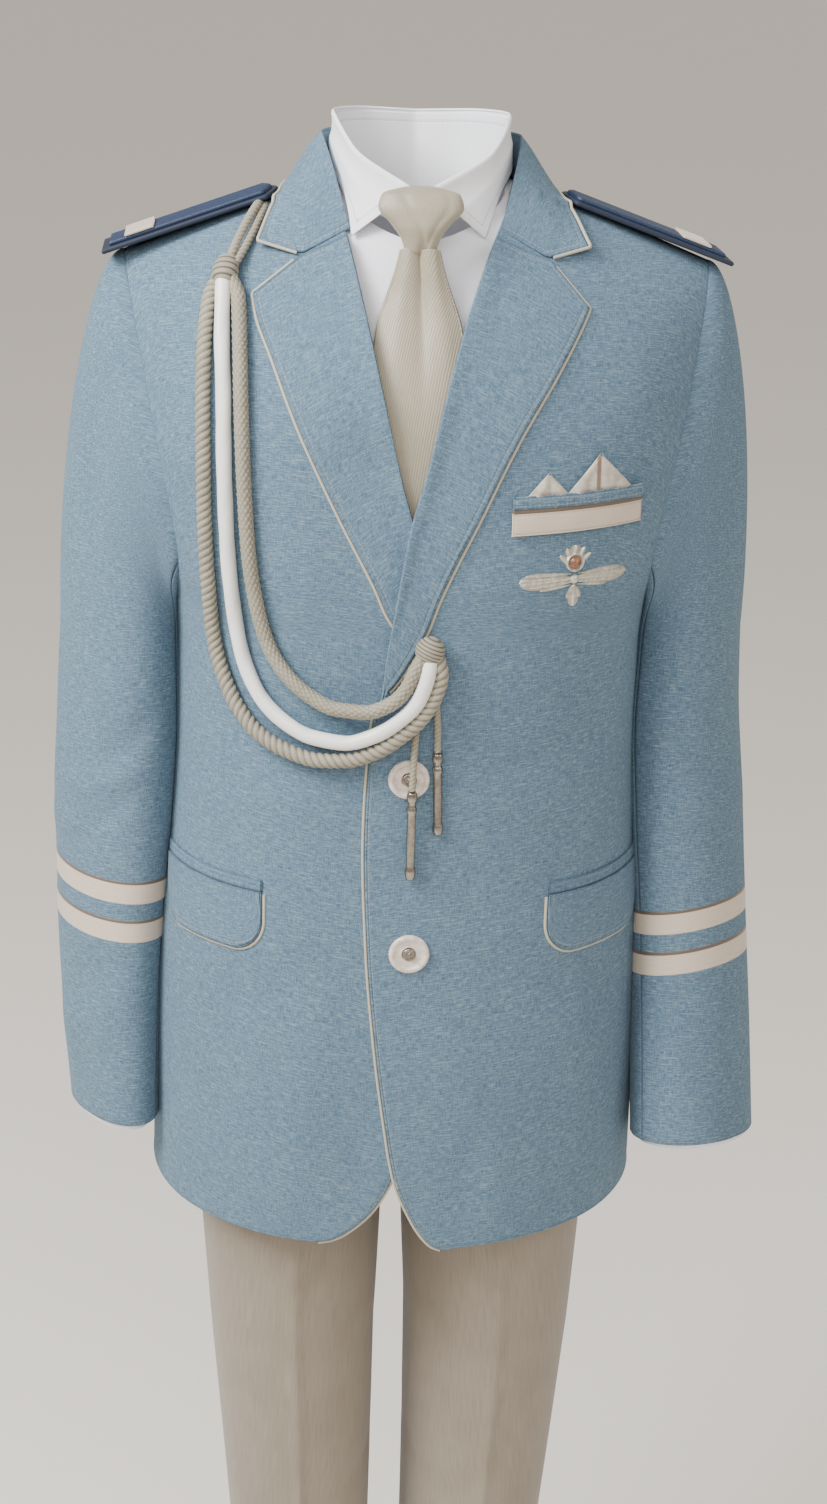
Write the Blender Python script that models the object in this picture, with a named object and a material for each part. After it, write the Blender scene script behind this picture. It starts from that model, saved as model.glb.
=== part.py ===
"""Child's admiral uniform, worn form: jacket, shirt, tie and trousers as cloth walls in metres.

+X is the wearer's left, the front faces -Y, +Z is up. The origin lies between the shoulders.
"""

import math

import bmesh
import bpy
import numpy as np
from mathutils import Matrix, Vector

# Walls and gaps
JACKET_WALL = 0.0015
SHIRT_WALL = 0.0010
TIE_WALL = 0.0015
TROUSER_WALL = 0.0015
TRIM_WALL = 0.0010
SEAM_GAP = 0.0003
LAY_GAP = 0.0006
UNDERLAP = 0.0022

# Shoulders and neck
NECK_HALF = 0.052
NECK_BACK = 0.063
SHOULDER_Z = -0.006
SHOULDER_SLOPE = 0.40
SHOULDER_ROUND = 0.130
SECTION_POWER = 2.3

# Jacket body: level, half width, front depth, back depth
TORSO = (
    (0.030, 0.176, 0.058, 0.080),
    (-0.050, 0.172, 0.084, 0.098),
    (-0.100, 0.163, 0.099, 0.106),
    (-0.140, 0.157, 0.107, 0.107),
    (-0.180, 0.149, 0.112, 0.105),
    (-0.210, 0.1415, 0.114, 0.102),
    (-0.235, 0.1345, 0.114, 0.098),
    (-0.260, 0.1320, 0.114, 0.094),
    (-0.310, 0.1325, 0.113, 0.091),
    (-0.370, 0.1365, 0.113, 0.092),
    (-0.435, 0.1425, 0.115, 0.102),
    (-0.505, 0.1450, 0.118, 0.111),
    (-0.570, 0.1455, 0.120, 0.114),
    (-0.640, 0.1460, 0.121, 0.115),
)
# Armhole: level, distance from the middle
ARMHOLE = (
    (-0.049, 0.1605),
    (-0.100, 0.150),
    (-0.140, 0.142),
    (-0.180, 0.1345),
    (-0.210, 0.1305),
    (-0.225, 0.1310),
    (-0.235, 0.1345),
)
ARMHOLE_MIDDLE = -0.142
ARMHOLE_HALF = 0.093
ARMHOLE_STEPS = 12
# Front edge and roll line of each front: level, distance from the middle towards its own side
EDGE_LEFT = (
    (-0.606, 0.022),
    (-0.603, 0.016),
    (-0.583, 0.003),
    (-0.560, -0.006),
    (-0.521, -0.013),
    (-0.478, -0.019),
    (-0.417, -0.025),
    (-0.350, -0.028),
    (-0.290, -0.026),
    (-0.265, -0.021),
    (-0.245, -0.019),
    (-0.217, -0.015),
    (-0.190, -0.011),
    (-0.169, -0.007),
    (-0.148, -0.001),
    (-0.107, 0.009),
    (-0.073, 0.019),
    (-0.045, 0.030),
    (-0.025, 0.040),
    (-0.006, 0.052),
)
EDGE_RIGHT = (
    (-0.603, 0.050),
    (-0.601, 0.042),
    (-0.594, 0.031),
    (-0.580, 0.018),
    (-0.563, 0.009),
    (-0.540, 0.001),
    (-0.505, -0.008),
    (-0.460, -0.015),
    (-0.400, -0.019),
    (-0.340, -0.020),
    (-0.290, -0.019),
    (-0.262, -0.015),
    (-0.235, -0.008),
    (-0.205, -0.001),
    (-0.170, 0.007),
    (-0.153, 0.012),
    (-0.107, 0.023),
    (-0.060, 0.034),
    (-0.030, 0.042),
    (-0.006, 0.052),
)
HEM_SIDE = -0.600
BODY_LEVELS = (0.0, 0.014, 0.045, 0.10, 0.19, 0.33, 0.48, 0.62, 0.75, 0.86, 0.94, 1.0)
FRONT_COLUMNS = 9
BACK_COLUMNS = 8
NECK_COLUMNS = 3

# Lapels: level, distance from the middle of the outer edge
LAPEL_LEFT = (
    (-0.266, -0.0195),
    (-0.256, -0.012),
    (-0.231, 0.001),
    (-0.211, 0.008),
    (-0.168, 0.028),
    (-0.127, 0.048),
    (-0.093, 0.070),
    (-0.074, 0.082),
    (-0.066, 0.0865),
)
LAPEL_RIGHT = (
    (-0.252, -0.010),
    (-0.225, 0.017),
    (-0.206, 0.026),
    (-0.170, 0.045),
    (-0.124, 0.067),
    (-0.090, 0.081),
    (-0.072, 0.0885),
    (-0.062, 0.0905),
)
GORGE_Z = -0.0325
NOTCH = (0.0655, -0.0428)
LAPEL_ROWS = 13
LAPEL_COLUMNS = 5

# Jacket collar, from centre back (0) to the gorge (1): station, x, y, z
COLLAR_NECK = (
    (0.00, 0.000, 0.0625, -0.0205),
    (0.25, 0.030, 0.0500, -0.0150),
    (0.50, 0.0515, 0.0030, -0.0030),
    (0.75, 0.0470, -0.0220, -0.0085),
    (1.00, 0.0400, -0.0475, -0.0290),
)
COLLAR_ROLL = (
    (0.00, 0.000, 0.0600, 0.0120),
    (0.25, 0.033, 0.0480, 0.0150),
    (0.50, 0.0545, 0.0030, 0.0170),
    (0.75, 0.0500, -0.0240, 0.0050),
    (1.00, 0.0405, -0.0480, -0.0275),
)
COLLAR_MIDDLE = (
    (0.00, 0.000, 0.0740, 0.0040),
    (0.25, 0.042, 0.0580, 0.0060),
    (0.50, 0.0640, 0.0050, 0.0045),
    (0.75, 0.0650, -0.0260, -0.0080),
    (1.00, 0.0655, -0.0520, -0.0400),
)
COLLAR_EDGE = (
    (0.00, 0.000, 0.0860, -0.0220),
    (0.25, 0.048, 0.0700, -0.0200),
    (0.50, 0.0720, 0.0100, -0.0100),
    (0.75, 0.0790, -0.0200, -0.0170),
    (1.00, 0.0880, -0.0430, -0.0350),
)
COLLAR_STATIONS = 10

# Sleeves: level, outer x, inner x, middle y, half depth, tilt in degrees
SLEEVE_RIGHT = (
    (-0.262, 0.1990, 0.1310, 0.006, 0.0525, 0),
    (-0.310, 0.2015, 0.1300, 0.006, 0.0515, 1),
    (-0.370, 0.2035, 0.1330, 0.004, 0.0490, 2),
    (-0.436, 0.2035, 0.1395, 0.000, 0.0460, 3),
    (-0.500, 0.2010, 0.1435, -0.006, 0.0425, 4),
    (-0.564, 0.1965, 0.1455, -0.012, 0.0400, 5),
)
SLEEVE_LEFT = (
    (-0.262, 0.1980, 0.1310, 0.004, 0.0525, 0),
    (-0.310, 0.2005, 0.1291, 0.001, 0.0514, 4),
    (-0.370, 0.2050, 0.1320, -0.008, 0.0490, 8),
    (-0.436, 0.2095, 0.1370, -0.020, 0.0460, 11),
    (-0.500, 0.2140, 0.1400, -0.033, 0.0425, 12),
    (-0.567, 0.2180, 0.1425, -0.046, 0.0400, 13),
)
SLEEVE_SKEW = 0.012
# Gap between sleeve and body: level, gap
ARM_CLEARANCE = (
    (-0.262, 0.0013),
    (-0.350, 0.0014),
    (-0.376, 0.0029),
    (-0.470, 0.0029),
    (-0.510, 0.0016),
    (-0.570, 0.0014),
)
SLEEVE_COLUMNS = 24
SLEEVE_CAP_ROWS = 6
SLEEVE_LEVELS = (0.12, 0.25, 0.38, 0.51, 0.66, 0.83, 1.0)
FRONT_SEAM_COLUMN = 9
BACK_SEAM_COLUMN = 17
BAND_HEIGHT = 0.0145
BANDS_RIGHT = (-0.4065, -0.4310)
BANDS_LEFT = (-0.4230, -0.4475)
CUFF_SHOWS = 0.004

# Pocket flaps: near end, far end (turn from centre front, degrees), top, height, corner radius
FLAP_TOP = -0.3885
FLAP_HEIGHT = 0.036
FLAP_CORNER = 0.019
FLAP_RIGHT = (0.083, 0.1340)
FLAP_LEFT = (0.076, 0.1330)
WELT_RISE = 0.0030
WELT_HEIGHT = 0.0035

# Breast pocket: near end x, far end x, level at each end, heights
POCKET_X = (0.045, 0.117)
POCKET_Z = (-0.1660, -0.1640)
POCKET_BAND = 0.0115
POCKET_CORD = 0.0018

# Folded kerchief: x, lower level, upper level
KERCHIEF = (
    (0.053, -0.1620, -0.1590),
    (0.064, -0.1620, -0.1450),
    (0.075, -0.1620, -0.1570),
    (0.092, -0.1615, -0.1365),
    (0.1125, -0.1605, -0.1560),
)
# Chest badge: distance from its middle, lower level, upper level
BADGE_X = 0.081
BADGE = (
    (-0.0275, -0.2010, -0.1975),
    (-0.0180, -0.2060, -0.1965),
    (-0.0085, -0.2120, -0.1950),
    (-0.0060, -0.2155, -0.1835),
    (0.0000, -0.2175, -0.1815),
    (0.0060, -0.2155, -0.1835),
    (0.0085, -0.2120, -0.1950),
    (0.0180, -0.2065, -0.1965),
    (0.0275, -0.2020, -0.1975),
)
BADGE_STONE = 0.0042

# Buttons: x, level
BUTTON_UPPER = (-0.005, -0.314)
BUTTON_LOWER = (-0.002, -0.418)
BUTTON_RADIUS = 0.0115

# Epaulettes
BOARD_INNER = 0.0765
BOARD_OUTER = 0.1715
BOARD_HALF = 0.0190
BOARD_UPPER_HALF = 0.0145
BOARD_SLOPE = 0.355
BOARD_THICK = 0.0025
SLIDE_AT = 0.150
SLIDE_HALF_LENGTH = 0.0085

# Piping
PIPING = 0.0009

# Aiguillette: x, level, height of the middle above the jacket
STRAND_OUTER = (
    (-0.1110, -0.066, 0.0050),
    (-0.1145, -0.088, 0.0046),
    (-0.1150, -0.112, 0.0042),
    (-0.1145, -0.140, 0.0042),
    (-0.1140, -0.163, 0.0042),
    (-0.1125, -0.192, 0.0044),
    (-0.1100, -0.221, 0.0046),
    (-0.1065, -0.248, 0.0048),
    (-0.0990, -0.272, 0.0050),
    (-0.0860, -0.291, 0.0052),
    (-0.0700, -0.300, 0.0055),
    (-0.0540, -0.3035, 0.0058),
    (-0.0380, -0.3020, 0.0064),
    (-0.0240, -0.2965, 0.0072),
    (-0.0110, -0.2870, 0.0082),
    (0.0010, -0.2740, 0.0090),
    (0.0075, -0.2610, 0.0090),
    (0.0095, -0.2510, 0.0085),
)
STRAND_MIDDLE = (
    (-0.1045, -0.068, 0.0060),
    (-0.1050, -0.088, 0.0050),
    (-0.1045, -0.112, 0.0042),
    (-0.1040, -0.140, 0.0042),
    (-0.1030, -0.165, 0.0042),
    (-0.1010, -0.195, 0.0044),
    (-0.0975, -0.224, 0.0046),
    (-0.0925, -0.250, 0.0048),
    (-0.0840, -0.270, 0.0052),
    (-0.0715, -0.283, 0.0055),
    (-0.0560, -0.2905, 0.0058),
    (-0.0400, -0.2920, 0.0064),
    (-0.0250, -0.2870, 0.0072),
    (-0.0120, -0.2775, 0.0082),
    (-0.0020, -0.2650, 0.0088),
    (0.0025, -0.2510, 0.0085),
)
STRAND_INNER = (
    (-0.0980, -0.066, 0.0062),
    (-0.0965, -0.088, 0.0055),
    (-0.0955, -0.112, 0.0046),
    (-0.0945, -0.140, 0.0042),
    (-0.0930, -0.165, 0.0042),
    (-0.0905, -0.193, 0.0044),
    (-0.0860, -0.219, 0.0046),
    (-0.0800, -0.240, 0.0048),
    (-0.0705, -0.256, 0.0052),
    (-0.0580, -0.267, 0.0055),
    (-0.0440, -0.2730, 0.0060),
    (-0.0300, -0.2735, 0.0068),
    (-0.0180, -0.2690, 0.0080),
    (-0.0090, -0.2600, 0.0088),
    (-0.0040, -0.2490, 0.0085),
)
STRAND_RADIUS = 0.0033
KNOT_TOP = (-0.0960, -0.0300, 0.0067)
KNOT_END = (-0.1045, -0.0620, 0.0091)
BOSS = (0.0035, -0.2385, 0.0070)
BOSS_RADIUS = 0.0082
TAIL_RIGHT = (
    (0.0000, -0.2580, 0.0026),
    (-0.0010, -0.2720, 0.0026),
    (-0.0022, -0.2870, 0.0042),
    (-0.0030, -0.2990, 0.0070),
    (-0.0035, -0.3185, 0.0076),
)
TAIL_LEFT = (
    (0.0075, -0.2540, 0.0027),
    (0.0085, -0.2720, 0.0028),
    (0.0095, -0.2850, 0.0030),
    (0.0098, -0.2975, 0.0032),
)
TAIL_RADIUS = 0.0020
PENCIL_RIGHT = ((-0.0035, -0.3190, 0.0080), (-0.0030, -0.3720, 0.0050))
PENCIL_LEFT = ((0.0098, -0.2980, 0.0032), (0.0115, -0.3460, 0.0032))
PENCIL_RADIUS = 0.0029

# Shirt: level, ease under the jacket's outer face
SHIRT_EASE = (
    (0.000, 0.0024),
    (-0.150, 0.0024),
    (-0.220, 0.0034),
    (-0.270, 0.0070),
    (-0.315, 0.0196),
    (-0.400, 0.0206),
)
SHIRT_FRONT_EASE = 0.0105
SHIRT_BOTTOM = -0.395
SHIRT_LEVELS = (0.0, 0.14, 0.30, 0.46, 0.64, 0.82, 1.0)
SHIRT_MIDDLE = -0.004
SHIRT_COLUMNS = 6

# Shirt collar, from centre back (0) to centre front (1): station, x, y, z
SHIRT_NECK = (
    (0.00, 0.000, 0.0545, -0.0160),
    (0.25, 0.029, 0.0430, -0.0110),
    (0.50, 0.0455, 0.0020, -0.0050),
    (0.75, 0.0350, -0.0360, -0.0140),
    (1.00, 0.0020, -0.0530, -0.0290),
)
SHIRT_STAND_TOP = (
    (0.00, 0.000, 0.0530, 0.0220),
    (0.25, 0.029, 0.0410, 0.0240),
    (0.50, 0.0460, 0.0010, 0.0260),
    (0.75, 0.0360, -0.0370, 0.0120),
    (1.00, 0.0020, -0.0560, -0.0060),
)
SHIRT_FALL_TOP = (
    (0.00, 0.000, 0.0545, 0.0240),
    (0.25, 0.030, 0.0425, 0.0262),
    (0.50, 0.0485, 0.0005, 0.0285),
    (0.75, 0.0375, -0.0385, 0.0135),
    (1.00, 0.0035, -0.0590, -0.0050),
)
SHIRT_FALL_EDGE = (
    (0.00, 0.000, 0.0572, -0.0100),
    (0.25, 0.032, 0.0450, -0.0060),
    (0.50, 0.0492, -0.0020, -0.0010),
    (0.75, 0.0405, -0.0330, -0.0130),
    (1.00, 0.0355, -0.0500, -0.0315),
)
SHIRT_COLLAR_STATIONS = 9

# Tie knot: level, half width, y of its middle, half depth
TIE_X = -0.0045
TIE_KNOT = (
    (-0.0025, 0.0120, -0.0633, 0.0030),
    (-0.0065, 0.0205, -0.0660, 0.0058),
    (-0.0130, 0.0225, -0.0678, 0.0078),
    (-0.0210, 0.0160, -0.0693, 0.0078),
    (-0.0280, 0.0105, -0.0703, 0.0060),
    (-0.0320, 0.0088, -0.0703, 0.0045),
)
# Tie blade: level, half width, height of its outer face from the jacket's outer face
TIE_BLADE = (
    (-0.0395, 0.0086, 0.0090),
    (-0.0480, 0.0140, 0.0040),
    (-0.0580, 0.0195, -0.0010),
    (-0.0720, 0.0240, -0.0040),
    (-0.1000, 0.0270, -0.0055),
    (-0.1500, 0.0290, -0.0066),
    (-0.2200, 0.0305, -0.0068),
    (-0.2850, 0.0320, -0.0068),
    (-0.3050, 0.0160, -0.0068),
    (-0.3200, 0.0010, -0.0068),
)

# Trousers: level, leg middle x, half width, front depth, back depth, crease
TROUSER = (
    (-0.3553, 0.000, 0.1205, 0.0985, 0.0780, 0.0000),
    (-0.4000, 0.000, 0.1270, 0.1000, 0.0850, 0.0000),
    (-0.4500, 0.010, 0.1220, 0.1000, 0.0930, 0.0010),
    (-0.5000, 0.030, 0.1050, 0.0980, 0.0970, 0.0020),
    (-0.5300, 0.045, 0.0900, 0.0950, 0.0960, 0.0025),
    (-0.5500, 0.055, 0.0780, 0.0920, 0.0930, 0.0030),
    (-0.5650, 0.064, 0.0632, 0.0880, 0.0900, 0.0030),
    (-0.6000, 0.0630, 0.0580, 0.0820, 0.0860, 0.0035),
    (-0.7150, 0.0620, 0.0520, 0.0720, 0.0750, 0.0040),
    (-0.8750, 0.0560, 0.0450, 0.0630, 0.0670, 0.0045),
    (-1.0200, 0.0545, 0.0435, 0.0600, 0.0640, 0.0045),
    (-1.1600, 0.0545, 0.0425, 0.0590, 0.0620, 0.0045),
)
LEG_SHIFT = ((-0.35, 0.0), (-0.56, 0.0), (-0.715, 0.002), (-0.875, 0.003), (-1.16, 0.003))
TROUSER_COLUMNS = 8
WAIST_TOP = -0.325
WAIST_BOTTOM = -0.355
WAIST_EASE = 0.0160

# Colours
BLUE = (0.20, 0.34, 0.46)
NAVY = (0.02, 0.05, 0.15)
CREAM = (0.66, 0.60, 0.50)
BROWN = (0.19, 0.13, 0.09)
WHITE = (0.82, 0.82, 0.86)
BEIGE = (0.42, 0.36, 0.27)
SAND = (0.38, 0.32, 0.26)
METAL = (0.60, 0.55, 0.48)


def value(rows, at, column=1):
    """Smooth value of one column of a table at a value of its first column."""
    table = np.array(rows, float)
    table = table[np.argsort(table[:, 0])]
    x = table[:, 0]
    y = table[:, column]
    step = np.diff(x)
    slope = np.diff(y) / step
    both = slope[:-1] * slope[1:]
    mean = np.where(both > 0, 2 * both / np.where(both > 0, slope[:-1] + slope[1:], 1), 0)
    tangent = np.concatenate([slope[:1], mean, slope[-1:]])
    at = np.clip(at, x[0], x[-1])
    k = np.clip(np.searchsorted(x, at) - 1, 0, len(step) - 1)
    s = (at - x[k]) / step[k]
    start = (2 * s**3 - 3 * s**2 + 1) * y[k] + (s**3 - 2 * s**2 + s) * step[k] * tangent[k]
    return start + (3 * s**2 - 2 * s**3) * y[k + 1] + (s**3 - s**2) * step[k] * tangent[k + 1]


def unit(vectors):
    return vectors / np.maximum(np.linalg.norm(vectors, axis=-1, keepdims=True), 1e-12)


def ease_in(t):
    t = np.clip(t, 0, 1)
    return t * t * (3 - 2 * t)


def ridge(x):
    return SHOULDER_Z - (np.abs(x) - NECK_HALF) * SHOULDER_SLOPE


def side_turn(x, z):
    """Turn round the body, 0 at the middle and a quarter at the side."""
    share = np.clip(np.abs(x) / value(TORSO, z), 0, 1)
    return np.arcsin(share ** (SECTION_POWER / 2))


def body_at(turn, z, back):
    power = 2 / SECTION_POWER
    x = value(TORSO, z) * np.sin(turn) ** power
    t = np.clip((ridge(x) - z) / SHOULDER_ROUND, 1e-7, 1)
    depth = value(TORSO, z, 3 if back else 2) * np.sqrt(1 - (1 - t) ** 2)
    y = depth * np.maximum(np.cos(turn), 0) ** power
    return np.stack([x, y if back else -y, z], axis=-1)


def on_body(x, z, height=0.0, back=False):
    """Points at a height above the jacket's outer face, with the face's directions out."""
    x = np.asarray(x, float)
    z = np.asarray(z, float) + 0 * x
    x = x + 0 * z
    sign = np.where(x < 0, -1.0, 1.0)
    z = np.minimum(z, ridge(x) - 1e-7)
    turn = side_turn(x, z)
    lower = np.clip(turn - 2e-3, 0, math.pi / 2)
    upper = np.clip(turn + 2e-3, 0, math.pi / 2)
    point = body_at(turn, z, back)
    across = body_at(upper, z, back) - body_at(lower, z, back)
    down = body_at(side_turn(x, z - 2e-5), z - 2e-5, back) - point
    out = unit(np.cross(across, down) if back else np.cross(down, across))
    out[..., 0] = np.where(np.abs(x) < 5e-4, 0, out[..., 0])
    out = unit(out)
    edge = SEAM_GAP / 2
    point[..., 1] = np.maximum(point[..., 1], edge) if back else np.minimum(point[..., 1], -edge)
    side = np.stack([sign, np.ones_like(sign), np.ones_like(sign)], axis=-1)
    height = np.asarray(height, float)[..., None] if np.ndim(height) else height
    return point * side + out * side * height, out * side


def overlap_inset(x, z):
    """How far the right front lies under the left one."""
    share = ease_in((x + 0.080) / 0.052)
    lapel = ease_in((z + 0.300) / 0.020) * ease_in((-0.100 - z) / 0.050)
    lower = ease_in((-0.100 - z) / 0.050)
    return share * (UNDERLAP * lower + UNDERLAP * lapel)


def material(name, colour, roughness=0.8, metallic=0.0):
    made = bpy.data.materials.new(name)
    made.use_nodes = True
    shader = made.node_tree.nodes["Principled BSDF"]
    shader.inputs["Base Color"].default_value = (*colour, 1)
    shader.inputs["Roughness"].default_value = roughness
    shader.inputs["Metallic"].default_value = metallic
    return made


def clear_scene():
    for old in list(bpy.data.objects):
        bpy.data.objects.remove(old)


clear_scene()
UNIFORM = bpy.data.collections.new("admiral_uniform")
bpy.context.scene.collection.children.link(UNIFORM)


def finish(name, bm, colour, roughness=0.8, metallic=0.0, smooth=True):
    """Turns an edited mesh into a named solid with its own material."""
    bmesh.ops.recalc_face_normals(bm, faces=bm.faces)
    if bm.calc_volume(signed=True) < 0:
        bmesh.ops.reverse_faces(bm, faces=bm.faces)
    mesh = bpy.data.meshes.new(name)
    bm.to_mesh(mesh)
    bm.free()
    for face in mesh.polygons:
        face.use_smooth = smooth
    mesh.materials.append(material(name, colour, roughness, metallic))
    made = bpy.data.objects.new(name, mesh)
    UNIFORM.objects.link(made)
    return made


def add_grid(bm, points):
    """Adds a sheet of faces whose corners are the points, rows by columns."""
    rows, columns = points.shape[:2]
    made = bmesh.ops.create_grid(bm, x_segments=columns - 1, y_segments=rows - 1, size=1)
    for vert in made["verts"]:
        i = round((vert.co.y + 1) / 2 * (rows - 1))
        j = round((vert.co.x + 1) / 2 * (columns - 1))
        vert.co = points[i, j]


def wall(name, outer, inner, colour, **looks):
    """Closed wall between two sheets of points."""
    bm = bmesh.new()
    add_grid(bm, outer)
    add_grid(bm, inner)
    bmesh.ops.bridge_loops(bm, edges=[edge for edge in bm.edges if edge.is_boundary])
    bmesh.ops.triangulate(bm, faces=bm.faces, quad_method="SHORT_EDGE")
    return finish(name, bm, colour, **looks)


def ring_wall(name, outer, inner, colour, **looks):
    """Closed band whose columns run all the way round."""
    bm = bmesh.new()
    section = np.concatenate([outer, inner[::-1], outer[:1]])
    add_grid(bm, section)
    bmesh.ops.remove_doubles(bm, verts=bm.verts, dist=1e-7)
    bmesh.ops.triangulate(bm, faces=bm.faces, quad_method="SHORT_EDGE")
    return finish(name, bm, colour, **looks)


def tube(name, points, radius, colour, sides=2, **looks):
    """Round cord through the points, with flat ends."""
    data = bpy.data.curves.new(name, "CURVE")
    data.dimensions = "3D"
    data.bevel_depth = radius
    data.bevel_resolution = sides
    data.use_fill_caps = True
    spline = data.splines.new("POLY")
    spline.points.add(len(points) - 1)
    for place, point in zip(spline.points, points):
        place.co = (*point, 1)
    spline.use_smooth = True
    data.materials.append(material(name, colour, **looks))
    made = bpy.data.objects.new(name, data)
    UNIFORM.objects.link(made)
    return made


def lathe(name, profile, start, axis, steps, colour, **looks):
    """Turned solid: profile of (along, radius) about an axis from a start point."""
    bm = bmesh.new()
    verts = [bm.verts.new((radius, 0, along)) for along, radius in profile]
    edges = [bm.edges.new(pair) for pair in zip(verts, verts[1:])]
    bmesh.ops.spin(
        bm, geom=verts + edges, cent=(0, 0, 0), axis=(0, 0, 1), angle=2 * math.pi, steps=steps, use_merge=True
    )
    bmesh.ops.remove_doubles(bm, verts=bm.verts, dist=1e-7)
    turn = Vector(axis).to_track_quat("Z", "Y").to_matrix().to_4x4()
    bmesh.ops.transform(bm, matrix=Matrix.Translation(start) @ turn, verts=bm.verts)
    return finish(name, bm, colour, **looks)


def sheet_normals(points, closed=False):
    """Directions out of a sheet, from its own points."""
    if closed:
        ring = points[:, :-1]
        across = np.roll(ring, -1, axis=1) - np.roll(ring, 1, axis=1)
        across = np.concatenate([across, across[:, :1]], axis=1)
    else:
        across = np.gradient(points, axis=1)
    return unit(np.cross(across, np.gradient(points, axis=0)))


def smoothed(out, times, closed=False):
    """Directions out, evened with their neighbours; the first row stays."""
    first = out[0].copy()
    for _ in range(times):
        mean = out.copy()
        mean[1:] += out[:-1]
        mean[:-1] += out[1:]
        if closed:
            ring = out[:, :-1]
            side = np.roll(ring, 1, axis=1) + np.roll(ring, -1, axis=1)
            mean += np.concatenate([side, side[:, :1]], axis=1)
        else:
            mean[:, 1:] += out[:, :-1]
            mean[:, :-1] += out[:, 1:]
        out = unit(mean)
        out[0] = first
    return out


# Jacket fronts and backs
def body_rows(edge_bottom, edge_top):
    """Levels of a panel's rows at its middle edge and at its side edge."""
    share = np.array(BODY_LEVELS)
    underarm = ARMHOLE_MIDDLE - ARMHOLE_HALF
    low_middle = edge_bottom + share * (underarm - edge_bottom)
    low_side = HEM_SIDE + share * (underarm - HEM_SIDE)
    turns = np.linspace(math.pi, 0, ARMHOLE_STEPS + 1)[1:]
    high_side = ARMHOLE_MIDDLE + ARMHOLE_HALF * np.cos(turns)
    part = (high_side - underarm) / (high_side[-1] - underarm)
    high_middle = underarm + part * (edge_top - underarm)
    return np.concatenate([low_middle, high_middle]), np.concatenate([low_side, high_side])


def body_panel(edge, columns, bottom, top):
    """Places (x, z) of a panel's points, from its middle edge to its side."""
    middle_z, side_z = body_rows(bottom, top)
    near = value(edge, middle_z)
    far = np.where(side_z <= ARMHOLE_MIDDLE - ARMHOLE_HALF + 1e-9, value(TORSO, side_z), value(ARMHOLE, side_z))
    width = value(TORSO, (middle_z + side_z) / 2)
    u = np.linspace(0, 1, columns + 1)
    power = SECTION_POWER / 2
    start = np.sign(near) * np.arcsin(np.clip(np.abs(near) / width, 0, 1) ** power)
    end = np.arcsin(np.clip(far / np.maximum(width, far), 0, 1) ** power)
    turn = start[:, None] + (end - start)[:, None] * u
    x = np.maximum(width, far)[:, None] * np.sign(turn) * np.abs(np.sin(turn)) ** (1 / power)
    share = (x - near[:, None]) / (far - near)[:, None]
    z = middle_z[:, None] + (side_z - middle_z)[:, None] * share
    return x, z


def front_panel(name, edge, side):
    x, z = body_panel(edge, FRONT_COLUMNS, edge[0][0], edge[-1][0])
    x = side * x
    inset = overlap_inset(x, z) if side < 0 else 0 * x
    outer, out = on_body(x, z, -inset)
    return wall(name, outer, outer - out * JACKET_WALL, BLUE)


front_panel("jacket_front_left", EDGE_LEFT, 1)
front_panel("jacket_front_right", EDGE_RIGHT, -1)


def neckline(part):
    """Back neckline from the centre (0) to the neck point (1), as x and level."""
    x = NECK_HALF * np.sin(part * math.pi / 2)
    y = NECK_BACK * np.cos(part * math.pi / 2)
    z = ridge(x) - 0.03
    for _ in range(30):
        depth = value(TORSO, z, 3) * np.cos(side_turn(x, z)) ** (2 / SECTION_POWER)
        lift = 1 - np.sqrt(np.clip(1 - (y / depth) ** 2, 0, 1))
        z = ridge(x) - SHOULDER_ROUND * lift
    return x, z


def back_places(columns, neck_columns):
    """Places (x, z) of a back panel, whose top runs along the neckline and then the shoulder."""
    neck_x, neck_z = neckline(np.linspace(0, 1, neck_columns + 1))
    edge = ((HEM_SIDE, SEAM_GAP / 2), (neck_z[0], SEAM_GAP / 2))
    x, z = body_panel(edge, columns, HEM_SIDE, neck_z[0])
    shoulder_x = np.linspace(NECK_HALF, ARMHOLE[0][1], columns - neck_columns + 1)
    top_x = np.concatenate([np.maximum(neck_x, SEAM_GAP / 2), shoulder_x[1:]])
    top_z = np.concatenate([neck_z, ridge(shoulder_x[1:])])
    rise = top_z - z[-1]
    shift = top_x - x[-1]
    height = np.clip((z - -0.170) / (z[-1] - -0.170), 0, 1)
    z = z + rise * height
    x = x + shift * ease_in(height)
    return x, z


def back_panel(name, side):
    x, z = back_places(BACK_COLUMNS, NECK_COLUMNS)
    outer, out = on_body(side * x, z, 0.0, back=True)
    return wall(name, outer, outer - out * JACKET_WALL, BLUE)


back_panel("jacket_back_left", 1)
back_panel("jacket_back_right", -1)


# Sleeves
def armhole(turn, side):
    """Points of the armhole edge, the body's direction out, and the way out of the body."""
    z = ARMHOLE_MIDDLE + ARMHOLE_HALF * np.cos(turn)
    x = side * value(ARMHOLE, z)
    front, front_out = on_body(x, z)
    rear, rear_out = on_body(x, z, back=True)
    is_back = (turn > math.pi)[:, None]
    point = np.where(is_back, rear, front)
    out = np.where(is_back, rear_out, front_out)
    point[-1] = point[0]
    out[-1] = out[0]
    ring = point[:-1]
    along = np.roll(ring, -1, axis=0) - np.roll(ring, 1, axis=0)
    along = unit(np.concatenate([along, along[:1]]))
    away = unit(np.cross(out, along)) * side
    return point, out, away


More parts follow.
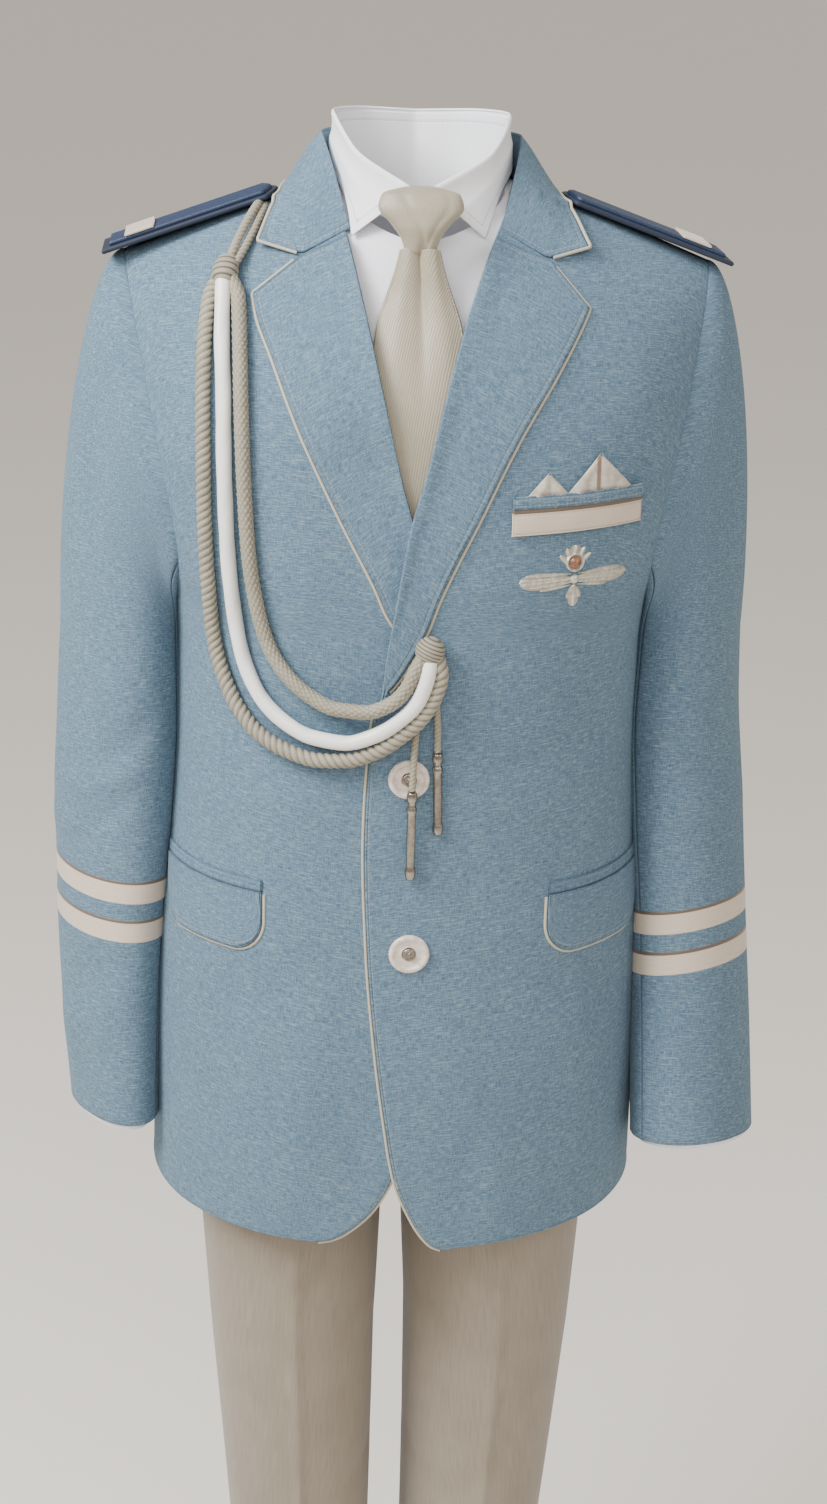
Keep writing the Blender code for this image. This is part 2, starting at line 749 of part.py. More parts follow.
def sleeve_ring(table, level, turn, side):
    outer_x = value(table, level, 1)
    inner_x = value(table, level, 2)
    middle_y = value(table, level, 3)
    depth = value(table, level, 4)
    tilt = np.radians(value(table, level, 5))
    half = np.sqrt(((outer_x - inner_x) / 2) ** 2 - SLEEVE_SKEW**2)
    x = (outer_x + inner_x) / 2 + half * np.cos(turn) - SLEEVE_SKEW * np.sin(turn)
    y = middle_y - depth * np.sin(turn) * np.cos(tilt)
    z = level + depth * np.sin(turn) * np.sin(tilt)
    depth_there = np.where(y > 0, value(TORSO, z, 3), value(TORSO, z, 2))
    share = np.clip(np.abs(y) / depth_there, 0, 1) ** SECTION_POWER
    body_x = value(TORSO, z) * (1 - share) ** (1 / SECTION_POWER)
    x = np.maximum(x, body_x + value(ARM_CLEARANCE, z))
    return np.stack([side * x, y, z + 0 * x], axis=-1)


def sleeve_sheet(table, side, columns, levels, shrink, start, start_out):
    """Outer face of a sleeve from the armhole to the cuff, with its directions out."""
    turn = np.linspace(0, 2 * math.pi, columns + 1)
    top = table[0][0]
    bottom = table[-1][0]
    ring = sleeve_ring(table, top, turn, side)
    low = (1 - np.cos(turn)) / 2
    lead = np.stack([side * (1 - 0.70 * low), 0 * low, -0.05 - 0.95 * low], axis=-1)
    lead = unit(lead) * (0.016 + 0.010 * np.abs(np.sin(turn)) - 0.008 * low)[:, None]
    rise = np.stack([0 * low, 0 * low, 0.110 - 0.102 * low], axis=-1)
    first = start + lead
    second = ring + rise
    rows = []
    for t in np.linspace(0, 1, SLEEVE_CAP_ROWS + 1):
        rows.append((1 - t) ** 3 * start + 3 * t * (1 - t) ** 2 * first + 3 * t * t * (1 - t) * second + t**3 * ring)
    for share in levels:
        rows.append(sleeve_ring(table, top + (bottom - top) * share, turn, side))
    points = np.array(rows)
    out = sheet_normals(points, closed=True) * side
    out[0] = unit(start_out * (3 - 2 * low[:, None]) + out[0])
    out = smoothed(out, 3, closed=True)
    points[1:] = points[1:] - out[1:] * (shrink * (1 + low**2))[:, None]
    return points, out


def seam_split(points, out, first, last, thick):
    """Columns first to last of a tube, drawn back from both seams by half the gap."""
    outer = points[:, first : last + 1].copy()
    inner = outer - out[:, first : last + 1] * thick
    for sheet in (outer, inner):
        for edge, inside in ((0, 1), (-1, -2)):
            step = unit(sheet[:, inside] - sheet[:, edge])
            sheet[:, edge] += step * (SEAM_GAP / 2 + 0.00036)
    return outer, inner


def sleeve(side, word, table):
    turn = np.linspace(0, 2 * math.pi, SLEEVE_COLUMNS + 1)
    point, out, away = armhole(turn, side)
    start = point + away * (SEAM_GAP + 0.0002)
    points, outs = sleeve_sheet(table, side, SLEEVE_COLUMNS, SLEEVE_LEVELS, 0.0, start, out)
    around = np.concatenate([points[:, BACK_SEAM_COLUMN:-1], points[:, : FRONT_SEAM_COLUMN + 1]], axis=1)
    around_out = np.concatenate([outs[:, BACK_SEAM_COLUMN:-1], outs[:, : FRONT_SEAM_COLUMN + 1]], axis=1)
    upper = seam_split(around, around_out, 0, around.shape[1] - 1, JACKET_WALL)
    wall(f"top_sleeve_{word}", *upper, BLUE)
    under = seam_split(points, outs, FRONT_SEAM_COLUMN, BACK_SEAM_COLUMN, JACKET_WALL)
    wall(f"under_sleeve_{word}", *under, BLUE)


sleeve(1, "left", SLEEVE_LEFT)
sleeve(-1, "right", SLEEVE_RIGHT)


def sleeve_band(name, table, side, top):
    """Ribbon sewn flat round the sleeve."""
    turn = np.linspace(0, 2 * math.pi, SLEEVE_COLUMNS + 1)
    levels = np.array([top + 0.02, top, top - BAND_HEIGHT, top - BAND_HEIGHT - 0.02])
    points = np.array([sleeve_ring(table, level, turn, side) for level in levels])
    out = sheet_normals(points, closed=True) * side
    points = points[1:3]
    out = out[1:3]
    inner = points + out * (LAY_GAP + 0.0003)
    ring_wall(name, inner + out * TRIM_WALL, inner, CREAM)


for number, level in enumerate(BANDS_LEFT):
    sleeve_band(f"sleeve_band_left_{number + 1}", SLEEVE_LEFT, 1, level)
for number, level in enumerate(BANDS_RIGHT):
    sleeve_band(f"sleeve_band_right_{number + 1}", SLEEVE_RIGHT, -1, level)


# Lapels
def lapel_places(roll, edge, side):
    v = np.linspace(0, 1, LAPEL_ROWS + 1)
    u = np.linspace(0, 1, LAPEL_COLUMNS + 1)
    bottom = edge[0][0]
    roll_z = bottom + 0.006 + v * (GORGE_Z - bottom - 0.006)
    edge_z = bottom + v * (edge[-1][0] - bottom)
    roll_x = value(roll, roll_z) + 0.0004
    edge_x = np.maximum(value(edge, edge_z), roll_x + 0.002)
    x = roll_x[:, None] + (edge_x - roll_x)[:, None] * u
    z = roll_z[:, None] + (edge_z - roll_z)[:, None] * u
    top_x = np.interp(u, (0, 0.55, 1), (x[-1, 0], NOTCH[0], x[-1, -1]))
    top_z = np.interp(u, (0, 0.55, 1), (z[-1, 0], NOTCH[1], z[-1, -1]))
    share = v[:, None] ** 6
    x = x + (top_x - x[-1]) * share
    z = z + (top_z - z[-1]) * share
    return side * x, z


def lapel(name, roll, edge, side):
    x, z = lapel_places(roll, edge, side)
    inset = overlap_inset(x, z) if side < 0 else 0 * x
    inner, out = on_body(x, z, LAY_GAP - inset)
    return wall(name, inner + out * JACKET_WALL, inner, BLUE)


lapel("lapel_left", EDGE_LEFT, LAPEL_LEFT, 1)
lapel("lapel_right", EDGE_RIGHT, LAPEL_RIGHT, -1)


# Jacket collar
def guide(table, station, side):
    """Points of a collar line; stations run from -1 to 1 with centre back at 0."""
    at = np.abs(station)
    x = value(table, at, 1) * np.where(station < 0, -1, 1)
    return np.stack([x, value(table, at, 2), value(table, at, 3)], axis=-1)


def clear_of_body(points, least):
    """Moves points out until they stand clear of the jacket's outer face."""
    for _ in range(3):
        front, front_out = on_body(points[..., 0], points[..., 2])
        rear, rear_out = on_body(points[..., 0], points[..., 2], back=True)
        behind = points[..., 1:2] > 0
        face = np.where(behind, rear, front)
        out = np.where(behind, rear_out, front_out)
        gap = np.sum((points - face) * out, axis=-1, keepdims=True)
        points = points + out * np.maximum(least - gap, 0)
    return points


def collar_sheet():
    station = np.linspace(-1, 1, 2 * COLLAR_STATIONS + 1)
    neck = guide(COLLAR_NECK, station, 1)
    roll = guide(COLLAR_ROLL, station, 1)
    middle = guide(COLLAR_MIDDLE, station, 1)
    edge = guide(COLLAR_EDGE, station, 1)
    columns = [neck, neck * 0.5 + roll * 0.5, roll]
    pointed = (np.abs(station) ** 8)[:, None]
    for t in (0.2, 0.5, 0.75, 1.0):
        bent = (1 - t) * (1 - 2 * t) * roll + 4 * t * (1 - t) * middle + t * (2 * t - 1) * edge
        straight = roll + (middle - roll) * min(2 * t, 1) + (edge - middle) * max(2 * t - 1, 0)
        columns.append(bent + (straight - bent) * pointed)
    return np.stack(columns, axis=1)


def collar():
    outer = collar_sheet()
    fall = clear_of_body(outer[:, 3:], LAY_GAP + JACKET_WALL + 0.0002)
    outer[:, 3:] = fall
    out = -smoothed(sheet_normals(outer), 2)
    thick = JACKET_WALL - 0.0005 * np.abs(np.linspace(-1, 1, len(outer))) ** 4
    return wall("jacket_collar", outer, outer - out * thick[:, None, None], BLUE)


collar()


# Flaps, welts, breast pocket, kerchief and badge
def patch(name, x, low, high, rows, height, thick, colour, **looks):
    """Piece lying on the front between two levels, column by column."""
    share = np.linspace(0, 1, rows + 1)[:, None]
    z = low + (high - low) * share
    inner, out = on_body(x + 0 * z, z, height)
    return wall(name, inner + out * thick, inner, colour, **looks)


def flap_outline(ends):
    """Columns of a flap: x, distance from the nearer end."""
    turns = np.linspace(0, 1, 11)
    near, far = ends
    width = value(TORSO, FLAP_TOP)
    start = side_turn(near, FLAP_TOP)
    end = side_turn(far, FLAP_TOP)
    bend = 0.5 - 0.5 * np.cos(turns * math.pi)
    x = width * np.sin(start + (end - start) * bend) ** (2 / SECTION_POWER)
    point, _ = on_body(x, FLAP_TOP + 0 * x)
    run = np.concatenate([[0], np.cumsum(np.linalg.norm(np.diff(point, axis=0), axis=1))])
    return x, np.minimum(run, run[-1] - run)


def flap_bottom(reach):
    share = np.clip(reach / FLAP_CORNER, 0, 1)
    return FLAP_TOP - FLAP_HEIGHT + FLAP_CORNER * (1 - np.sqrt(1 - (1 - share) ** 2))


def flap(word, side, ends):
    x, reach = flap_outline(ends)
    patch(f"pocket_flap_{word}", side * x, flap_bottom(reach), FLAP_TOP, 3, LAY_GAP, JACKET_WALL, BLUE)
    low = FLAP_TOP + WELT_RISE
    patch(f"pocket_welt_{word}", side * x, low, low + WELT_HEIGHT, 1, LAY_GAP, TRIM_WALL, BLUE)


flap("left", 1, FLAP_LEFT)
flap("right", -1, FLAP_RIGHT)


def pocket_line(x):
    return POCKET_Z[0] + (POCKET_Z[1] - POCKET_Z[0]) * (x - POCKET_X[0]) / (POCKET_X[1] - POCKET_X[0])


pocket_x = np.linspace(*POCKET_X, 9)
pocket_z = pocket_line(pocket_x)
patch("breast_band", pocket_x, pocket_z - POCKET_BAND, pocket_z, 1, LAY_GAP, JACKET_WALL, CREAM)
patch("breast_cord", pocket_x, pocket_z + 0.0004, pocket_z + 0.0004 + POCKET_CORD, 1, LAY_GAP, JACKET_WALL, BROWN)
kerchief_x = np.array(sorted([row[0] for row in KERCHIEF] + [0.0585, 0.0695, 0.0835, 0.1025]))
kerchief_low = np.interp(kerchief_x, [row[0] for row in KERCHIEF], [row[1] for row in KERCHIEF])
kerchief_high = np.interp(kerchief_x, [row[0] for row in KERCHIEF], [row[2] for row in KERCHIEF])
patch("kerchief", kerchief_x, kerchief_low, kerchief_high, 2, LAY_GAP, JACKET_WALL, CREAM)
badge_x = BADGE_X + np.array([row[0] for row in BADGE])
badge_low = np.array([row[1] for row in BADGE])
badge_high = np.array([row[2] for row in BADGE])
patch("wing_badge", badge_x, badge_low, badge_high, 3, LAY_GAP, TRIM_WALL, METAL, metallic=1.0, roughness=0.4)


def on_front(place, height):
    """Point and direction out at one place (x, level) of the front."""
    point, out = on_body(np.array([place[0]]), np.array([place[1]]), height)
    return point[0], out[0]


STONE_PROFILE = ((0.0, 0.0), (0.0, BADGE_STONE), (0.0010, BADGE_STONE), (0.0022, 0.0024), (0.0026, 0.0))
stone_at, stone_out = on_front((BADGE_X, -0.1925), LAY_GAP + TRIM_WALL + SEAM_GAP + 0.0002)
lathe("badge_stone", STONE_PROFILE, stone_at, stone_out, 10, BROWN)

BUTTON_PROFILE = (
    (0.0000, 0.0),
    (0.0000, 0.0090),
    (0.0016, BUTTON_RADIUS),
    (0.0032, 0.0104),
    (0.0022, 0.0078),
    (0.0022, 0.0040),
    (0.0038, 0.0036),
    (0.0038, 0.0),
)
for word, place in (("upper", BUTTON_UPPER), ("lower", BUTTON_LOWER)):
    point, out = on_front(place, LAY_GAP)
    lathe(f"button_{word}", BUTTON_PROFILE, point, out, 14, CREAM, roughness=0.3)


# Piping
def piping_line(x, z, height, side, away):
    """Line beside an edge, moved away from it in the face."""
    point, out = on_body(x, z, height)
    along = unit(np.gradient(point, axis=0))
    beside = unit(np.cross(along, out)) * away
    return point + beside * (PIPING + SEAM_GAP + 0.0001)


def front_piping(word, edge, side, top, away):
    levels, _ = body_rows(edge[0][0], edge[-1][0])
    z = levels[levels <= top]
    x = side * value(edge, z)
    inset = overlap_inset(x, z) if side < 0 else 0 * x
    line = piping_line(x, z, -inset - JACKET_WALL / 2, side, away)
    tube(f"front_piping_{word}", line, PIPING, CREAM, sides=0)


front_piping("left", EDGE_LEFT, 1, -0.275, -1)
front_piping("right", EDGE_RIGHT, -1, -0.480, 1)


def lapel_piping(word, roll, edge, side, away):
    x, z = lapel_places(roll, edge, side)
    x = np.concatenate([x[1:, -1], x[-1, -2:-4:-1]])
    z = np.concatenate([z[1:, -1], z[-1, -2:-4:-1]])
    inset = overlap_inset(x, z) if side < 0 else 0 * x
    line = piping_line(x, z, LAY_GAP + JACKET_WALL / 2 - inset, side, away)
    tube(f"lapel_piping_{word}", line, PIPING, CREAM, sides=0)


lapel_piping("left", EDGE_LEFT, LAPEL_LEFT, 1, 1)
lapel_piping("right", EDGE_RIGHT, LAPEL_RIGHT, -1, -1)


def flap_piping(word, side, ends, away):
    x, reach = flap_outline(ends)
    bottom = flap_bottom(reach)
    x = np.concatenate([x[:1], x, x[-1:]])
    z = np.concatenate([[FLAP_TOP - 0.003], bottom, [FLAP_TOP - 0.003]])
    line = piping_line(side * x, z, LAY_GAP + JACKET_WALL / 2 + 0.0003, side, away)
    tube(f"flap_piping_{word}", line, PIPING, CREAM, sides=0)


flap_piping("left", 1, FLAP_LEFT, 1)
flap_piping("right", -1, FLAP_RIGHT, -1)


def collar_piping():
    sheet = collar_sheet()
    sheet[:, 3:] = clear_of_body(sheet[:, 3:], LAY_GAP + JACKET_WALL + 0.0002)
    edge = sheet[:, -1]
    beyond = unit(edge - sheet[:, -2])
    beyond[0] = unit(beyond[0] + unit(sheet[0, -1] - sheet[1, -1]))
    beyond[-1] = unit(beyond[-1] + unit(sheet[-1, -1] - sheet[-2, -1]))
    first = sheet[0, -2:-1]
    last = sheet[-1, -2:-1]
    edge = np.concatenate([first, edge, last])
    beyond = np.concatenate([unit(first - sheet[1, -2:-1]), beyond, unit(last - sheet[-2, -2:-1])])
    line = edge + beyond * (PIPING + SEAM_GAP + 0.0003)
    line = clear_of_body(line, PIPING + SEAM_GAP)
    tube("collar_piping", line, PIPING, CREAM, sides=0)


collar_piping()


# Epaulettes
def board_outline(half, inner, outer, point):
    return ((inner, 0.0), (inner + point, half), (outer, half), (outer, -half), (inner + point, -half))


def slab(name, outline, low, high, colour, **looks):
    """Flat board of an outline in its own plane, between two heights."""
    data = bpy.data.curves.new(name, "CURVE")
    data.dimensions = "2D"
    data.fill_mode = "BOTH"
    data.extrude = (high - low) / 2
    spline = data.splines.new("POLY")
    spline.points.add(len(outline) - 1)
    for place, (x, y) in zip(spline.points, outline):
        place.co = (x, y, 0, 1)
    spline.use_cyclic_u = True
    guide_object = bpy.data.objects.new(name + "_outline", data)
    UNIFORM.objects.link(guide_object)
    graph = bpy.context.evaluated_depsgraph_get()
    mesh = bpy.data.meshes.new_from_object(guide_object.evaluated_get(graph))
    bpy.data.objects.remove(guide_object)
    bm = bmesh.new()
    bm.from_mesh(mesh)
    bmesh.ops.remove_doubles(bm, verts=bm.verts, dist=1e-6)
    bmesh.ops.translate(bm, vec=(0, 0, (low + high) / 2), verts=bm.verts)
    bpy.data.meshes.remove(mesh)
    return finish(name, bm, colour, smooth=False, **looks)


def shoulder_frame(side):
    """Frame on the shoulder seam: x runs outwards along it, z stands up from it."""
    slope = math.atan(BOARD_SLOPE)
    base = Matrix.Translation((0, 0, ridge(BOARD_INNER) + BOARD_INNER * BOARD_SLOPE - 0.0006))
    if side > 0:
        return base @ Matrix.Rotation(slope, 4, "Y")
    return base @ Matrix.Scale(-1, 4, (1, 0, 0)) @ Matrix.Rotation(slope, 4, "Y")


def place_on_shoulder(made, side):
    made.data.transform(shoulder_frame(side))
    if side < 0:
        made.data.flip_normals()


def epaulette(word, side):
    stretch = math.sqrt(1 + BOARD_SLOPE**2)
    inner = BOARD_INNER * stretch
    outer = BOARD_OUTER * stretch
    low = 0.0014
    middle = low + BOARD_THICK
    top = middle + BOARD_THICK - 0.0006
    base = slab(f"epaulette_{word}", board_outline(BOARD_HALF, inner, outer, 0.006), low, middle, NAVY)
    narrow = board_outline(BOARD_UPPER_HALF, inner + 0.003, outer - 0.005, 0.005)
    upper = slab(f"board_{word}", narrow, middle - 0.0004, top, NAVY)
    join = base.modifiers.new("join", "BOOLEAN")
    join.operation = "UNION"
    join.solver = "EXACT"
    join.object = upper
    graph = bpy.context.evaluated_depsgraph_get()
    joined = bpy.data.meshes.new_from_object(base.evaluated_get(graph))
    base.modifiers.clear()
    base.data = joined
    bpy.data.objects.remove(upper)
    place_on_shoulder(base, side)
    at = SLIDE_AT * stretch
    half = BOARD_UPPER_HALF + 0.0006
    outline = (
        (at - SLIDE_HALF_LENGTH, half),
        (at + SLIDE_HALF_LENGTH, half),
        (at + SLIDE_HALF_LENGTH, -half),
        (at - SLIDE_HALF_LENGTH, -half),
    )
    slide = slab(f"epaulette_slide_{word}", outline, top + SEAM_GAP, top + SEAM_GAP + 0.0012, CREAM)
    place_on_shoulder(slide, side)


epaulette("left", 1)
epaulette("right", -1)


# Aiguillette
def cord_points(rows):
    """Points of a cord from its places (x, level, height above the front), evenly spaced."""
    rows = np.array(rows)
    run = np.concatenate([[0], np.cumsum(np.linalg.norm(np.diff(rows[:, :2], axis=0), axis=1))])
    at = np.linspace(0, run[-1], max(4, round(run[-1] / 0.0130) + 1))
    x, z, height = (value(np.column_stack([run, rows[:, k]]), at) for k in range(3))
    point, _ = on_body(x, z, height)
    return point


for word, rows in (("outer", STRAND_OUTER), ("middle", STRAND_MIDDLE), ("inner", STRAND_INNER)):
    tube(f"aiguillette_{word}", cord_points(rows), STRAND_RADIUS, BEIGE if word != "middle" else WHITE, sides=2)
for word, rows in (("left", TAIL_LEFT), ("right", TAIL_RIGHT)):
    tube(f"aiguillette_tail_{word}", cord_points(rows), TAIL_RADIUS, BEIGE, sides=1)


def between(start, end):
    start_point, _ = on_front(start[:2], start[2])
    end_point, _ = on_front(end[:2], end[2])
    axis = end_point - start_point
    return start_point, axis, float(np.linalg.norm(axis))


KNOT_PROFILE = ((0.0, 0.0), (0.0, 0.0034), (0.30, 0.0036), (0.52, 0.0042), (0.66, 0.0064), (0.82, 0.0070))
start, axis, length = between(KNOT_TOP, KNOT_END)
profile = [(along * length, radius) for along, radius in KNOT_PROFILE]
profile += [(length - 0.0012, 0.0060), (length - 0.0004, 0.0036), (length - 0.0004, 0.0)]
lathe("aiguillette_knot", profile, start, axis, 12, BEIGE)

boss_at, boss_out = on_front(BOSS[:2], BOSS[2])
BOSS_PROFILE = ((-0.0040, 0.0), (-0.0040, 0.0050), (-0.0010, 0.0078), (0.0025, BOSS_RADIUS), (0.0055, 0.0066))
lathe("aiguillette_boss", BOSS_PROFILE + ((0.0075, 0.0036), (0.0080, 0.0)), boss_at, boss_out, 12, BEIGE)

PENCIL_PROFILE = (
    (0.00, 0.0, 0.0),
    (0.00, 0.0, 0.90),
    (0.06, 0.0, 1.00),
    (0.12, 0.0, 0.70),
    (0.20, 0.0, 0.95),
    (0.26, 0.0, 0.72),
    (0.86, 0.0, 0.66),
    (0.90, 0.0, 0.95),
    (0.98, 0.0, 0.90),
    (1.00, 0.0, 0.50),
    (1.00, 0.0, 0.0),
)
for word, (first, last) in (("left", PENCIL_LEFT), ("right", PENCIL_RIGHT)):
    start, axis, length = between(first, last)
    profile = [(row[0] * length, row[2] * PENCIL_RADIUS) for row in PENCIL_PROFILE]
    lathe(f"aiguillette_pencil_{word}", profile, start, axis, 8, METAL, metallic=1.0, roughness=0.35)


# Shirt
def shirt_ease(x, z, back):
    ease = value(SHIRT_EASE, z)
    if back:
        return ease + 0.0006
    middle = np.clip(1 - (np.abs(x) / 0.120) ** 2, 0, 1) * ease_in((-0.02 - z) / 0.05)
    return np.maximum(ease, SHIRT_EASE[0][1] + (SHIRT_FRONT_EASE - SHIRT_EASE[0][1]) * middle)


def shirt_rows(middle_top):
    share = np.array(SHIRT_LEVELS)
    underarm = ARMHOLE_MIDDLE - ARMHOLE_HALF
    low = SHIRT_BOTTOM + share * (underarm - SHIRT_BOTTOM)
    turns = np.linspace(math.pi, 0, ARMHOLE_STEPS // 2 + 1)[1:]
    high_side = ARMHOLE_MIDDLE + ARMHOLE_HALF * np.cos(turns)
    part = (high_side - underarm) / (high_side[-1] - underarm)
    return np.concatenate([low, underarm + part * (middle_top - underarm)]), np.concatenate([low, high_side])


def shirt_panel(name, side, back):
    """Shirt front or back, laid inside the jacket."""
    neck_z = -0.031 if not back else -0.018
    middle_z, side_z = shirt_rows(neck_z)
    far = np.where(side_z <= ARMHOLE_MIDDLE - ARMHOLE_HALF + 1e-9, value(TORSO, side_z), value(ARMHOLE, side_z))
    u = np.linspace(0, 1, SHIRT_COLUMNS + 1)
    power = 2 / SECTION_POWER
    turn = np.arcsin(np.clip(far / value(TORSO, side_z), 0, 1) ** (1 / power))[:, None] * u
    x = value(TORSO, side_z)[:, None] * np.sin(turn) ** power
    z = middle_z[:, None] + (side_z - middle_z)[:, None] * x / far[:, None]
    middle = SHIRT_MIDDLE * side if not back else 0.0
    x = x + (SEAM_GAP / 2 + middle) * (1 - x / far[:, None])
    shoulder_x = np.linspace(0.0465, ARMHOLE[0][1], SHIRT_COLUMNS - 2 + 1)
    neck_part = np.linspace(0, 1, 3)
    start_x = SEAM_GAP / 2 + middle
    neck_x = start_x + (0.0465 - start_x) * np.sin(neck_part * math.pi / 2)
    neck_line = neck_z + (ridge(0.0465) - neck_z) * (1 - np.cos(neck_part * math.pi / 2)) ** 0.8
    top_x = np.concatenate([neck_x, shoulder_x[1:]])
    top_z = np.concatenate([neck_line, ridge(shoulder_x[1:])])
    height = np.clip((z - -0.17) / (z[-1] - -0.17), 0, 1)
    rise = top_z - z[-1]
    shift = top_x - x[-1]
    z = z + rise * height
    x = x + shift * ease_in(height)
    at = side * x
    surface_x = np.where(np.abs(at) < 1e-4, 1e-4 * side, at)
    outer, out = on_body(surface_x, z, -shirt_ease(at, z, back), back)
    outer[:, 0, 0] = at[:, 0]
    out[:, 0, 0] = 0
    return outer, unit(out)


def shirt_body():
    for word, side in (("left", 1), ("right", -1)):
        outer, out = shirt_panel("front", side, False)
        wall(f"shirt_front_{word}", outer, outer - out * SHIRT_WALL, WHITE)
    left, left_out = shirt_panel("back", 1, True)
    right, right_out = shirt_panel("back", -1, True)
    outer = np.concatenate([right[:, ::-1], left[:, 1:]], axis=1)
    out = np.concatenate([right_out[:, ::-1], left_out[:, 1:]], axis=1)
    wall("shirt_back", outer, outer - out * SHIRT_WALL, WHITE)


shirt_body()


def shirt_sleeve(side, word, table):
    columns = SLEEVE_COLUMNS // 2
    turn = np.linspace(0, 2 * math.pi, columns + 1)
    point, out, away = armhole(turn, side)
    ease = SHIRT_EASE[0][1]
    start = point - out * ease + away * (SEAM_GAP + 0.0003)
    levels = (0.35, 0.7, 1.0)
    bottom = (table[-1][0] - CUFF_SHOWS, *table[-1][1:])
    longer = table[:-1] + (bottom,)
    points, outs = sleeve_sheet(longer, side, columns, levels, ease + 0.0024, start, out)
    inner = points - outs * SHIRT_WALL
    ring_wall(f"shirt_sleeve_{word}", points, inner, WHITE)


shirt_sleeve(1, "left", SLEEVE_LEFT)
shirt_sleeve(-1, "right", SLEEVE_RIGHT)


def shirt_guide(table, count):
    station = np.linspace(-1, 1, 2 * count + 1)
    points = guide(table, station, 1)
    points[:, 0] += SHIRT_MIDDLE * np.abs(station) ** 3
    return points


def shirt_collar():
    count = SHIRT_COLLAR_STATIONS
    neck = shirt_guide(SHIRT_NECK, count)
    stand = shirt_guide(SHIRT_STAND_TOP, count)
    outer = np.stack([neck, (neck + stand) / 2, stand], axis=1)
    out = -sheet_normals(outer)
    wall("shirt_collar_stand", outer, outer - out * SHIRT_WALL, WHITE)
    top = shirt_guide(SHIRT_FALL_TOP, count)
    edge = shirt_guide(SHIRT_FALL_EDGE, count)
    rows = [top + (edge - top) * t for t in np.linspace(0, 1, 5)]
    outer = np.stack(rows, axis=1)
    out = sheet_normals(outer)
    wall("shirt_collar_fall", outer, outer - out * SHIRT_WALL, WHITE)


shirt_collar()


# Tie
def tie_knot():
    bm = bmesh.new()
    turn = np.linspace(0, 2 * math.pi, 13)
    rings = []
    for level, half, y, depth in TIE_KNOT:
        x = TIE_X + half * np.sign(np.cos(turn)) * np.abs(np.cos(turn)) ** 0.8
        ring_y = y - depth * np.sin(turn)
        rings.append(np.stack([x, ring_y, level + 0 * x], axis=-1))
    add_grid(bm, np.array(rings))
    bmesh.ops.remove_doubles(bm, verts=bm.verts, dist=1e-7)
    bmesh.ops.holes_fill(bm, edges=bm.edges, sides=0)
    return finish("tie_knot", bm, CREAM)


tie_knot()


def tie_blade():
    level = np.array([row[0] for row in TIE_BLADE])
    half = np.array([row[1] for row in TIE_BLADE])
    height = np.array([row[2] for row in TIE_BLADE])
    across = np.linspace(-1, 1, 6)
    x = TIE_X + half[:, None] * across
    z = level[:, None] + 0 * x
    outer, out = on_body(np.where(np.abs(x) < 1e-4, 1e-4, x), z, height[:, None] + 0 * x)
    return wall("tie_blade", outer, outer - out * TIE_WALL, CREAM)


tie_blade()


# Trousers
def trouser_places(columns, back):
    """Points of a trouser panel in the leg's own side, inner edge first."""
    rows = []
    for level, middle, half, front, rear, crease in TROUSER:
        start = math.acos(min(middle / half, 1.0))
        turn = np.linspace(start, math.pi, columns + 1)
        shape = np.abs(np.sin(turn)) ** 0.85
        depth = rear if back else front
        x = np.maximum(middle - half * np.cos(turn), SEAM_GAP / 2)
        y = depth * shape
        ridge_share = np.exp(-(((turn - math.pi / 2) / 0.10) ** 2)) if middle > 0 else 0 * turn
        nearest = np.argmin(np.abs(turn - math.pi / 2))
        y[nearest] += crease if middle > 0.02 else 0
        y = np.maximum(y, SEAM_GAP / 2)
        rows.append(np.stack([x, y if back else -y, level + 0 * x], axis=-1))
    return np.array(rows)


def trouser_panel(name, side, back):
    points = trouser_places(TROUSER_COLUMNS, back)
    out = sheet_normals(points) * (1 if back else -1)
    out[:, -1] = (1, 0, 0)
    above = np.array([row[1] < row[2] - 1e-6 for row in TROUSER])
    out[above, 0, 0] = 0
    out[~above, 0] = (-1, 0, 0)
    out[0, :, 2] = 0
    out = unit(out)
    inner = points - out * TROUSER_WALL
    flip = np.array([side, 1, 1])
    outer = points * flip
    inner = inner * flip
    shift = value(LEG_SHIFT, points[..., 2])
    outer[..., 0] += shift
    inner[..., 0] += shift
    return wall(name, outer, inner, SAND)


for word, side in (("left", 1), ("right", -1)):
    trouser_panel(f"trouser_front_{word}", side, False)
    trouser_panel(f"trouser_back_{word}", side, True)


def waistband():
    turn = np.linspace(0, math.pi / 2, 10)
    quarter = value(TORSO, WAIST_TOP) * np.sin(turn) ** (2 / SECTION_POWER)
    quarter = np.clip(quarter, 1e-4, None)
    rows = []
    for level in (WAIST_TOP, WAIST_BOTTOM):
        front, _ = on_body(quarter, level + 0 * quarter, -WAIST_EASE)
        rear, _ = on_body(quarter, level + 0 * quarter, -WAIST_EASE, back=True)
        half = np.concatenate([front[:-1], rear[::-1][:]])
        mirrored = half[::-1] * np.array([-1, 1, 1])
        ring = np.concatenate([half[:-1], mirrored[:-1]])
        ring[:, 2] = level
        rows.append(np.concatenate([ring, ring[:1]]))
    outer = np.array(rows)
    out = unit(outer * np.array([1, 1, 0]))
    ring_wall("trouser_waistband", outer, outer - out * TROUSER_WALL, SAND)


waistband()
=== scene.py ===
import math

import bmesh
import bpy
import numpy as np
from mathutils import Matrix, Vector


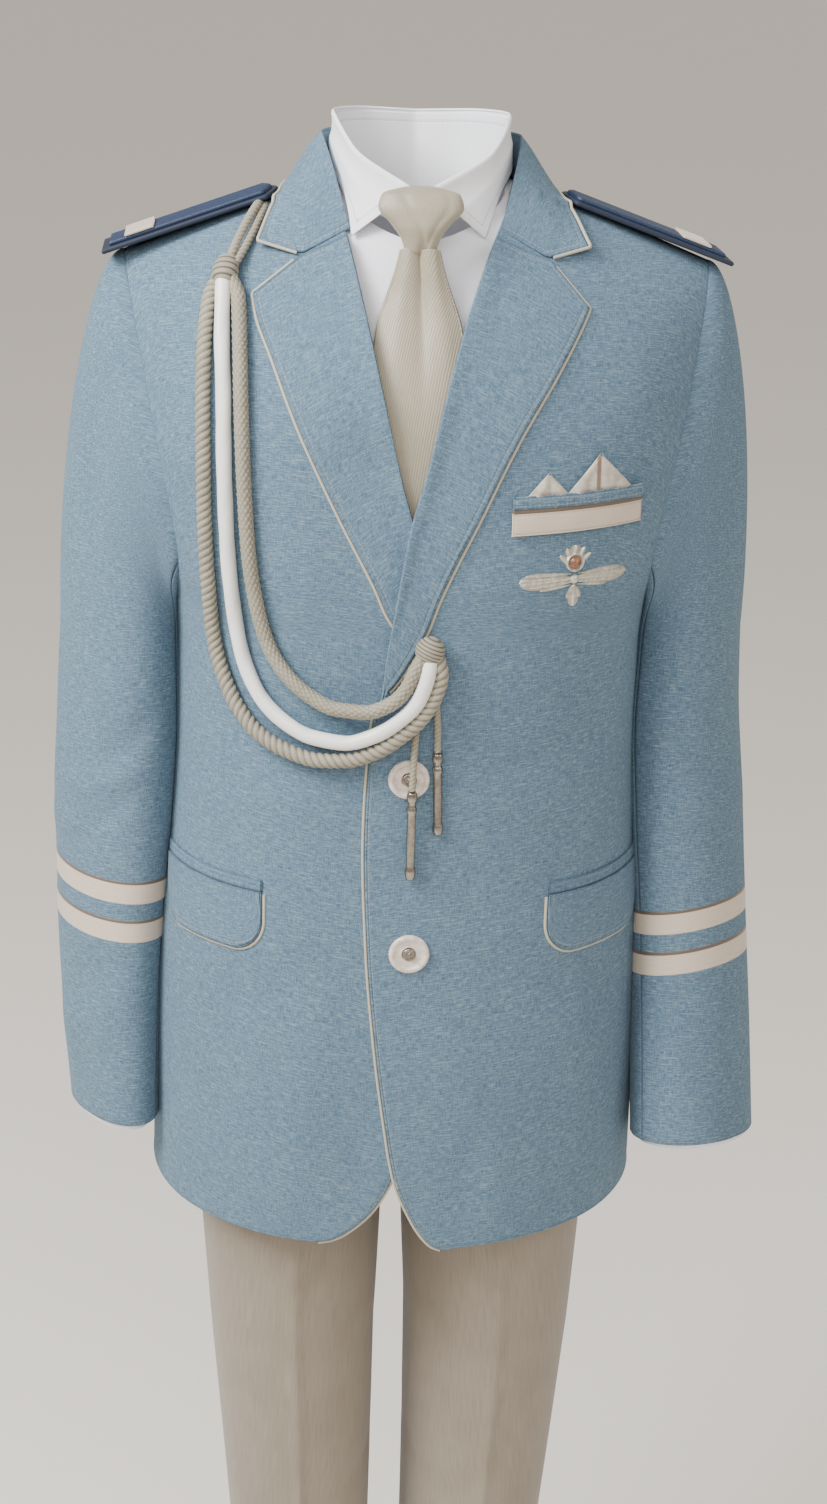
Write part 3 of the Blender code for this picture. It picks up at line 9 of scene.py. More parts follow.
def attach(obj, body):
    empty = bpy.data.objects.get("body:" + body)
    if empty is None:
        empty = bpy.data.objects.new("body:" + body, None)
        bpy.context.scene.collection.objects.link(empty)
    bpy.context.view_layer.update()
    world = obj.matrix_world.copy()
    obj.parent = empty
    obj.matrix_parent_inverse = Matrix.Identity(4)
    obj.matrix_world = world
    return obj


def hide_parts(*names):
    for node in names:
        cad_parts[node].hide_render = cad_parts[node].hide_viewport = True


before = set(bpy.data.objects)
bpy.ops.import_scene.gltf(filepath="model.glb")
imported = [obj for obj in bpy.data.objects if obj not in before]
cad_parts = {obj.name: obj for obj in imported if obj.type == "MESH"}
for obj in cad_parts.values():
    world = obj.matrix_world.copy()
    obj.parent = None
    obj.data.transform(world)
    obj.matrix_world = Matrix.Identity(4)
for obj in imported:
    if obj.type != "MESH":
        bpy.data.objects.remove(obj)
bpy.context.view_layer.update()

# Camera: it stands in front of the chest, a little to one side, and looks down at the uniform.
# The picture's height and the focal length in its pixels give the lens.
CAMERA_DISTANCE = 1.40
CAMERA_HEIGHT = 0.18
CAMERA_TURN = math.radians(-4.5)
CAMERA_ROLL = math.radians(1.9)
CAMERA_PITCH = math.radians(20.4)
PICTURE_HEIGHT = 1504.0
FOCAL_PIXELS = 2527.0
AIM_PIXELS = -11.0
SENSOR_HEIGHT = 36.0
CLIP_NEAR = 0.05
CLIP_FAR = 60.0


def set_camera():
    across = CAMERA_DISTANCE * math.sin(CAMERA_TURN)
    back = CAMERA_DISTANCE * math.cos(CAMERA_TURN)
    place = Vector((across, -back, CAMERA_HEIGHT))
    aim = math.atan(AIM_PIXELS / FOCAL_PIXELS) / math.cos(CAMERA_PITCH)
    head = math.atan2(-place.x, -place.y) - aim
    level = math.cos(CAMERA_PITCH)
    ahead = Vector((math.sin(head) * level, math.cos(head) * level, -math.sin(CAMERA_PITCH)))
    beside = Vector((math.cos(head), -math.sin(head), 0))
    above = beside.cross(ahead)
    right = beside * math.cos(CAMERA_ROLL) + above * math.sin(CAMERA_ROLL)
    top = above * math.cos(CAMERA_ROLL) - beside * math.sin(CAMERA_ROLL)
    data = bpy.data.cameras.new("camera")
    data.sensor_fit = "VERTICAL"
    data.sensor_height = SENSOR_HEIGHT
    data.lens = FOCAL_PIXELS / PICTURE_HEIGHT * SENSOR_HEIGHT
    data.clip_start = CLIP_NEAR
    data.clip_end = CLIP_FAR
    made = bpy.data.objects.new("camera", data)
    bpy.context.scene.collection.objects.link(made)
    turn = Matrix((right, top, -ahead)).transposed().to_4x4()
    made.matrix_world = Matrix.Translation(place) @ turn
    bpy.context.scene.camera = made


set_camera()


# Shared sizes: the jacket's body and sleeves follow the same tables and rules as the solids.
# Lengths are in metres; levels run down from the top of the shoulder.
NECK_HALF = 0.052
NECK_BACK = 0.063
SHOULDER_Z = -0.006
SHOULDER_SLOPE = 0.40
SHOULDER_ROUND = 0.130
SECTION_POWER = 2.3
SEAM_GAP = 0.0003
LAY_GAP = 0.0006
UNDERLAP = 0.0022
JACKET_WALL = 0.0015
SHIRT_WALL = 0.0010
# Jacket body: level, half width, front depth, back depth
TORSO = (
    (0.030, 0.176, 0.058, 0.080),
    (-0.050, 0.172, 0.084, 0.098),
    (-0.100, 0.163, 0.099, 0.106),
    (-0.140, 0.157, 0.107, 0.107),
    (-0.180, 0.149, 0.112, 0.105),
    (-0.210, 0.1415, 0.114, 0.102),
    (-0.235, 0.1345, 0.114, 0.098),
    (-0.260, 0.1320, 0.114, 0.094),
    (-0.310, 0.1325, 0.113, 0.091),
    (-0.370, 0.1365, 0.113, 0.092),
    (-0.435, 0.1425, 0.115, 0.102),
    (-0.505, 0.1450, 0.118, 0.111),
    (-0.570, 0.1455, 0.120, 0.114),
    (-0.640, 0.1460, 0.121, 0.115),
)
# Armhole: level, distance from the middle
ARMHOLE = (
    (-0.049, 0.1605),
    (-0.100, 0.150),
    (-0.140, 0.142),
    (-0.180, 0.1345),
    (-0.210, 0.1305),
    (-0.225, 0.1310),
    (-0.235, 0.1345),
)
ARMHOLE_MIDDLE = -0.142
ARMHOLE_HALF = 0.093
UNDERARM = ARMHOLE_MIDDLE - ARMHOLE_HALF
# Front edge and roll line of each front: level, distance from the middle towards its own side
EDGE_LEFT = (
    (-0.606, 0.022),
    (-0.603, 0.016),
    (-0.583, 0.003),
    (-0.560, -0.006),
    (-0.521, -0.013),
    (-0.478, -0.019),
    (-0.417, -0.025),
    (-0.350, -0.028),
    (-0.290, -0.026),
    (-0.265, -0.021),
    (-0.245, -0.019),
    (-0.217, -0.015),
    (-0.190, -0.011),
    (-0.169, -0.007),
    (-0.148, -0.001),
    (-0.107, 0.009),
    (-0.073, 0.019),
    (-0.045, 0.030),
    (-0.025, 0.040),
    (-0.006, 0.052),
)
EDGE_RIGHT = (
    (-0.603, 0.050),
    (-0.601, 0.042),
    (-0.594, 0.031),
    (-0.580, 0.018),
    (-0.563, 0.009),
    (-0.540, 0.001),
    (-0.505, -0.008),
    (-0.460, -0.015),
    (-0.400, -0.019),
    (-0.340, -0.020),
    (-0.290, -0.019),
    (-0.262, -0.015),
    (-0.235, -0.008),
    (-0.205, -0.001),
    (-0.170, 0.007),
    (-0.153, 0.012),
    (-0.107, 0.023),
    (-0.060, 0.034),
    (-0.030, 0.042),
    (-0.006, 0.052),
)
HEM_SIDE = -0.600
# Steps for directions on the body, and the strip in the middle where it faces straight out
TURN_STEP = 2e-3
LEVEL_STEP = 2e-5
MIDDLE_STRIP = 5e-4
# Where the right front lies under the left one: start and reach across, levels of the lapels' ends
LAP_ACROSS = (0.080, 0.052)
LAP_LOWER = (0.300, 0.020)
LAP_UPPER = (0.100, 0.050)


def value(rows, at, column=1):
    """Smooth value of one column of a table at a value of its first column."""
    table = np.array(rows, float)
    table = table[np.argsort(table[:, 0])]
    x = table[:, 0]
    y = table[:, column]
    step = np.diff(x)
    slope = np.diff(y) / step
    both = slope[:-1] * slope[1:]
    mean = np.where(both > 0, 2 * both / np.where(both > 0, slope[:-1] + slope[1:], 1), 0)
    tangent = np.concatenate([slope[:1], mean, slope[-1:]])
    at = np.clip(at, x[0], x[-1])
    k = np.clip(np.searchsorted(x, at) - 1, 0, len(step) - 1)
    s = (at - x[k]) / step[k]
    start = (2 * s**3 - 3 * s**2 + 1) * y[k] + (s**3 - 2 * s**2 + s) * step[k] * tangent[k]
    return start + (3 * s**2 - 2 * s**3) * y[k + 1] + (s**3 - s**2) * step[k] * tangent[k + 1]


def unit(vectors):
    return vectors / np.maximum(np.linalg.norm(vectors, axis=-1, keepdims=True), 1e-12)


def ease_in(t):
    t = np.clip(t, 0, 1)
    return t * t * (3 - 2 * t)


def ridge(x):
    return SHOULDER_Z - (np.abs(x) - NECK_HALF) * SHOULDER_SLOPE


def side_turn(x, z):
    """Turn round the body, 0 at the middle and a quarter at the side."""
    share = np.clip(np.abs(x) / value(TORSO, z), 0, 1)
    return np.arcsin(share ** (SECTION_POWER / 2))


def body_at(turn, z, back):
    power = 2 / SECTION_POWER
    x = value(TORSO, z) * np.sin(turn) ** power
    t = np.clip((ridge(x) - z) / SHOULDER_ROUND, 1e-7, 1)
    depth = value(TORSO, z, 3 if back else 2) * np.sqrt(1 - (1 - t) ** 2)
    y = depth * np.maximum(np.cos(turn), 0) ** power
    return np.stack([x, y if back else -y, z], axis=-1)


def on_body(x, z, height=0.0, back=False):
    """Points at a height above the jacket's outer face, with the face's directions out."""
    x = np.asarray(x, float)
    z = np.asarray(z, float) + 0 * x
    x = x + 0 * z
    sign = np.where(x < 0, -1.0, 1.0)
    z = np.minimum(z, ridge(x) - 1e-7)
    turn = side_turn(x, z)
    lower = np.clip(turn - TURN_STEP, 0, math.pi / 2)
    upper = np.clip(turn + TURN_STEP, 0, math.pi / 2)
    point = body_at(turn, z, back)
    across = body_at(upper, z, back) - body_at(lower, z, back)
    down = body_at(side_turn(x, z - LEVEL_STEP), z - LEVEL_STEP, back) - point
    out = unit(np.cross(across, down) if back else np.cross(down, across))
    out[..., 0] = np.where(np.abs(x) < MIDDLE_STRIP, 0, out[..., 0])
    out = unit(out)
    edge = SEAM_GAP / 2
    point[..., 1] = np.maximum(point[..., 1], edge) if back else np.minimum(point[..., 1], -edge)
    side = np.stack([sign, np.ones_like(sign), np.ones_like(sign)], axis=-1)
    height = np.asarray(height, float)[..., None] if np.ndim(height) else height
    return point * side + out * side * height, out * side


def overlap_inset(x, z):
    """How far the right front lies under the left one."""
    share = ease_in((x + LAP_ACROSS[0]) / LAP_ACROSS[1])
    lower = ease_in((-LAP_UPPER[0] - z) / LAP_UPPER[1])
    lapel = ease_in((z + LAP_LOWER[0]) / LAP_LOWER[1]) * lower
    return share * (UNDERLAP * lower + UNDERLAP * lapel)


# Shared tools for the shapes: sheets of cloth with creases and rolled edges, cords and turned pieces.
# Each piece carries its own cloth coordinates, so a weave follows the cut and not the body.
MERGE = 1e-6
MERGE_TURNED = 1e-7


def sheet_normals(points, closed=False):
    """Directions out of a sheet, from its own points."""
    if closed:
        ring = points[:, :-1]
        across = np.roll(ring, -1, axis=1) - np.roll(ring, 1, axis=1)
        across = np.concatenate([across, across[:, :1]], axis=1)
    else:
        across = np.gradient(points, axis=1)
    return unit(np.cross(across, np.gradient(points, axis=0)))


def spaced(count, margin):
    """Shares from 0 to 1, closer together near both ends, where an edge rolls over."""
    ends = margin * np.array([0.0, 0.12, 0.35, 0.65])
    return np.concatenate([ends, np.linspace(margin, 1 - margin, count), (1 - ends)[::-1]])


def run_lengths(points, axis):
    step = np.linalg.norm(np.diff(points, axis=axis), axis=-1)
    total = np.cumsum(step, axis=axis)
    first = np.zeros_like(total[:1]) if axis == 0 else np.zeros_like(total[:, :1])
    return np.concatenate([first, total], axis=axis)


def creases(a, b, rows):
    """Height of soft ridges (+) and troughs (-): start, end, half width and height of each."""
    total = 0 * a
    for a0, b0, a1, b1, half, height in rows:
        da, db = a1 - a0, b1 - b0
        share = ((a - a0) * da + (b - b0) * db) / (da * da + db * db)
        held = np.clip(share, 0, 1)
        away = np.hypot(a - a0 - held * da, b - b0 - held * db)
        fade = np.sin(np.pi * np.clip(0.06 + 0.88 * held, 0, 1)) ** 0.8
        total = total + height * fade * np.exp(-((away / half) ** 2))
    return total


def rolled(distance, radius):
    """How far a cloth's edge falls back within its rounding."""
    near = np.clip(1 - distance / radius, 0, 1)
    return radius * (1 - np.sqrt(1 - near**2))


def numbers(mesh, name, values):
    layer = mesh.attributes.new(name, "FLOAT", "POINT")
    layer.data.foreach_set("value", np.asarray(values, np.float32).ravel())


def grid_piece(name, points, look, weave=None, rim=None, run=None, closed=False, edge=None):
    """Piece whose grid corners are the points; weave holds its cloth coordinates in metres."""
    rows, columns = points.shape[:2]
    bm = bmesh.new()
    bmesh.ops.create_grid(bm, x_segments=columns - 1, y_segments=rows - 1, size=1)
    mesh = bpy.data.meshes.new(name)
    bm.to_mesh(mesh)
    bm.free()
    flat = np.empty(len(mesh.vertices) * 3)
    mesh.vertices.foreach_get("co", flat)
    flat = flat.reshape(-1, 3)
    i = np.rint((flat[:, 1] + 1) / 2 * (rows - 1)).astype(int)
    j = np.rint((flat[:, 0] + 1) / 2 * (columns - 1)).astype(int)
    mesh.vertices.foreach_set("co", points[i, j].ravel())
    if weave is None:
        weave = np.stack([run_lengths(points, 1), run_lengths(points, 0)], axis=-1)
    corners = np.empty(len(mesh.loops), np.int32)
    mesh.loops.foreach_get("vertex_index", corners)
    layer = mesh.uv_layers.new(name="weave")
    layer.data.foreach_set("uv", weave[i, j][corners].ravel())
    numbers(mesh, "rim", (np.full((rows, columns), 1.0) if rim is None else rim)[i, j])
    numbers(mesh, "run", (weave[..., 1] if run is None else run)[i, j])
    numbers(mesh, "seam", (np.full((rows, columns), 1.0) if edge is None else edge)[i, j])
    if closed:
        bm = bmesh.new()
        bm.from_mesh(mesh)
        bmesh.ops.remove_doubles(bm, verts=bm.verts, dist=MERGE)
        bm.to_mesh(mesh)
        bm.free()
    return finish_piece(name, mesh, look)


def finish_piece(name, mesh, look, smooth=True):
    mesh.polygons.foreach_set("use_smooth", np.full(len(mesh.polygons), smooth))
    mesh.materials.append(look)
    made = bpy.data.objects.new(name, mesh)
    bpy.context.scene.collection.objects.link(made)
    return made


def dress(made, node):
    """Hides the solid that a piece stands in for, if it names one."""
    if node:
        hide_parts(node)
    return made


def cloth_sheet(
    name, points, look, thick, edges, slot_name, node=True, anchor=0, closed=False, radius=0.0009,
    flip=False, seams=None
):
    """Cloth panel: rolls its finished edges, gives it thickness inwards and carries its cloth coordinates
    along the cut.
    """
    across = run_lengths(points, 1)
    along = run_lengths(points, 0)
    width = across[:, -1:] + 0 * across
    length = along[-1:] + 0 * along
    choices = {"l": across, "r": width - across, "b": along, "t": length - along}

    def nearest_of(sides):
        return np.min(np.stack([choices[edge] for edge in sides]), axis=0) if sides else 0 * across + 1.0

    distance = nearest_of(edges)
    if seams is None:
        seams = "" if closed else "".join(edge for edge in "lrbt" if edge not in edges)
    side = np.minimum(across, width - across) < np.minimum(along, length - along)
    run = np.where(side, along, across)
    out = sheet_normals(points, closed) * (-1 if flip else 1)
    shaped = points - out * rolled(distance, radius)[..., None]
    weave = np.stack([across - across[:, [anchor]], along], axis=-1)
    made = grid_piece(f"look_{name}", shaped, look, weave, distance, run, closed, nearest_of(seams))
    if flip:
        made.data.flip_normals()
    solid = made.modifiers.new("thickness", "SOLIDIFY")
    solid.thickness = thick
    solid.offset = -1
    solid.use_even_offset = False
    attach(made, "root")
    return dress(made, name if node else None)


def plain_piece(name, bm, look):
    bmesh.ops.recalc_face_normals(bm, faces=bm.faces)
    mesh = bpy.data.meshes.new(name)
    bm.to_mesh(mesh)
    bm.free()
    made = finish_piece(name, mesh, look)
    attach(made, "root")
    return made


def turned_piece(name, profile, start, axis, steps, look):
    """Turned form that stands on its start along its axis: profile rows are (along, radius)."""
    bm = bmesh.new()
    verts = [bm.verts.new((radius, 0, along)) for along, radius in profile]
    edges = [bm.edges.new(pair) for pair in zip(verts, verts[1:])]
    bmesh.ops.spin(
        bm, geom=verts + edges, cent=(0, 0, 0), axis=(0, 0, 1), angle=2 * math.pi, steps=steps, use_merge=True
    )
    turn = Vector(axis).to_track_quat("Z", "Y").to_matrix().to_4x4()
    bmesh.ops.transform(bm, matrix=Matrix.Translation(Vector(start)) @ turn, verts=bm.verts)
    bmesh.ops.remove_doubles(bm, verts=bm.verts, dist=MERGE_TURNED)
    return plain_piece(name, bm, look)


def resampled(points, spacing):
    run = run_lengths(points[None], 1)[0]
    at = np.linspace(0, run[-1], max(3, round(run[-1] / spacing) + 1))
    return np.stack([value(np.column_stack([run, points[:, k]]), at) for k in range(3)], axis=-1)


def round_tube(name, points, radius, look, sides=4):
    """Round cord along points, as a bevelled line."""
    data = bpy.data.curves.new(name, "CURVE")
    data.dimensions = "3D"
    data.bevel_depth = radius
    data.bevel_resolution = sides
    data.use_fill_caps = True
    spline = data.splines.new("POLY")
    spline.points.add(len(points) - 1)
    spline.points.foreach_set("co", np.column_stack([points, np.ones(len(points))]).ravel())
    spline.use_smooth = True
    data.materials.append(look)
    made = bpy.data.objects.new(name, data)
    bpy.context.scene.collection.objects.link(made)
    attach(made, "root")
    return made


def tube_grid(points, radius, sides, relief):
    """Ring by ring points of a tube with relief(run, angle) as a share of its radius."""
    run = run_lengths(points[None], 1)[0]
    ahead = unit(np.gradient(points, axis=0))
    side = np.zeros_like(points)
    side[0] = unit(np.cross(ahead[0], (0.3, 0.1, 1.0)))
    for k in range(1, len(points)):
        side[k] = side[k - 1] - ahead[k] * np.dot(side[k - 1], ahead[k])
        side[k] /= np.linalg.norm(side[k])
    other = np.cross(ahead, side)
    angle = np.linspace(0, 2 * math.pi, sides + 1)
    size = radius * relief(run[:, None], angle[None, :])
    ring = side[:, None] * np.cos(angle)[None, :, None] + other[:, None] * np.sin(angle)[None, :, None]
    grid = points[:, None] + ring * size[..., None]
    weave = np.stack([angle[None, :] * radius + 0 * run[:, None], run[:, None] + 0 * angle[None, :]], axis=-1)
    return grid, weave


def solid_grid(name, points, look, weave=None, rim=None):
    """Closed ring of points whose two ends are filled."""
    made = grid_piece(name, points, look, weave, rim, closed=True)
    bm = bmesh.new()
    bm.from_mesh(made.data)
    bmesh.ops.holes_fill(bm, edges=bm.edges, sides=0)
    bmesh.ops.recalc_face_normals(bm, faces=bm.faces)
    bm.to_mesh(made.data)
    bm.free()
    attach(made, "root")
    return made


def rope(name, points, radius, sides, relief, look):
    grid, weave = tube_grid(points, radius, sides, relief)
    # The relief's depth also sets the yarn's painted shade in the grooves.
    depth = np.linalg.norm(grid - points[:, None], axis=-1) / radius
    return solid_grid(name, grid, look, weave, depth)


# Shared tools for the looks: every material is made from noise and waves in the cloth's own coordinates.
# Weaves, slubs, sewn lines and the shade in a seam are all at their real size.
class Look:
    def __init__(self, name, roughness=0.8):
        self.material = bpy.data.materials.new(name)
        self.material.use_nodes = True
        self.tree = self.material.node_tree
        self.shader = self.tree.nodes["Principled BSDF"]
        self.shader.inputs["Roughness"].default_value = roughness

    def add(self, kind, inputs=None, **settings):
        made = self.tree.nodes.new(kind)
        for key, setting in settings.items():
            setattr(made, key, setting)
        for key, held in (inputs or {}).items():
            self.put(made.inputs[key], held)
        return made

    def put(self, socket, held):
        if isinstance(held, bpy.types.NodeSocket):
            self.tree.links.new(held, socket)
        else:
            socket.default_value = held

    def math(self, operation, a, b=0.5, c=0.5, clamp=False):
        made = self.add("ShaderNodeMath", {0: a, 1: b, 2: c}, operation=operation, use_clamp=clamp)
        return made.outputs[0]

    def place(self, scale, turn=0.0):
        """Cloth coordinates in metres, scaled; turn is in degrees."""
        uv = self.add("ShaderNodeUVMap", uv_map="weave").outputs[0]
        setting = {"Vector": uv, "Scale": (*scale, 1), "Rotation": (0, 0, math.radians(turn))}
        return self.add("ShaderNodeMapping", setting).outputs[0]

    def spot(self, scale):
        """Object coordinates, scaled."""
        where = self.add("ShaderNodeTexCoord").outputs["Object"]
        return self.add("ShaderNodeMapping", {"Vector": where, "Scale": scale}).outputs[0]

    def noise(self, vector, detail=2.0, rough=0.5):
        setting = {"Vector": vector, "Scale": 1.0, "Detail": detail, "Roughness": rough}
        return self.add("ShaderNodeTexNoise", setting).outputs[0]

    def span(self, held, low, high, new_low=0.0, new_high=1.0):
        made = self.add(
            "ShaderNodeMapRange",
            {"Value": held, "From Min": low, "From Max": high, "To Min": new_low, "To Max": new_high},
            interpolation_type="SMOOTHSTEP",
        )
        return made.outputs[0]

    def mix(self, share, a, b, blend="MIX"):
        made = self.add("ShaderNodeMix", data_type="RGBA", blend_type=blend)
        self.put(made.inputs[0], share)
        self.put(made.inputs[6], (*a, 1) if isinstance(a, tuple) else a)
        self.put(made.inputs[7], (*b, 1) if isinstance(b, tuple) else b)
        return made.outputs[2]

    def number(self, name):
        return self.add("ShaderNodeAttribute", attribute_name=name).outputs["Fac"]

    def weave(self, period, turn=0.0):
        """Height of a plain weave: crossed rows of rounded threads."""
        thread = 2 * math.pi / period
        at = self.add("ShaderNodeSeparateXYZ", {0: self.place((thread, thread), turn)})
        a = self.math("SINE", at.outputs[0])
        b = self.math("SINE", at.outputs[1])
        return self.math("MULTIPLY", a, b)

    def apart(self, held, middle):
        """Distance of a number from a middle value."""
        return self.math("ABSOLUTE", self.math("SUBTRACT", held, middle))

    def stitches(self, offset, length=0.0026, width=0.00032):
        """Mask of a row of stitches at an offset from the finished edge."""
        line = self.span(self.apart(self.number("rim"), offset), width, width * 1.6, 1.0, 0.0)
        wave = self.math("PINGPONG", self.math("MULTIPLY", self.number("run"), 1 / length), 0.5)
        return self.math("MULTIPLY", line, self.span(wave, 0.06, 0.14))

    def bump(self, height, strength, distance):
        """Adds a layer of bump; later layers build on earlier ones."""
        made = self.add("ShaderNodeBump", {"Height": height, "Strength": strength, "Distance": distance})
        if self.shader.inputs["Normal"].is_linked:
            self.put(made.inputs["Normal"], self.shader.inputs["Normal"].links[0].from_socket)
        self.put(self.shader.inputs["Normal"], made.outputs[0])

    def colour(self, held):
        self.put(self.shader.inputs["Base Color"], (*held, 1) if isinstance(held, tuple) else held)

    def sheen(self, weight, roughness=0.4, tint=(1, 1, 1)):
        self.shader.inputs["Sheen Weight"].default_value = weight
        self.shader.inputs["Sheen Roughness"].default_value = roughness
        self.shader.inputs["Sheen Tint"].default_value = (*tint, 1)


def slub_cloth(name, base, light, dark, stitch=None, thread=(0.30, 0.33, 0.36), slub=1.0):
    """Chambray-like cloth: pale and dark threads cross, with short uneven thick places along the weft."""
    look = Look(name, 0.88)
    weft = look.noise(look.place((240, 1900)), 2.0, 0.55)
    warp = look.noise(look.place((1900, 200)), 2.0, 0.55)
    coarse = look.noise(look.place((75, 980)), 3.0, 0.6)
    fleck = look.noise(look.place((420, 900)), 2.0, 0.5)
    cloud = look.noise(look.place((16, 20)), 3.0, 0.55)
    body = look.mix(look.span(warp, 0.30, 0.72), dark, base)
    body = look.mix(look.math("MULTIPLY", look.span(weft, 0.44, 0.76), 0.62 * slub), body, light)
    body = look.mix(look.math("MULTIPLY", look.span(coarse, 0.50, 0.72), 0.42 * slub), body, light)
    body = look.mix(look.math("MULTIPLY", look.span(fleck, 0.56, 0.76), 0.16), body, light)
    body = look.mix(look.math("MULTIPLY", look.span(weft, 0.48, 0.22), 0.36), body, dark)
    body = look.mix(look.span(cloud, 0.30, 0.75, 0.0, 0.14), body, dark)
    weave = look.weave(0.00085)
    body = look.mix(look.span(weave, -1, 1, 0.0, 0.16), body, dark)
    # Painted shade in each seam: the cloth darkens within a millimetre of a sewn joint, where shade falls.
    edge = look.span(look.number("seam"), 0.0001, 0.0010, 0.42, 0.0)
    body = look.mix(edge, body, tuple(0.55 * tone for tone in dark))
    if stitch:
        away = look.apart(look.number("rim"), stitch)
        groove = look.span(away, 0.0, 0.0014, -1.0, 0.0)
        sewn = look.stitches(stitch)
        # Painted shade in the groove along the sewn line: the cloth darkens beside the stitches.
        body = look.mix(look.span(away, 0.0, 0.0011, 0.30, 0.0), body, dark)
        body = look.mix(look.math("MULTIPLY", sewn, 0.40), body, thread)
        look.bump(groove, 0.40, 0.0007)
        look.bump(sewn, 0.5, 0.0003)
    look.bump(look.math("ADD", weft, look.math("MULTIPLY", coarse, 0.7)), 0.34, 0.0006)
    look.bump(weave, 0.25, 0.00022)
    look.bump(cloud, 0.16, 0.004)
    look.colour(body)
    look.sheen(0.22, 0.5, light)
    return look.material


def plain_cloth(
    name, base, shade, period=0.0007, roughness=0.75, stitch=None, thread=None, streak=0.25, sheen=0.15,
    lay=(60, 1100)
):
    """Smooth plain-woven cloth with a faint streak and an optional sewn line."""
    look = Look(name, roughness)
    streaks = look.noise(look.place(lay), 2.0, 0.5)
    cloud = look.noise(look.place((22, 22)), 3.0, 0.6)
    weave = look.weave(period)
    body = look.mix(look.span(streaks, 0.3, 0.7, 0.0, streak), base, shade)
    body = look.mix(look.span(cloud, 0.35, 0.75, 0.0, 0.30), body, shade)
    body = look.mix(look.span(weave, -1, 1, 0.0, 0.10), body, shade)
    if stitch:
        sewn = look.stitches(stitch)
        body = look.mix(look.math("MULTIPLY", sewn, 0.6), body, thread or shade)
        groove = look.span(look.apart(look.number("rim"), stitch), 0.0, 0.0012, -1.0, 0.0)
        look.bump(groove, 0.4, 0.0005)
        look.bump(sewn, 0.5, 0.0003)
    look.bump(streaks, 0.1, 0.0004)
    look.bump(weave, 0.2, 0.0002)
    look.bump(cloud, 0.10, 0.003)
    look.colour(body)
    look.sheen(sheen, 0.4)
    return look.material


def metal(name, roughness, grain, dark, light, low, strength, distance):
    """Cast metal with a cloudy tone over a fine grain; gives the look and its tone."""
    look = Look(name, roughness)
    cloud = look.noise(look.spot(grain), 3.0, 0.6)
    tone = look.mix(look.span(cloud, low, 0.7), dark, light)
    look.colour(tone)
    look.shader.inputs["Metallic"].default_value = 1.0
    look.bump(cloud, strength, distance)
    return look, tone


# Jacket fronts: two panels cut with a curved front edge, lapped left over right.
# Soft drag lines run from the button and under the arm, and the cloth hollows a little at the waist.
BLUE_BASE = (0.116, 0.191, 0.252)
BLUE_LIGHT = (0.280, 0.380, 0.430)
BLUE_DARK = (0.045, 0.090, 0.148)
JACKET_CLOTH = slub_cloth("jacket_cloth", BLUE_BASE, BLUE_LIGHT, BLUE_DARK, stitch=0.0018)
CREASE_DEPTH = 1.25
# The chest lies smooth under the pocket and the badge: middle and half width across, lower and upper level
SMOOTH_ACROSS = (0.081, 0.045)
SMOOTH_LEVELS = (-0.215, -0.125)
SMOOTH_EDGE = 0.02
# Creases: start x, start level, end x, end level, half width, height
FRONT_LEFT_CREASES = (
    (0.010, -0.318, 0.118, -0.292, 0.0075, -0.0009),
    (0.012, -0.325, 0.120, -0.345, 0.0090, 0.0008),
    (0.020, -0.420, 0.128, -0.470, 0.0120, -0.0008),
    (0.010, -0.440, 0.060, -0.590, 0.0130, 0.0012),
    (0.118, -0.255, 0.100, -0.380, 0.0100, 0.0011),
    (0.128, -0.120, 0.120, -0.225, 0.0085, -0.0013),
    (0.112, -0.085, 0.126, -0.165, 0.0100, 0.0010),
    (0.095, -0.440, 0.112, -0.590, 0.0140, 0.0014),
    (0.055, -0.070, 0.105, -0.135, 0.0120, -0.0006),
    (0.125, -0.300, 0.060, -0.268, 0.0070, -0.0006),
    (0.040, -0.500, 0.036, -0.598, 0.0110, -0.0010),
)
FRONT_RIGHT_CREASES = (
    (-0.030, -0.322, -0.118, -0.285, 0.0075, -0.0010),
    (-0.030, -0.332, -0.122, -0.338, 0.0090, 0.0008),
    (-0.040, -0.420, -0.126, -0.478, 0.0120, -0.0008),
    (-0.122, -0.250, -0.108, -0.370, 0.0100, 0.0013),
    (-0.130, -0.110, -0.121, -0.222, 0.0085, -0.0014),
    (-0.115, -0.075, -0.128, -0.160, 0.0100, 0.0011),
    (-0.050, -0.450, -0.070, -0.592, 0.0140, 0.0012),
    (-0.100, -0.430, -0.116, -0.590, 0.0130, -0.0012),
    (-0.020, -0.480, -0.030, -0.585, 0.0110, -0.0008),
    (-0.060, -0.060, -0.104, -0.125, 0.0120, -0.0006),
)
EPSILON = 1e-9


def body_rows(bottom, top, low_rows, high_rows):
    share = spaced(low_rows, 0.012)[: low_rows + 3]
    share = share / share[-1]
    low_middle = bottom + share * (UNDERARM - bottom)
    low_side = HEM_SIDE + share * (UNDERARM - HEM_SIDE)
    turns = np.linspace(math.pi, 0, high_rows + 1)[1:]
    turns = np.concatenate([turns[:-1], [turns[-2] * 0.25, turns[-2] * 0.06, 0.0]])
    high_side = ARMHOLE_MIDDLE + ARMHOLE_HALF * np.cos(turns)
    part = (high_side - UNDERARM) / (high_side[-1] - UNDERARM)
    middle = np.concatenate([low_middle, UNDERARM + part * (top - UNDERARM)])
    return middle, np.concatenate([low_side, high_side])


def side_reach(level):
    """How far a panel runs to the side: to the side seam, or above it to the armhole."""
    return np.where(level <= UNDERARM + EPSILON, value(TORSO, level), value(ARMHOLE, level))


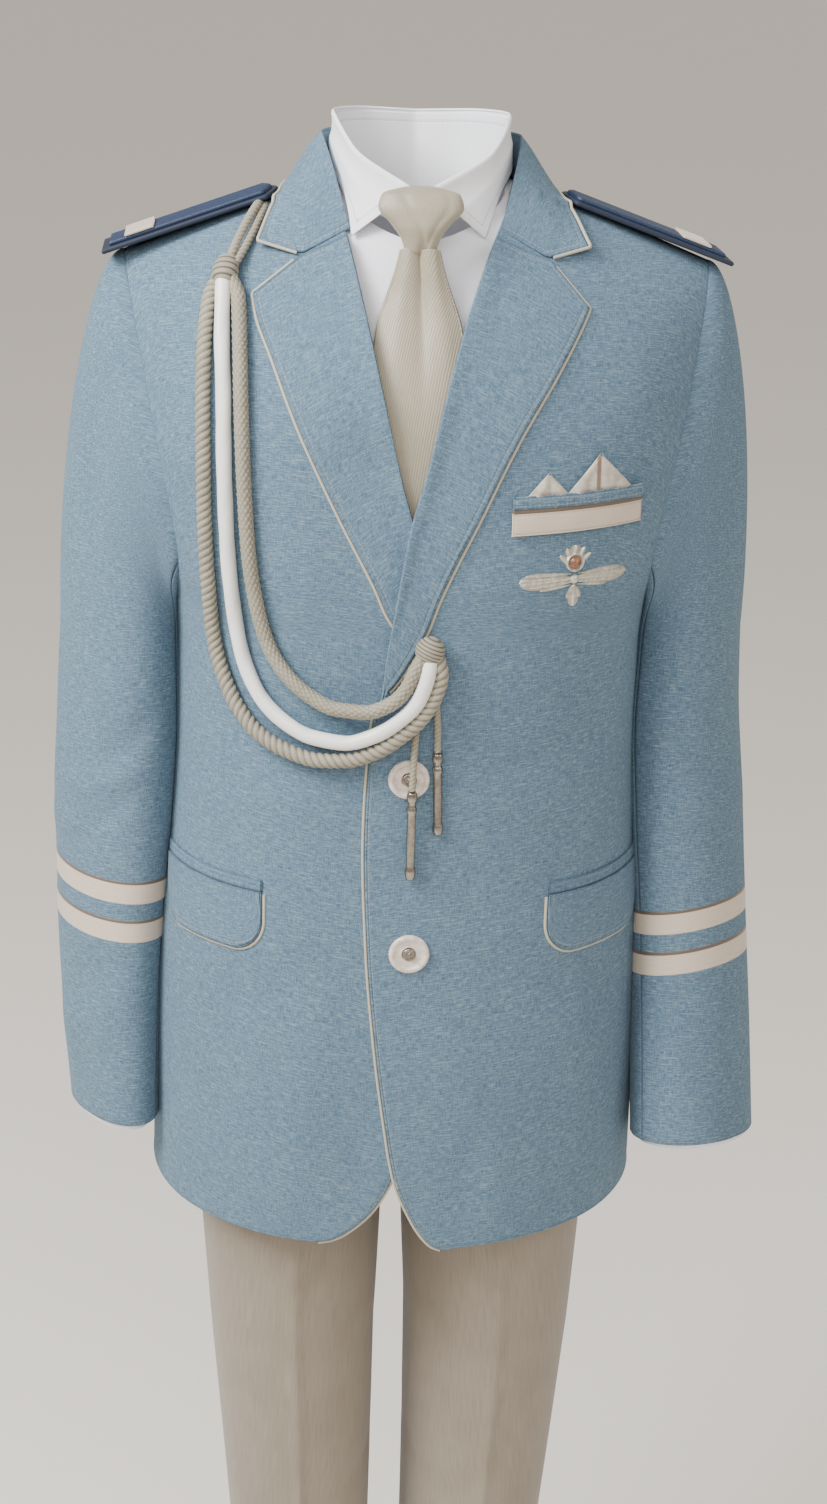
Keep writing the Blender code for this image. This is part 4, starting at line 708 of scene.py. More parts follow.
def body_panel(edge, columns, bottom, top):
    middle_z, side_z = body_rows(bottom, top, 64, 40)
    near = value(edge, middle_z)
    far = side_reach(side_z)
    width = np.maximum(value(TORSO, (middle_z + side_z) / 2), far)
    u = spaced(columns, 0.014)
    power = SECTION_POWER / 2
    start = np.sign(near) * np.arcsin(np.clip(np.abs(near) / width, 0, 1) ** power)
    end = np.arcsin(np.clip(far / width, 0, 1) ** power)
    turn = start[:, None] + (end - start)[:, None] * u
    x = width[:, None] * np.sign(turn) * np.abs(np.sin(turn)) ** (1 / power)
    share = (x - near[:, None]) / (far - near)[:, None]
    return x, middle_z[:, None] + (side_z - middle_z)[:, None] * share


def jacket_front(word, edge, side, folds):
    x, z = body_panel(edge, 66, edge[0][0], edge[-1][0])
    x = side * x
    inset = overlap_inset(x, z) if side < 0 else 0 * x
    beside = ease_in((np.abs(x - SMOOTH_ACROSS[0]) - SMOOTH_ACROSS[1]) / SMOOTH_EDGE)
    below = ease_in((SMOOTH_LEVELS[0] - z) / SMOOTH_EDGE)
    above = ease_in((z - SMOOTH_LEVELS[1]) / SMOOTH_EDGE)
    free = np.clip(beside + below + above, 0, 1) if side > 0 else 1.0
    points, _ = on_body(x, z, -inset + creases(x, z, folds) * free * CREASE_DEPTH)
    name = f"jacket_front_{word}"
    cloth_sheet(name, points, JACKET_CLOTH, JACKET_WALL, "lb", "jacket_cloth", anchor=-1, flip=side > 0)


jacket_front("left", EDGE_LEFT, 1, FRONT_LEFT_CREASES)
jacket_front("right", EDGE_RIGHT, -1, FRONT_RIGHT_CREASES)


# Jacket backs: two panels with a centre seam, shaped over the shoulder blades and in at the waist.
# Each one's top follows the neck and then the shoulder seam.
SHOULDER_START = -0.170
NECK_COLUMNS = 21
BACK_CREASES = (
    (0.015, -0.300, 0.095, -0.275, 0.0090, -0.0010),
    (0.020, -0.335, 0.105, -0.350, 0.0110, -0.0010),
    (0.090, -0.060, 0.120, -0.150, 0.0130, 0.0012),
    (0.118, -0.130, 0.108, -0.240, 0.0110, -0.0012),
    (0.060, -0.420, 0.075, -0.590, 0.0150, 0.0015),
    (0.100, -0.400, 0.110, -0.585, 0.0130, -0.0012),
    (0.025, -0.450, 0.022, -0.595, 0.0120, -0.0011),
    (0.040, -0.070, 0.085, -0.120, 0.0140, -0.0007),
)


def neckline(part):
    x = NECK_HALF * np.sin(part * math.pi / 2)
    y = NECK_BACK * np.cos(part * math.pi / 2)
    z = ridge(x) - 0.03
    for _ in range(30):
        depth = value(TORSO, z, 3) * np.cos(side_turn(x, z)) ** (2 / SECTION_POWER)
        lift = 1 - np.sqrt(np.clip(1 - (y / depth) ** 2, 0, 1))
        z = ridge(x) - SHOULDER_ROUND * lift
    return x, z


def raised_top(x, z, top_x, top_z):
    """Panel whose upper part is eased to meet the line of its top."""
    height = np.clip((z - SHOULDER_START) / (z[-1] - SHOULDER_START), 0, 1)
    return x + (top_x - x[-1]) * ease_in(height), z + (top_z - z[-1]) * height


def jacket_back(word, side):
    neck_x, neck_z = neckline(np.linspace(0, 1, NECK_COLUMNS))
    edge = ((HEM_SIDE, 0.0), (neck_z[0], 0.0))
    x, z = body_panel(edge, 50, HEM_SIDE, neck_z[0])
    shoulder_x = np.linspace(NECK_HALF, ARMHOLE[0][1], x.shape[1] + 1 - NECK_COLUMNS)
    top_x = np.concatenate([neck_x, shoulder_x[1:]])
    top_z = np.concatenate([neck_z, ridge(shoulder_x[1:])])
    x, z = raised_top(x, z, top_x, top_z)
    depth = CREASE_DEPTH if side > 0 else 1.0
    points, _ = on_body(side * x, z, creases(x, z, BACK_CREASES) * depth, back=True)
    name = f"jacket_back_{word}"
    cloth_sheet(name, points, JACKET_CLOTH, JACKET_WALL, "b", "jacket_cloth", anchor=-1, flip=side < 0)


jacket_back("left", 1)
jacket_back("right", -1)


# Sleeves: a top and an under piece each, easing into the armhole.
# The elbow breaks into a few short folds and the lower arm into long ones.
# Sections: level, outer x, inner x, middle y, depth, tilt in degrees
SLEEVE_RIGHT = (
    (-0.262, 0.1990, 0.1310, 0.006, 0.0525, 0),
    (-0.310, 0.2015, 0.1300, 0.006, 0.0515, 1),
    (-0.370, 0.2035, 0.1330, 0.004, 0.0490, 2),
    (-0.436, 0.2035, 0.1395, 0.000, 0.0460, 3),
    (-0.500, 0.2010, 0.1435, -0.006, 0.0425, 4),
    (-0.564, 0.1965, 0.1455, -0.012, 0.0400, 5),
)
SLEEVE_LEFT = (
    (-0.262, 0.1980, 0.1310, 0.004, 0.0525, 0),
    (-0.310, 0.2005, 0.1291, 0.001, 0.0514, 4),
    (-0.370, 0.2050, 0.1320, -0.008, 0.0490, 8),
    (-0.436, 0.2095, 0.1370, -0.020, 0.0460, 11),
    (-0.500, 0.2140, 0.1400, -0.033, 0.0425, 12),
    (-0.567, 0.2180, 0.1425, -0.046, 0.0400, 13),
)
SLEEVE_SKEW = 0.012
# Gap between sleeve and body: level, gap
ARM_CLEARANCE = (
    (-0.262, 0.0013),
    (-0.350, 0.0014),
    (-0.376, 0.0029),
    (-0.470, 0.0029),
    (-0.510, 0.0016),
    (-0.570, 0.0014),
)
# Creases: turn from the outer side (front is a quarter), level, end turn, end level, half width, height
SLEEVE_CREASES_RIGHT = (
    (0.30, -0.300, 0.12, -0.345, 0.0110, -0.0016),
    (0.26, -0.335, 0.02, -0.358, 0.0080, 0.0015),
    (0.24, -0.352, 0.06, -0.392, 0.0075, -0.0016),
    (0.20, -0.372, -0.04, -0.384, 0.0080, 0.0012),
    (0.05, -0.290, -0.02, -0.395, 0.0120, 0.0012),
    (0.15, -0.105, 0.10, -0.230, 0.0130, -0.0014),
    (0.07, -0.090, 0.05, -0.230, 0.0140, 0.0014),
    (0.24, -0.455, 0.05, -0.480, 0.0110, -0.0014),
    (0.20, -0.490, -0.02, -0.515, 0.0120, 0.0013),
    (0.12, -0.450, 0.10, -0.560, 0.0140, -0.0013),
    (0.02, -0.460, 0.00, -0.560, 0.0130, 0.0010),
)
SLEEVE_CREASES_LEFT = (
    (0.28, -0.310, 0.10, -0.352, 0.0100, -0.0014),
    (0.25, -0.345, 0.02, -0.362, 0.0080, 0.0014),
    (0.22, -0.366, 0.03, -0.400, 0.0080, -0.0013),
    (0.14, -0.110, 0.10, -0.240, 0.0130, -0.0013),
    (0.06, -0.095, 0.05, -0.250, 0.0140, 0.0013),
    (0.22, -0.470, 0.04, -0.500, 0.0110, 0.0012),
    (0.24, -0.500, 0.10, -0.545, 0.0110, -0.0012),
    (0.10, -0.460, 0.08, -0.565, 0.0140, -0.0010),
    (0.03, -0.255, 0.00, -0.330, 0.0120, -0.0010),
)
CAP_ROWS = 30
ARM_ROWS = 78
SLEEVE_SEAMS = (0.375, 0.7083)
SLEEVE_COLUMNS = (46, 42, 36)
SLEEVE_GIRTH = 0.30
ARMHOLE_GAP = 0.0002
SEAM_INSET = 0.0001


def armhole(turn, side):
    """Points of the armhole edge, the body's direction out, and the way out of the body."""
    z = ARMHOLE_MIDDLE + ARMHOLE_HALF * np.cos(turn)
    x = side * value(ARMHOLE, z)
    front, front_out = on_body(x, z)
    rear, rear_out = on_body(x, z, back=True)
    is_back = (turn > math.pi)[:, None]
    point = np.where(is_back, rear, front)
    out = np.where(is_back, rear_out, front_out)
    point[-1] = point[0]
    out[-1] = out[0]
    ring = point[:-1]
    along = np.roll(ring, -1, axis=0) - np.roll(ring, 1, axis=0)
    along = unit(np.concatenate([along, along[:1]]))
    away = unit(np.cross(out, along)) * side
    return point, out, away


def sleeve_ring(table, level, turn, side):
    outer_x = value(table, level, 1)
    inner_x = value(table, level, 2)
    middle_y = value(table, level, 3)
    depth = value(table, level, 4)
    tilt = np.radians(value(table, level, 5))
    half = np.sqrt(((outer_x - inner_x) / 2) ** 2 - SLEEVE_SKEW**2)
    x = (outer_x + inner_x) / 2 + half * np.cos(turn) - SLEEVE_SKEW * np.sin(turn)
    y = middle_y - depth * np.sin(turn) * np.cos(tilt)
    z = level + depth * np.sin(turn) * np.sin(tilt)
    depth_there = np.where(y > 0, value(TORSO, z, 3), value(TORSO, z, 2))
    share = np.clip(np.abs(y) / depth_there, 0, 1) ** SECTION_POWER
    body_x = value(TORSO, z) * (1 - share) ** (1 / SECTION_POWER)
    x = np.maximum(x, body_x + value(ARM_CLEARANCE, z))
    return np.stack([side * x, y, z + 0 * x], axis=-1)


def sleeve_folds(rows):
    """Folds by turn share, scaled to metres round the arm, and the same folds one turn on."""
    girth = SLEEVE_GIRTH
    scaled = [(a * girth, b, c * girth, d, half, height * CREASE_DEPTH) for a, b, c, d, half, height in rows]
    return scaled + [(a + girth, b, c + girth, d, half, height) for a, b, c, d, half, height in scaled]


def arm_creases(turn, points, folds):
    around = (turn / (2 * math.pi))[None, :] * SLEEVE_GIRTH + 0 * points[..., 2]
    return creases(around, points[..., 2], sleeve_folds(folds))


def sleeve_sheet(table, side, turn, folds, shrink=0.0, extra=0.0):
    """Outer face of a sleeve from the armhole to the cuff."""
    point, out, away = armhole(turn, side)
    start = point + away * (SEAM_GAP + ARMHOLE_GAP) - out * shrink * 0.6
    top = table[0][0]
    bottom = table[-1][0] - extra
    ring = sleeve_ring(table, top, turn, side)
    low = (1 - np.cos(turn)) / 2
    lead = np.stack([side * (1 - 0.70 * low), 0 * low, -0.05 - 0.95 * low], axis=-1)
    lead = unit(lead) * (0.016 + 0.010 * np.abs(np.sin(turn)) - 0.008 * low)[:, None]
    rise = np.stack([0 * low, 0 * low, 0.110 - 0.102 * low], axis=-1)
    first = start + lead
    second = ring + rise
    rows = []
    for t in np.concatenate([[0, 0.01, 0.03], np.linspace(0.06, 1, CAP_ROWS)]):
        near = (1 - t) ** 3 * start + 3 * t * (1 - t) ** 2 * first
        rows.append(near + 3 * t * t * (1 - t) * second + t**3 * ring)
    tail = np.linspace(0, 1, ARM_ROWS + 1)[1:]
    tail = np.concatenate([tail[:-1], [0.993, 0.997, 0.9988, 1.0]])
    for share in tail:
        rows.append(sleeve_ring(table, top + (bottom - top) * share, turn, side))
    points = np.array(rows)
    out = sheet_normals(points, closed=True) * side
    height = arm_creases(turn, points, folds)
    fade = np.minimum(np.arange(len(points)) / 8, 1)[:, None]
    return points + out * ((height - shrink * (1 + low**2)) * fade)[..., None]


def sleeve(side, word, table, folds):
    front, rear = SLEEVE_SEAMS
    spans = zip((0, front, rear), (front, rear, 1), SLEEVE_COLUMNS)
    parts = [np.linspace(start, end, count) for start, end, count in spans]
    turn = 2 * math.pi * np.concatenate([parts[0], parts[1][1:], parts[2][1:]])
    points = sleeve_sheet(table, side, turn, folds)
    front_at = SLEEVE_COLUMNS[0] - 1
    rear_at = front_at + SLEEVE_COLUMNS[1] - 1
    upper = np.concatenate([points[:, rear_at:-1], points[:, : front_at + 1]], axis=1)
    under = points[:, front_at : rear_at + 1]
    for part, sheet in (("top", upper), ("under", under)):
        sheet = sheet.copy()
        for edge, inside in ((0, 1), (-1, -2)):
            sheet[:, edge] += unit(sheet[:, inside] - sheet[:, edge]) * SEAM_INSET
        name = f"{part}_sleeve_{word}"
        cloth_sheet(name, sheet[::-1], JACKET_CLOTH, JACKET_WALL, "b", "jacket_cloth", flip=side < 0)


sleeve(1, "left", SLEEVE_LEFT, SLEEVE_CREASES_LEFT)
sleeve(-1, "right", SLEEVE_RIGHT, SLEEVE_CREASES_RIGHT)
# Lapels: they fold back from the front edge along a soft roll and lie on the chest, nap brushed smooth.
# A sewn line follows the outer edge just inside the piping.
LAPEL_CLOTH = slub_cloth("lapel_cloth", BLUE_BASE, BLUE_LIGHT, BLUE_DARK, stitch=0.0030, slub=0.9)
LAPEL_ROWS = 74
LAPEL_COLUMNS = 30
# Outer edge of each lapel: level, distance from the middle
LAPEL_LEFT = (
    (-0.266, -0.0195),
    (-0.256, -0.012),
    (-0.231, 0.001),
    (-0.211, 0.008),
    (-0.168, 0.028),
    (-0.127, 0.048),
    (-0.093, 0.070),
    (-0.074, 0.082),
    (-0.066, 0.0865),
)
LAPEL_RIGHT = (
    (-0.252, -0.010),
    (-0.225, 0.017),
    (-0.206, 0.026),
    (-0.170, 0.045),
    (-0.124, 0.067),
    (-0.090, 0.081),
    (-0.072, 0.0885),
    (-0.062, 0.0905),
)
GORGE_Z = -0.0325
NOTCH = (0.0655, -0.0428)
LAPEL_CREASES = (
    (0.020, -0.200, 0.060, -0.090, 0.0120, 0.0006),
    (0.030, -0.110, 0.070, -0.085, 0.0080, -0.0004),
    (0.008, -0.170, 0.020, -0.060, 0.0070, -0.0005),
)


def lapel_places(roll, edge, side):
    v = spaced(LAPEL_ROWS, 0.02)
    u = spaced(LAPEL_COLUMNS, 0.03)
    bottom = edge[0][0]
    roll_z = bottom + 0.006 + v * (GORGE_Z - bottom - 0.006)
    edge_z = bottom + v * (edge[-1][0] - bottom)
    roll_x = value(roll, roll_z) + 0.0004
    edge_x = np.maximum(value(edge, edge_z), roll_x + 0.002)
    x = roll_x[:, None] + (edge_x - roll_x)[:, None] * u
    z = roll_z[:, None] + (edge_z - roll_z)[:, None] * u
    top_x = np.interp(u, (0, 0.55, 1), (x[-1, 0], NOTCH[0], x[-1, -1]))
    top_z = np.interp(u, (0, 0.55, 1), (z[-1, 0], NOTCH[1], z[-1, -1]))
    share = v[:, None] ** 6
    x = x + (top_x - x[-1]) * share
    z = z + (top_z - z[-1]) * share
    return side * x, z, u


def lapel_height(x, z, u, side):
    """Height of a lapel's face: full at the roll, where the cloth turns over."""
    inset = overlap_inset(x, z) if side < 0 else 0 * x
    full = 0.0016 * np.exp(-((u / 0.16) ** 2)) * ease_in((z + 0.245) / 0.05)
    soft = creases(np.abs(x), z, LAPEL_CREASES)
    return LAY_GAP + JACKET_WALL - inset + full + soft


def lapel(word, roll, edge, side):
    x, z, u = lapel_places(roll, edge, side)
    points, _ = on_body(x, z, lapel_height(x, z, u + 0 * x, side))
    name = f"lapel_{word}"
    cloth_sheet(name, points, LAPEL_CLOTH, JACKET_WALL, "rt", "jacket_cloth", flip=side > 0, seams="t")


lapel("left", EDGE_LEFT, LAPEL_LEFT, 1)
lapel("right", EDGE_RIGHT, LAPEL_RIGHT, -1)


# Jacket collar: a stand inside the neck and a fall that rolls over it and lies on the shoulders.
# Each guide line: station from centre back, x, y, level
COLLAR_NECK = (
    (0.00, 0.000, 0.0625, -0.0205),
    (0.25, 0.030, 0.0500, -0.0150),
    (0.50, 0.0515, 0.0030, -0.0030),
    (0.75, 0.0470, -0.0220, -0.0085),
    (1.00, 0.0400, -0.0475, -0.0290),
)
COLLAR_ROLL = (
    (0.00, 0.000, 0.0600, 0.0120),
    (0.25, 0.033, 0.0480, 0.0150),
    (0.50, 0.0545, 0.0030, 0.0170),
    (0.75, 0.0500, -0.0240, 0.0050),
    (1.00, 0.0405, -0.0480, -0.0275),
)
COLLAR_MIDDLE = (
    (0.00, 0.000, 0.0740, 0.0040),
    (0.25, 0.042, 0.0580, 0.0060),
    (0.50, 0.0640, 0.0050, 0.0045),
    (0.75, 0.0650, -0.0260, -0.0080),
    (1.00, 0.0655, -0.0520, -0.0400),
)
COLLAR_EDGE = (
    (0.00, 0.000, 0.0860, -0.0220),
    (0.25, 0.048, 0.0700, -0.0200),
    (0.50, 0.0720, 0.0100, -0.0100),
    (0.75, 0.0790, -0.0200, -0.0170),
    (1.00, 0.0880, -0.0430, -0.0350),
)


def guide(table, station):
    """Points of a collar line; stations run from -1 to 1 with centre back at 0."""
    at = np.abs(station)
    x = value(table, at, 1) * np.where(station < 0, -1, 1)
    return np.stack([x, value(table, at, 2), value(table, at, 3)], axis=-1)


def clear_of_body(points, least):
    """Moves points out until they stand clear of the jacket's outer face."""
    for _ in range(3):
        front, front_out = on_body(points[..., 0], points[..., 2])
        rear, rear_out = on_body(points[..., 0], points[..., 2], back=True)
        behind = points[..., 1:2] > 0
        face = np.where(behind, rear, front)
        out = np.where(behind, rear_out, front_out)
        gap = np.sum((points - face) * out, axis=-1, keepdims=True)
        points = points + out * np.maximum(least - gap, 0)
    return points


def collar_sheet(stations, fall_rows):
    """Rows by station, columns from the neck seam over the roll to the outer edge."""
    neck = guide(COLLAR_NECK, stations)
    roll = guide(COLLAR_ROLL, stations)
    middle = guide(COLLAR_MIDDLE, stations)
    edge = guide(COLLAR_EDGE, stations)
    columns = [neck + (roll - neck) * t for t in np.linspace(0, 0.9, 7)]
    pointed = (np.abs(stations) ** 8)[:, None]
    fall = []
    for t in fall_rows:
        bent = (1 - t) * (1 - 2 * t) * roll + 4 * t * (1 - t) * middle + t * (2 * t - 1) * edge
        straight = roll + (middle - roll) * min(2 * t, 1) + (edge - middle) * max(2 * t - 1, 0)
        fall.append(bent + (straight - bent) * pointed)
    fall = np.stack(fall, axis=1)
    return np.stack(columns, axis=1), fall


def collar():
    stations = 2 * spaced(88, 0.012) - 1
    fall_rows = spaced(22, 0.04)
    stand, fall = collar_sheet(stations, fall_rows)
    cleared = clear_of_body(fall, LAY_GAP + JACKET_WALL + 0.0002)
    ease = np.clip((fall_rows - 0.12) / 0.12, 0, 1)[None, :, None]
    fall = fall + (cleared - fall) * ease
    points = np.concatenate([stand, fall], axis=1)
    cloth_sheet("jacket_collar", points, LAPEL_CLOTH, JACKET_WALL - 0.0003, "rbt", "jacket_cloth", flip=True)
    return fall


COLLAR_FALL = collar()


# Piping: a soft cream cord in every outer edge, sewn in between face and facing.
# It follows the same edges as the cloth, a hair outside them.
PIPING = 0.0009
PIPING_STEP = 0.0016
PIPING_GAP = 0.0002
PIPING_LOOK = plain_cloth(
    "piping", (0.47, 0.43, 0.34), (0.30, 0.26, 0.19), period=0.0006, roughness=0.6, sheen=0.25
)


def piping(name, line):
    made = round_tube(f"look_{name}", resampled(line, PIPING_STEP), PIPING, PIPING_LOOK, 3)
    dress(made, name)


def piping_line(x, z, height, away):
    """Line beside an edge, moved away from it in the face."""
    point, out = on_body(x, z, height)
    along = unit(np.gradient(point, axis=0))
    return point + unit(np.cross(along, out)) * away * (PIPING + PIPING_GAP)


def front_piping(word, edge, side, top, away):
    z = np.linspace(edge[0][0], top, 160)
    x = side * value(edge, z)
    inset = overlap_inset(x, z) if side < 0 else 0 * x
    folds = FRONT_LEFT_CREASES if side > 0 else FRONT_RIGHT_CREASES
    height = -inset - JACKET_WALL / 2 + creases(x, z, folds) * CREASE_DEPTH
    piping(f"front_piping_{word}", piping_line(x, z, height, away))


front_piping("left", EDGE_LEFT, 1, -0.275, -1)
front_piping("right", EDGE_RIGHT, -1, -0.480, 1)


def lapel_piping(word, roll, edge, side, away):
    x, z, u = lapel_places(roll, edge, side)
    height = lapel_height(x, z, u + 0 * x, side) - JACKET_WALL / 2
    keep = u > 0.60
    x, z, height = (np.concatenate([held[3:, -1], held[-1, keep][-2::-1]]) for held in (x, z, height))
    piping(f"lapel_piping_{word}", piping_line(x, z, height, away))


lapel_piping("left", EDGE_LEFT, LAPEL_LEFT, 1, 1)
lapel_piping("right", EDGE_RIGHT, LAPEL_RIGHT, -1, -1)


def collar_piping():
    """Round the collar's two ends and its outer edge; each point moves away from the cloth beside it."""
    edge = COLLAR_FALL[:, -1]
    beyond = unit(edge - COLLAR_FALL[:, -6])
    ends = COLLAR_FALL[:, -14:-1]
    first_row = ends[0]
    last_row = ends[-1][::-1]
    first_away = unit(first_row - ends[6])
    last_away = unit(last_row - ends[-7][::-1])
    line = np.concatenate([first_row, edge, last_row])
    away = np.concatenate([first_away, beyond, last_away])
    for _ in range(3):
        away = unit(np.concatenate([away[:1], (away[:-2] + 2 * away[1:-1] + away[2:]) / 4, away[-1:]]))
    line = line + away * (PIPING + PIPING_GAP)
    piping("collar_piping", clear_of_body(line, PIPING + 2 * PIPING_GAP))


collar_piping()


# Pocket flaps: rounded at both lower corners, with a narrow double welt above each.
# They lie on the front, so they take its creases too.
FLAP_TOP = -0.3885
FLAP_HEIGHT = 0.036
FLAP_CORNER = 0.019
FLAP_RIGHT = (0.083, 0.1340)
FLAP_LEFT = (0.076, 0.1330)
FLAP_PIPING_ENDS = (0.0012, 0.006)
WELT_RISE = 0.0030
WELT_OVERLAP = 0.0008
WELT_HEIGHT = 0.0035
WELT_REACH = WELT_RISE + WELT_HEIGHT - WELT_OVERLAP
TRIM_WALL = 0.0010
WELT_CLOTH = slub_cloth("welt_cloth", BLUE_BASE, BLUE_LIGHT, BLUE_DARK, slub=0.7)


def flap_columns(ends, count):
    near, far = ends
    width = value(TORSO, FLAP_TOP)
    start = side_turn(near, FLAP_TOP)
    end = side_turn(far, FLAP_TOP)
    bend = 0.5 - 0.5 * np.cos(np.linspace(0, 1, count) * math.pi)
    x = width * np.sin(start + (end - start) * bend) ** (2 / SECTION_POWER)
    point, _ = on_body(x, FLAP_TOP + 0 * x)
    run = run_lengths(point[None], 1)[0]
    return x, np.minimum(run, run[-1] - run)


def flap_bottom(reach):
    share = np.clip(reach / FLAP_CORNER, 0, 1)
    return FLAP_TOP - FLAP_HEIGHT + FLAP_CORNER * (1 - np.sqrt(1 - (1 - share) ** 2))


def flap_piece(name, side, points, look, wall, edges, **setting):
    cloth_sheet(name, points, look, wall, edges, "jacket_cloth", flip=side > 0, **setting)


def flap(word, side, ends, away, folds):
    x, reach = flap_columns(ends, 61)
    bottom = flap_bottom(reach)
    share = spaced(22, 0.03)[:, None]
    z = bottom + (FLAP_TOP - bottom) * share
    at = side * x + 0 * z
    lift = 0.0006 * (1 - share) ** 2 * np.sin(np.clip(reach / 0.02, 0, 1) * math.pi / 2)
    ground = creases(at, z, folds) * CREASE_DEPTH
    points, _ = on_body(at, z, LAY_GAP + JACKET_WALL + lift + ground)
    flap_piece(f"pocket_flap_{word}", side, points, LAPEL_CLOTH, JACKET_WALL, "blr")
    low = FLAP_TOP + WELT_OVERLAP
    levels = low + WELT_REACH * spaced(12, 0.06)[:, None]
    at = side * x + 0 * levels
    rise = (levels - low) / WELT_REACH
    swell = 0.0006 * np.abs(np.sin(rise * 2 * math.pi)) ** 0.6
    ground = creases(at, levels + 0 * at, folds) * CREASE_DEPTH
    points, _ = on_body(at, levels + 0 * at, LAY_GAP + TRIM_WALL - 0.0003 + swell + ground)
    name = f"pocket_welt_{word}"
    flap_piece(name, side, points, WELT_CLOTH, TRIM_WALL, "btlr", radius=0.0006, seams="btlr")
    line_x = side * np.concatenate([x[:1], x[:1], x, x[-1:], x[-1:]])
    ends_z = FLAP_TOP - np.array(FLAP_PIPING_ENDS)
    line_z = np.concatenate([ends_z, bottom, ends_z[::-1]])
    height = LAY_GAP + JACKET_WALL / 2 + 0.0004 + creases(line_x, line_z, folds) * CREASE_DEPTH
    piping(f"flap_piping_{word}", piping_line(line_x, line_z, height, away))


flap("left", 1, FLAP_LEFT, 1, FRONT_LEFT_CREASES)
flap("right", -1, FLAP_RIGHT, -1, FRONT_RIGHT_CREASES)
# Breast pocket: a cream ribbon band, a brown cord on it, the blue lip of the pocket and a folded kerchief.
# Band and kerchief are satin ribbon and fine cotton; the folds of the kerchief show as soft creases.
# Both ends of the band's upper edge: x, level
POCKET_X = (0.045, 0.117)
POCKET_Z = (-0.1660, -0.1640)
POCKET_BAND = 0.0115
POCKET_CORD = 0.0018
RIBBON = plain_cloth(
    "band_ribbon", (0.60, 0.50, 0.40), (0.44, 0.34, 0.26), period=0.0006, roughness=0.55,
    stitch=0.0011, sheen=0.3,
)
BROWN_CORD = plain_cloth(
    "brown_cord", (0.150, 0.105, 0.075), (0.080, 0.055, 0.040), period=0.0008, roughness=0.8
)
# Painted brown shadow in the kerchief's folds: x of the high peak's shadow stripe, x of the low peak, levels
# of the painted shaded base
KERCHIEF_SHADOW_STRIPE_X = 0.0925
KERCHIEF_PEAK_X = 0.0655
KERCHIEF_SHADED_BASE = (-0.1555, -0.1530)


def kerchief_cloth():
    """Beige cotton with brown shadow painted into its inner folds: a stripe down the high peak and a shaded
    base.
    """
    look = Look("kerchief_cloth", 0.7)
    place = look.add("ShaderNodeSeparateXYZ", {0: look.spot((1, 1, 1))})
    cloud = look.noise(look.spot((160, 160, 160)), 3.0, 0.55)
    wobble = look.span(cloud, 0.2, 0.8, -0.0012, 0.0012)
    weave = look.weave(0.0007)
    body = look.mix(look.span(cloud, 0.35, 0.7), (0.56, 0.52, 0.44), (0.40, 0.35, 0.28))
    body = look.mix(look.span(weave, -1, 1, 0.0, 0.14), body, (0.30, 0.25, 0.19))
    # Painted shadow: a brown stripe down the high peak's fold, and brown shade along the base near the low
    # peak and under the high one.
    fold_shadow_stripe = look.span(look.apart(place.outputs[0], KERCHIEF_SHADOW_STRIPE_X), 0.0009, 0.0015, 0.85, 0.0)
    low = look.span(look.math("ADD", place.outputs[2], wobble), *KERCHIEF_SHADED_BASE, 0.75, 0.0)
    nearer = look.span(look.apart(place.outputs[0], KERCHIEF_PEAK_X), 0.0040, 0.0075, 1.0, 0.0)
    far = look.span(place.outputs[0], 0.0800, 0.0860)
    body = look.mix(fold_shadow_stripe, body, (0.200, 0.125, 0.080))
    shade = look.math("MULTIPLY", low, look.math("MAXIMUM", nearer, far))
    body = look.mix(shade, body, (0.185, 0.120, 0.080))
    look.colour(body)
    look.bump(weave, 0.2, 0.0002)
    look.bump(cloud, 0.2, 0.001)
    look.sheen(0.2, 0.4)
    return look.material


KERCHIEF_CLOTH = kerchief_cloth()


def pocket_line(x):
    return POCKET_Z[0] + (POCKET_Z[1] - POCKET_Z[0]) * (x - POCKET_X[0]) / (POCKET_X[1] - POCKET_X[0])


def chest_patch(
    name, x, low, high, rows, look, thick, slot_name, lift, edges="btlr", radius=0.0007, margin=0.05,
    node=True
):
    """Piece lying on the front between two levels, column by column."""
    share = spaced(rows, margin)[:, None]
    z = low + (high - low) * share
    at = x + 0 * z
    points, _ = on_body(at, z, LAY_GAP + thick + lift(at, z, share))
    cloth_sheet(name, points, look, thick, edges, slot_name, node, radius=radius, flip=True)


pocket_x = POCKET_X[0] + (POCKET_X[1] - POCKET_X[0]) * spaced(60, 0.012)
pocket_z = pocket_line(pocket_x)


def band_swell(x, _z, share):
    return 0.0005 * np.sin(share * math.pi) ** 0.5 + 0.00015 * np.sin(x * 260) * np.sin(share * math.pi)


chest_patch(
    "breast_band", pocket_x, pocket_z - POCKET_BAND, pocket_z, 16, RIBBON, JACKET_WALL,
    "band_ribbon", band_swell,
)
cord_low = pocket_z + 0.0004


def cord_swell(_x, _z, share):
    return 0.0007 * np.sqrt(np.clip(1 - (2 * share - 1) ** 2, 0, 1))


chest_patch(
    "breast_cord", pocket_x, cord_low, cord_low + POCKET_CORD, 10, BROWN_CORD, JACKET_WALL,
    "brown_cord", cord_swell, radius=0.0004, margin=0.08,
)

# Outline of the kerchief: x, lower level, upper level
KERCHIEF = (
    (0.0520, -0.1610, -0.1580),
    (0.0640, -0.1610, -0.1450),
    (0.0750, -0.1610, -0.1560),
    (0.0920, -0.1605, -0.1365),
    (0.1100, -0.1600, -0.1550),
)
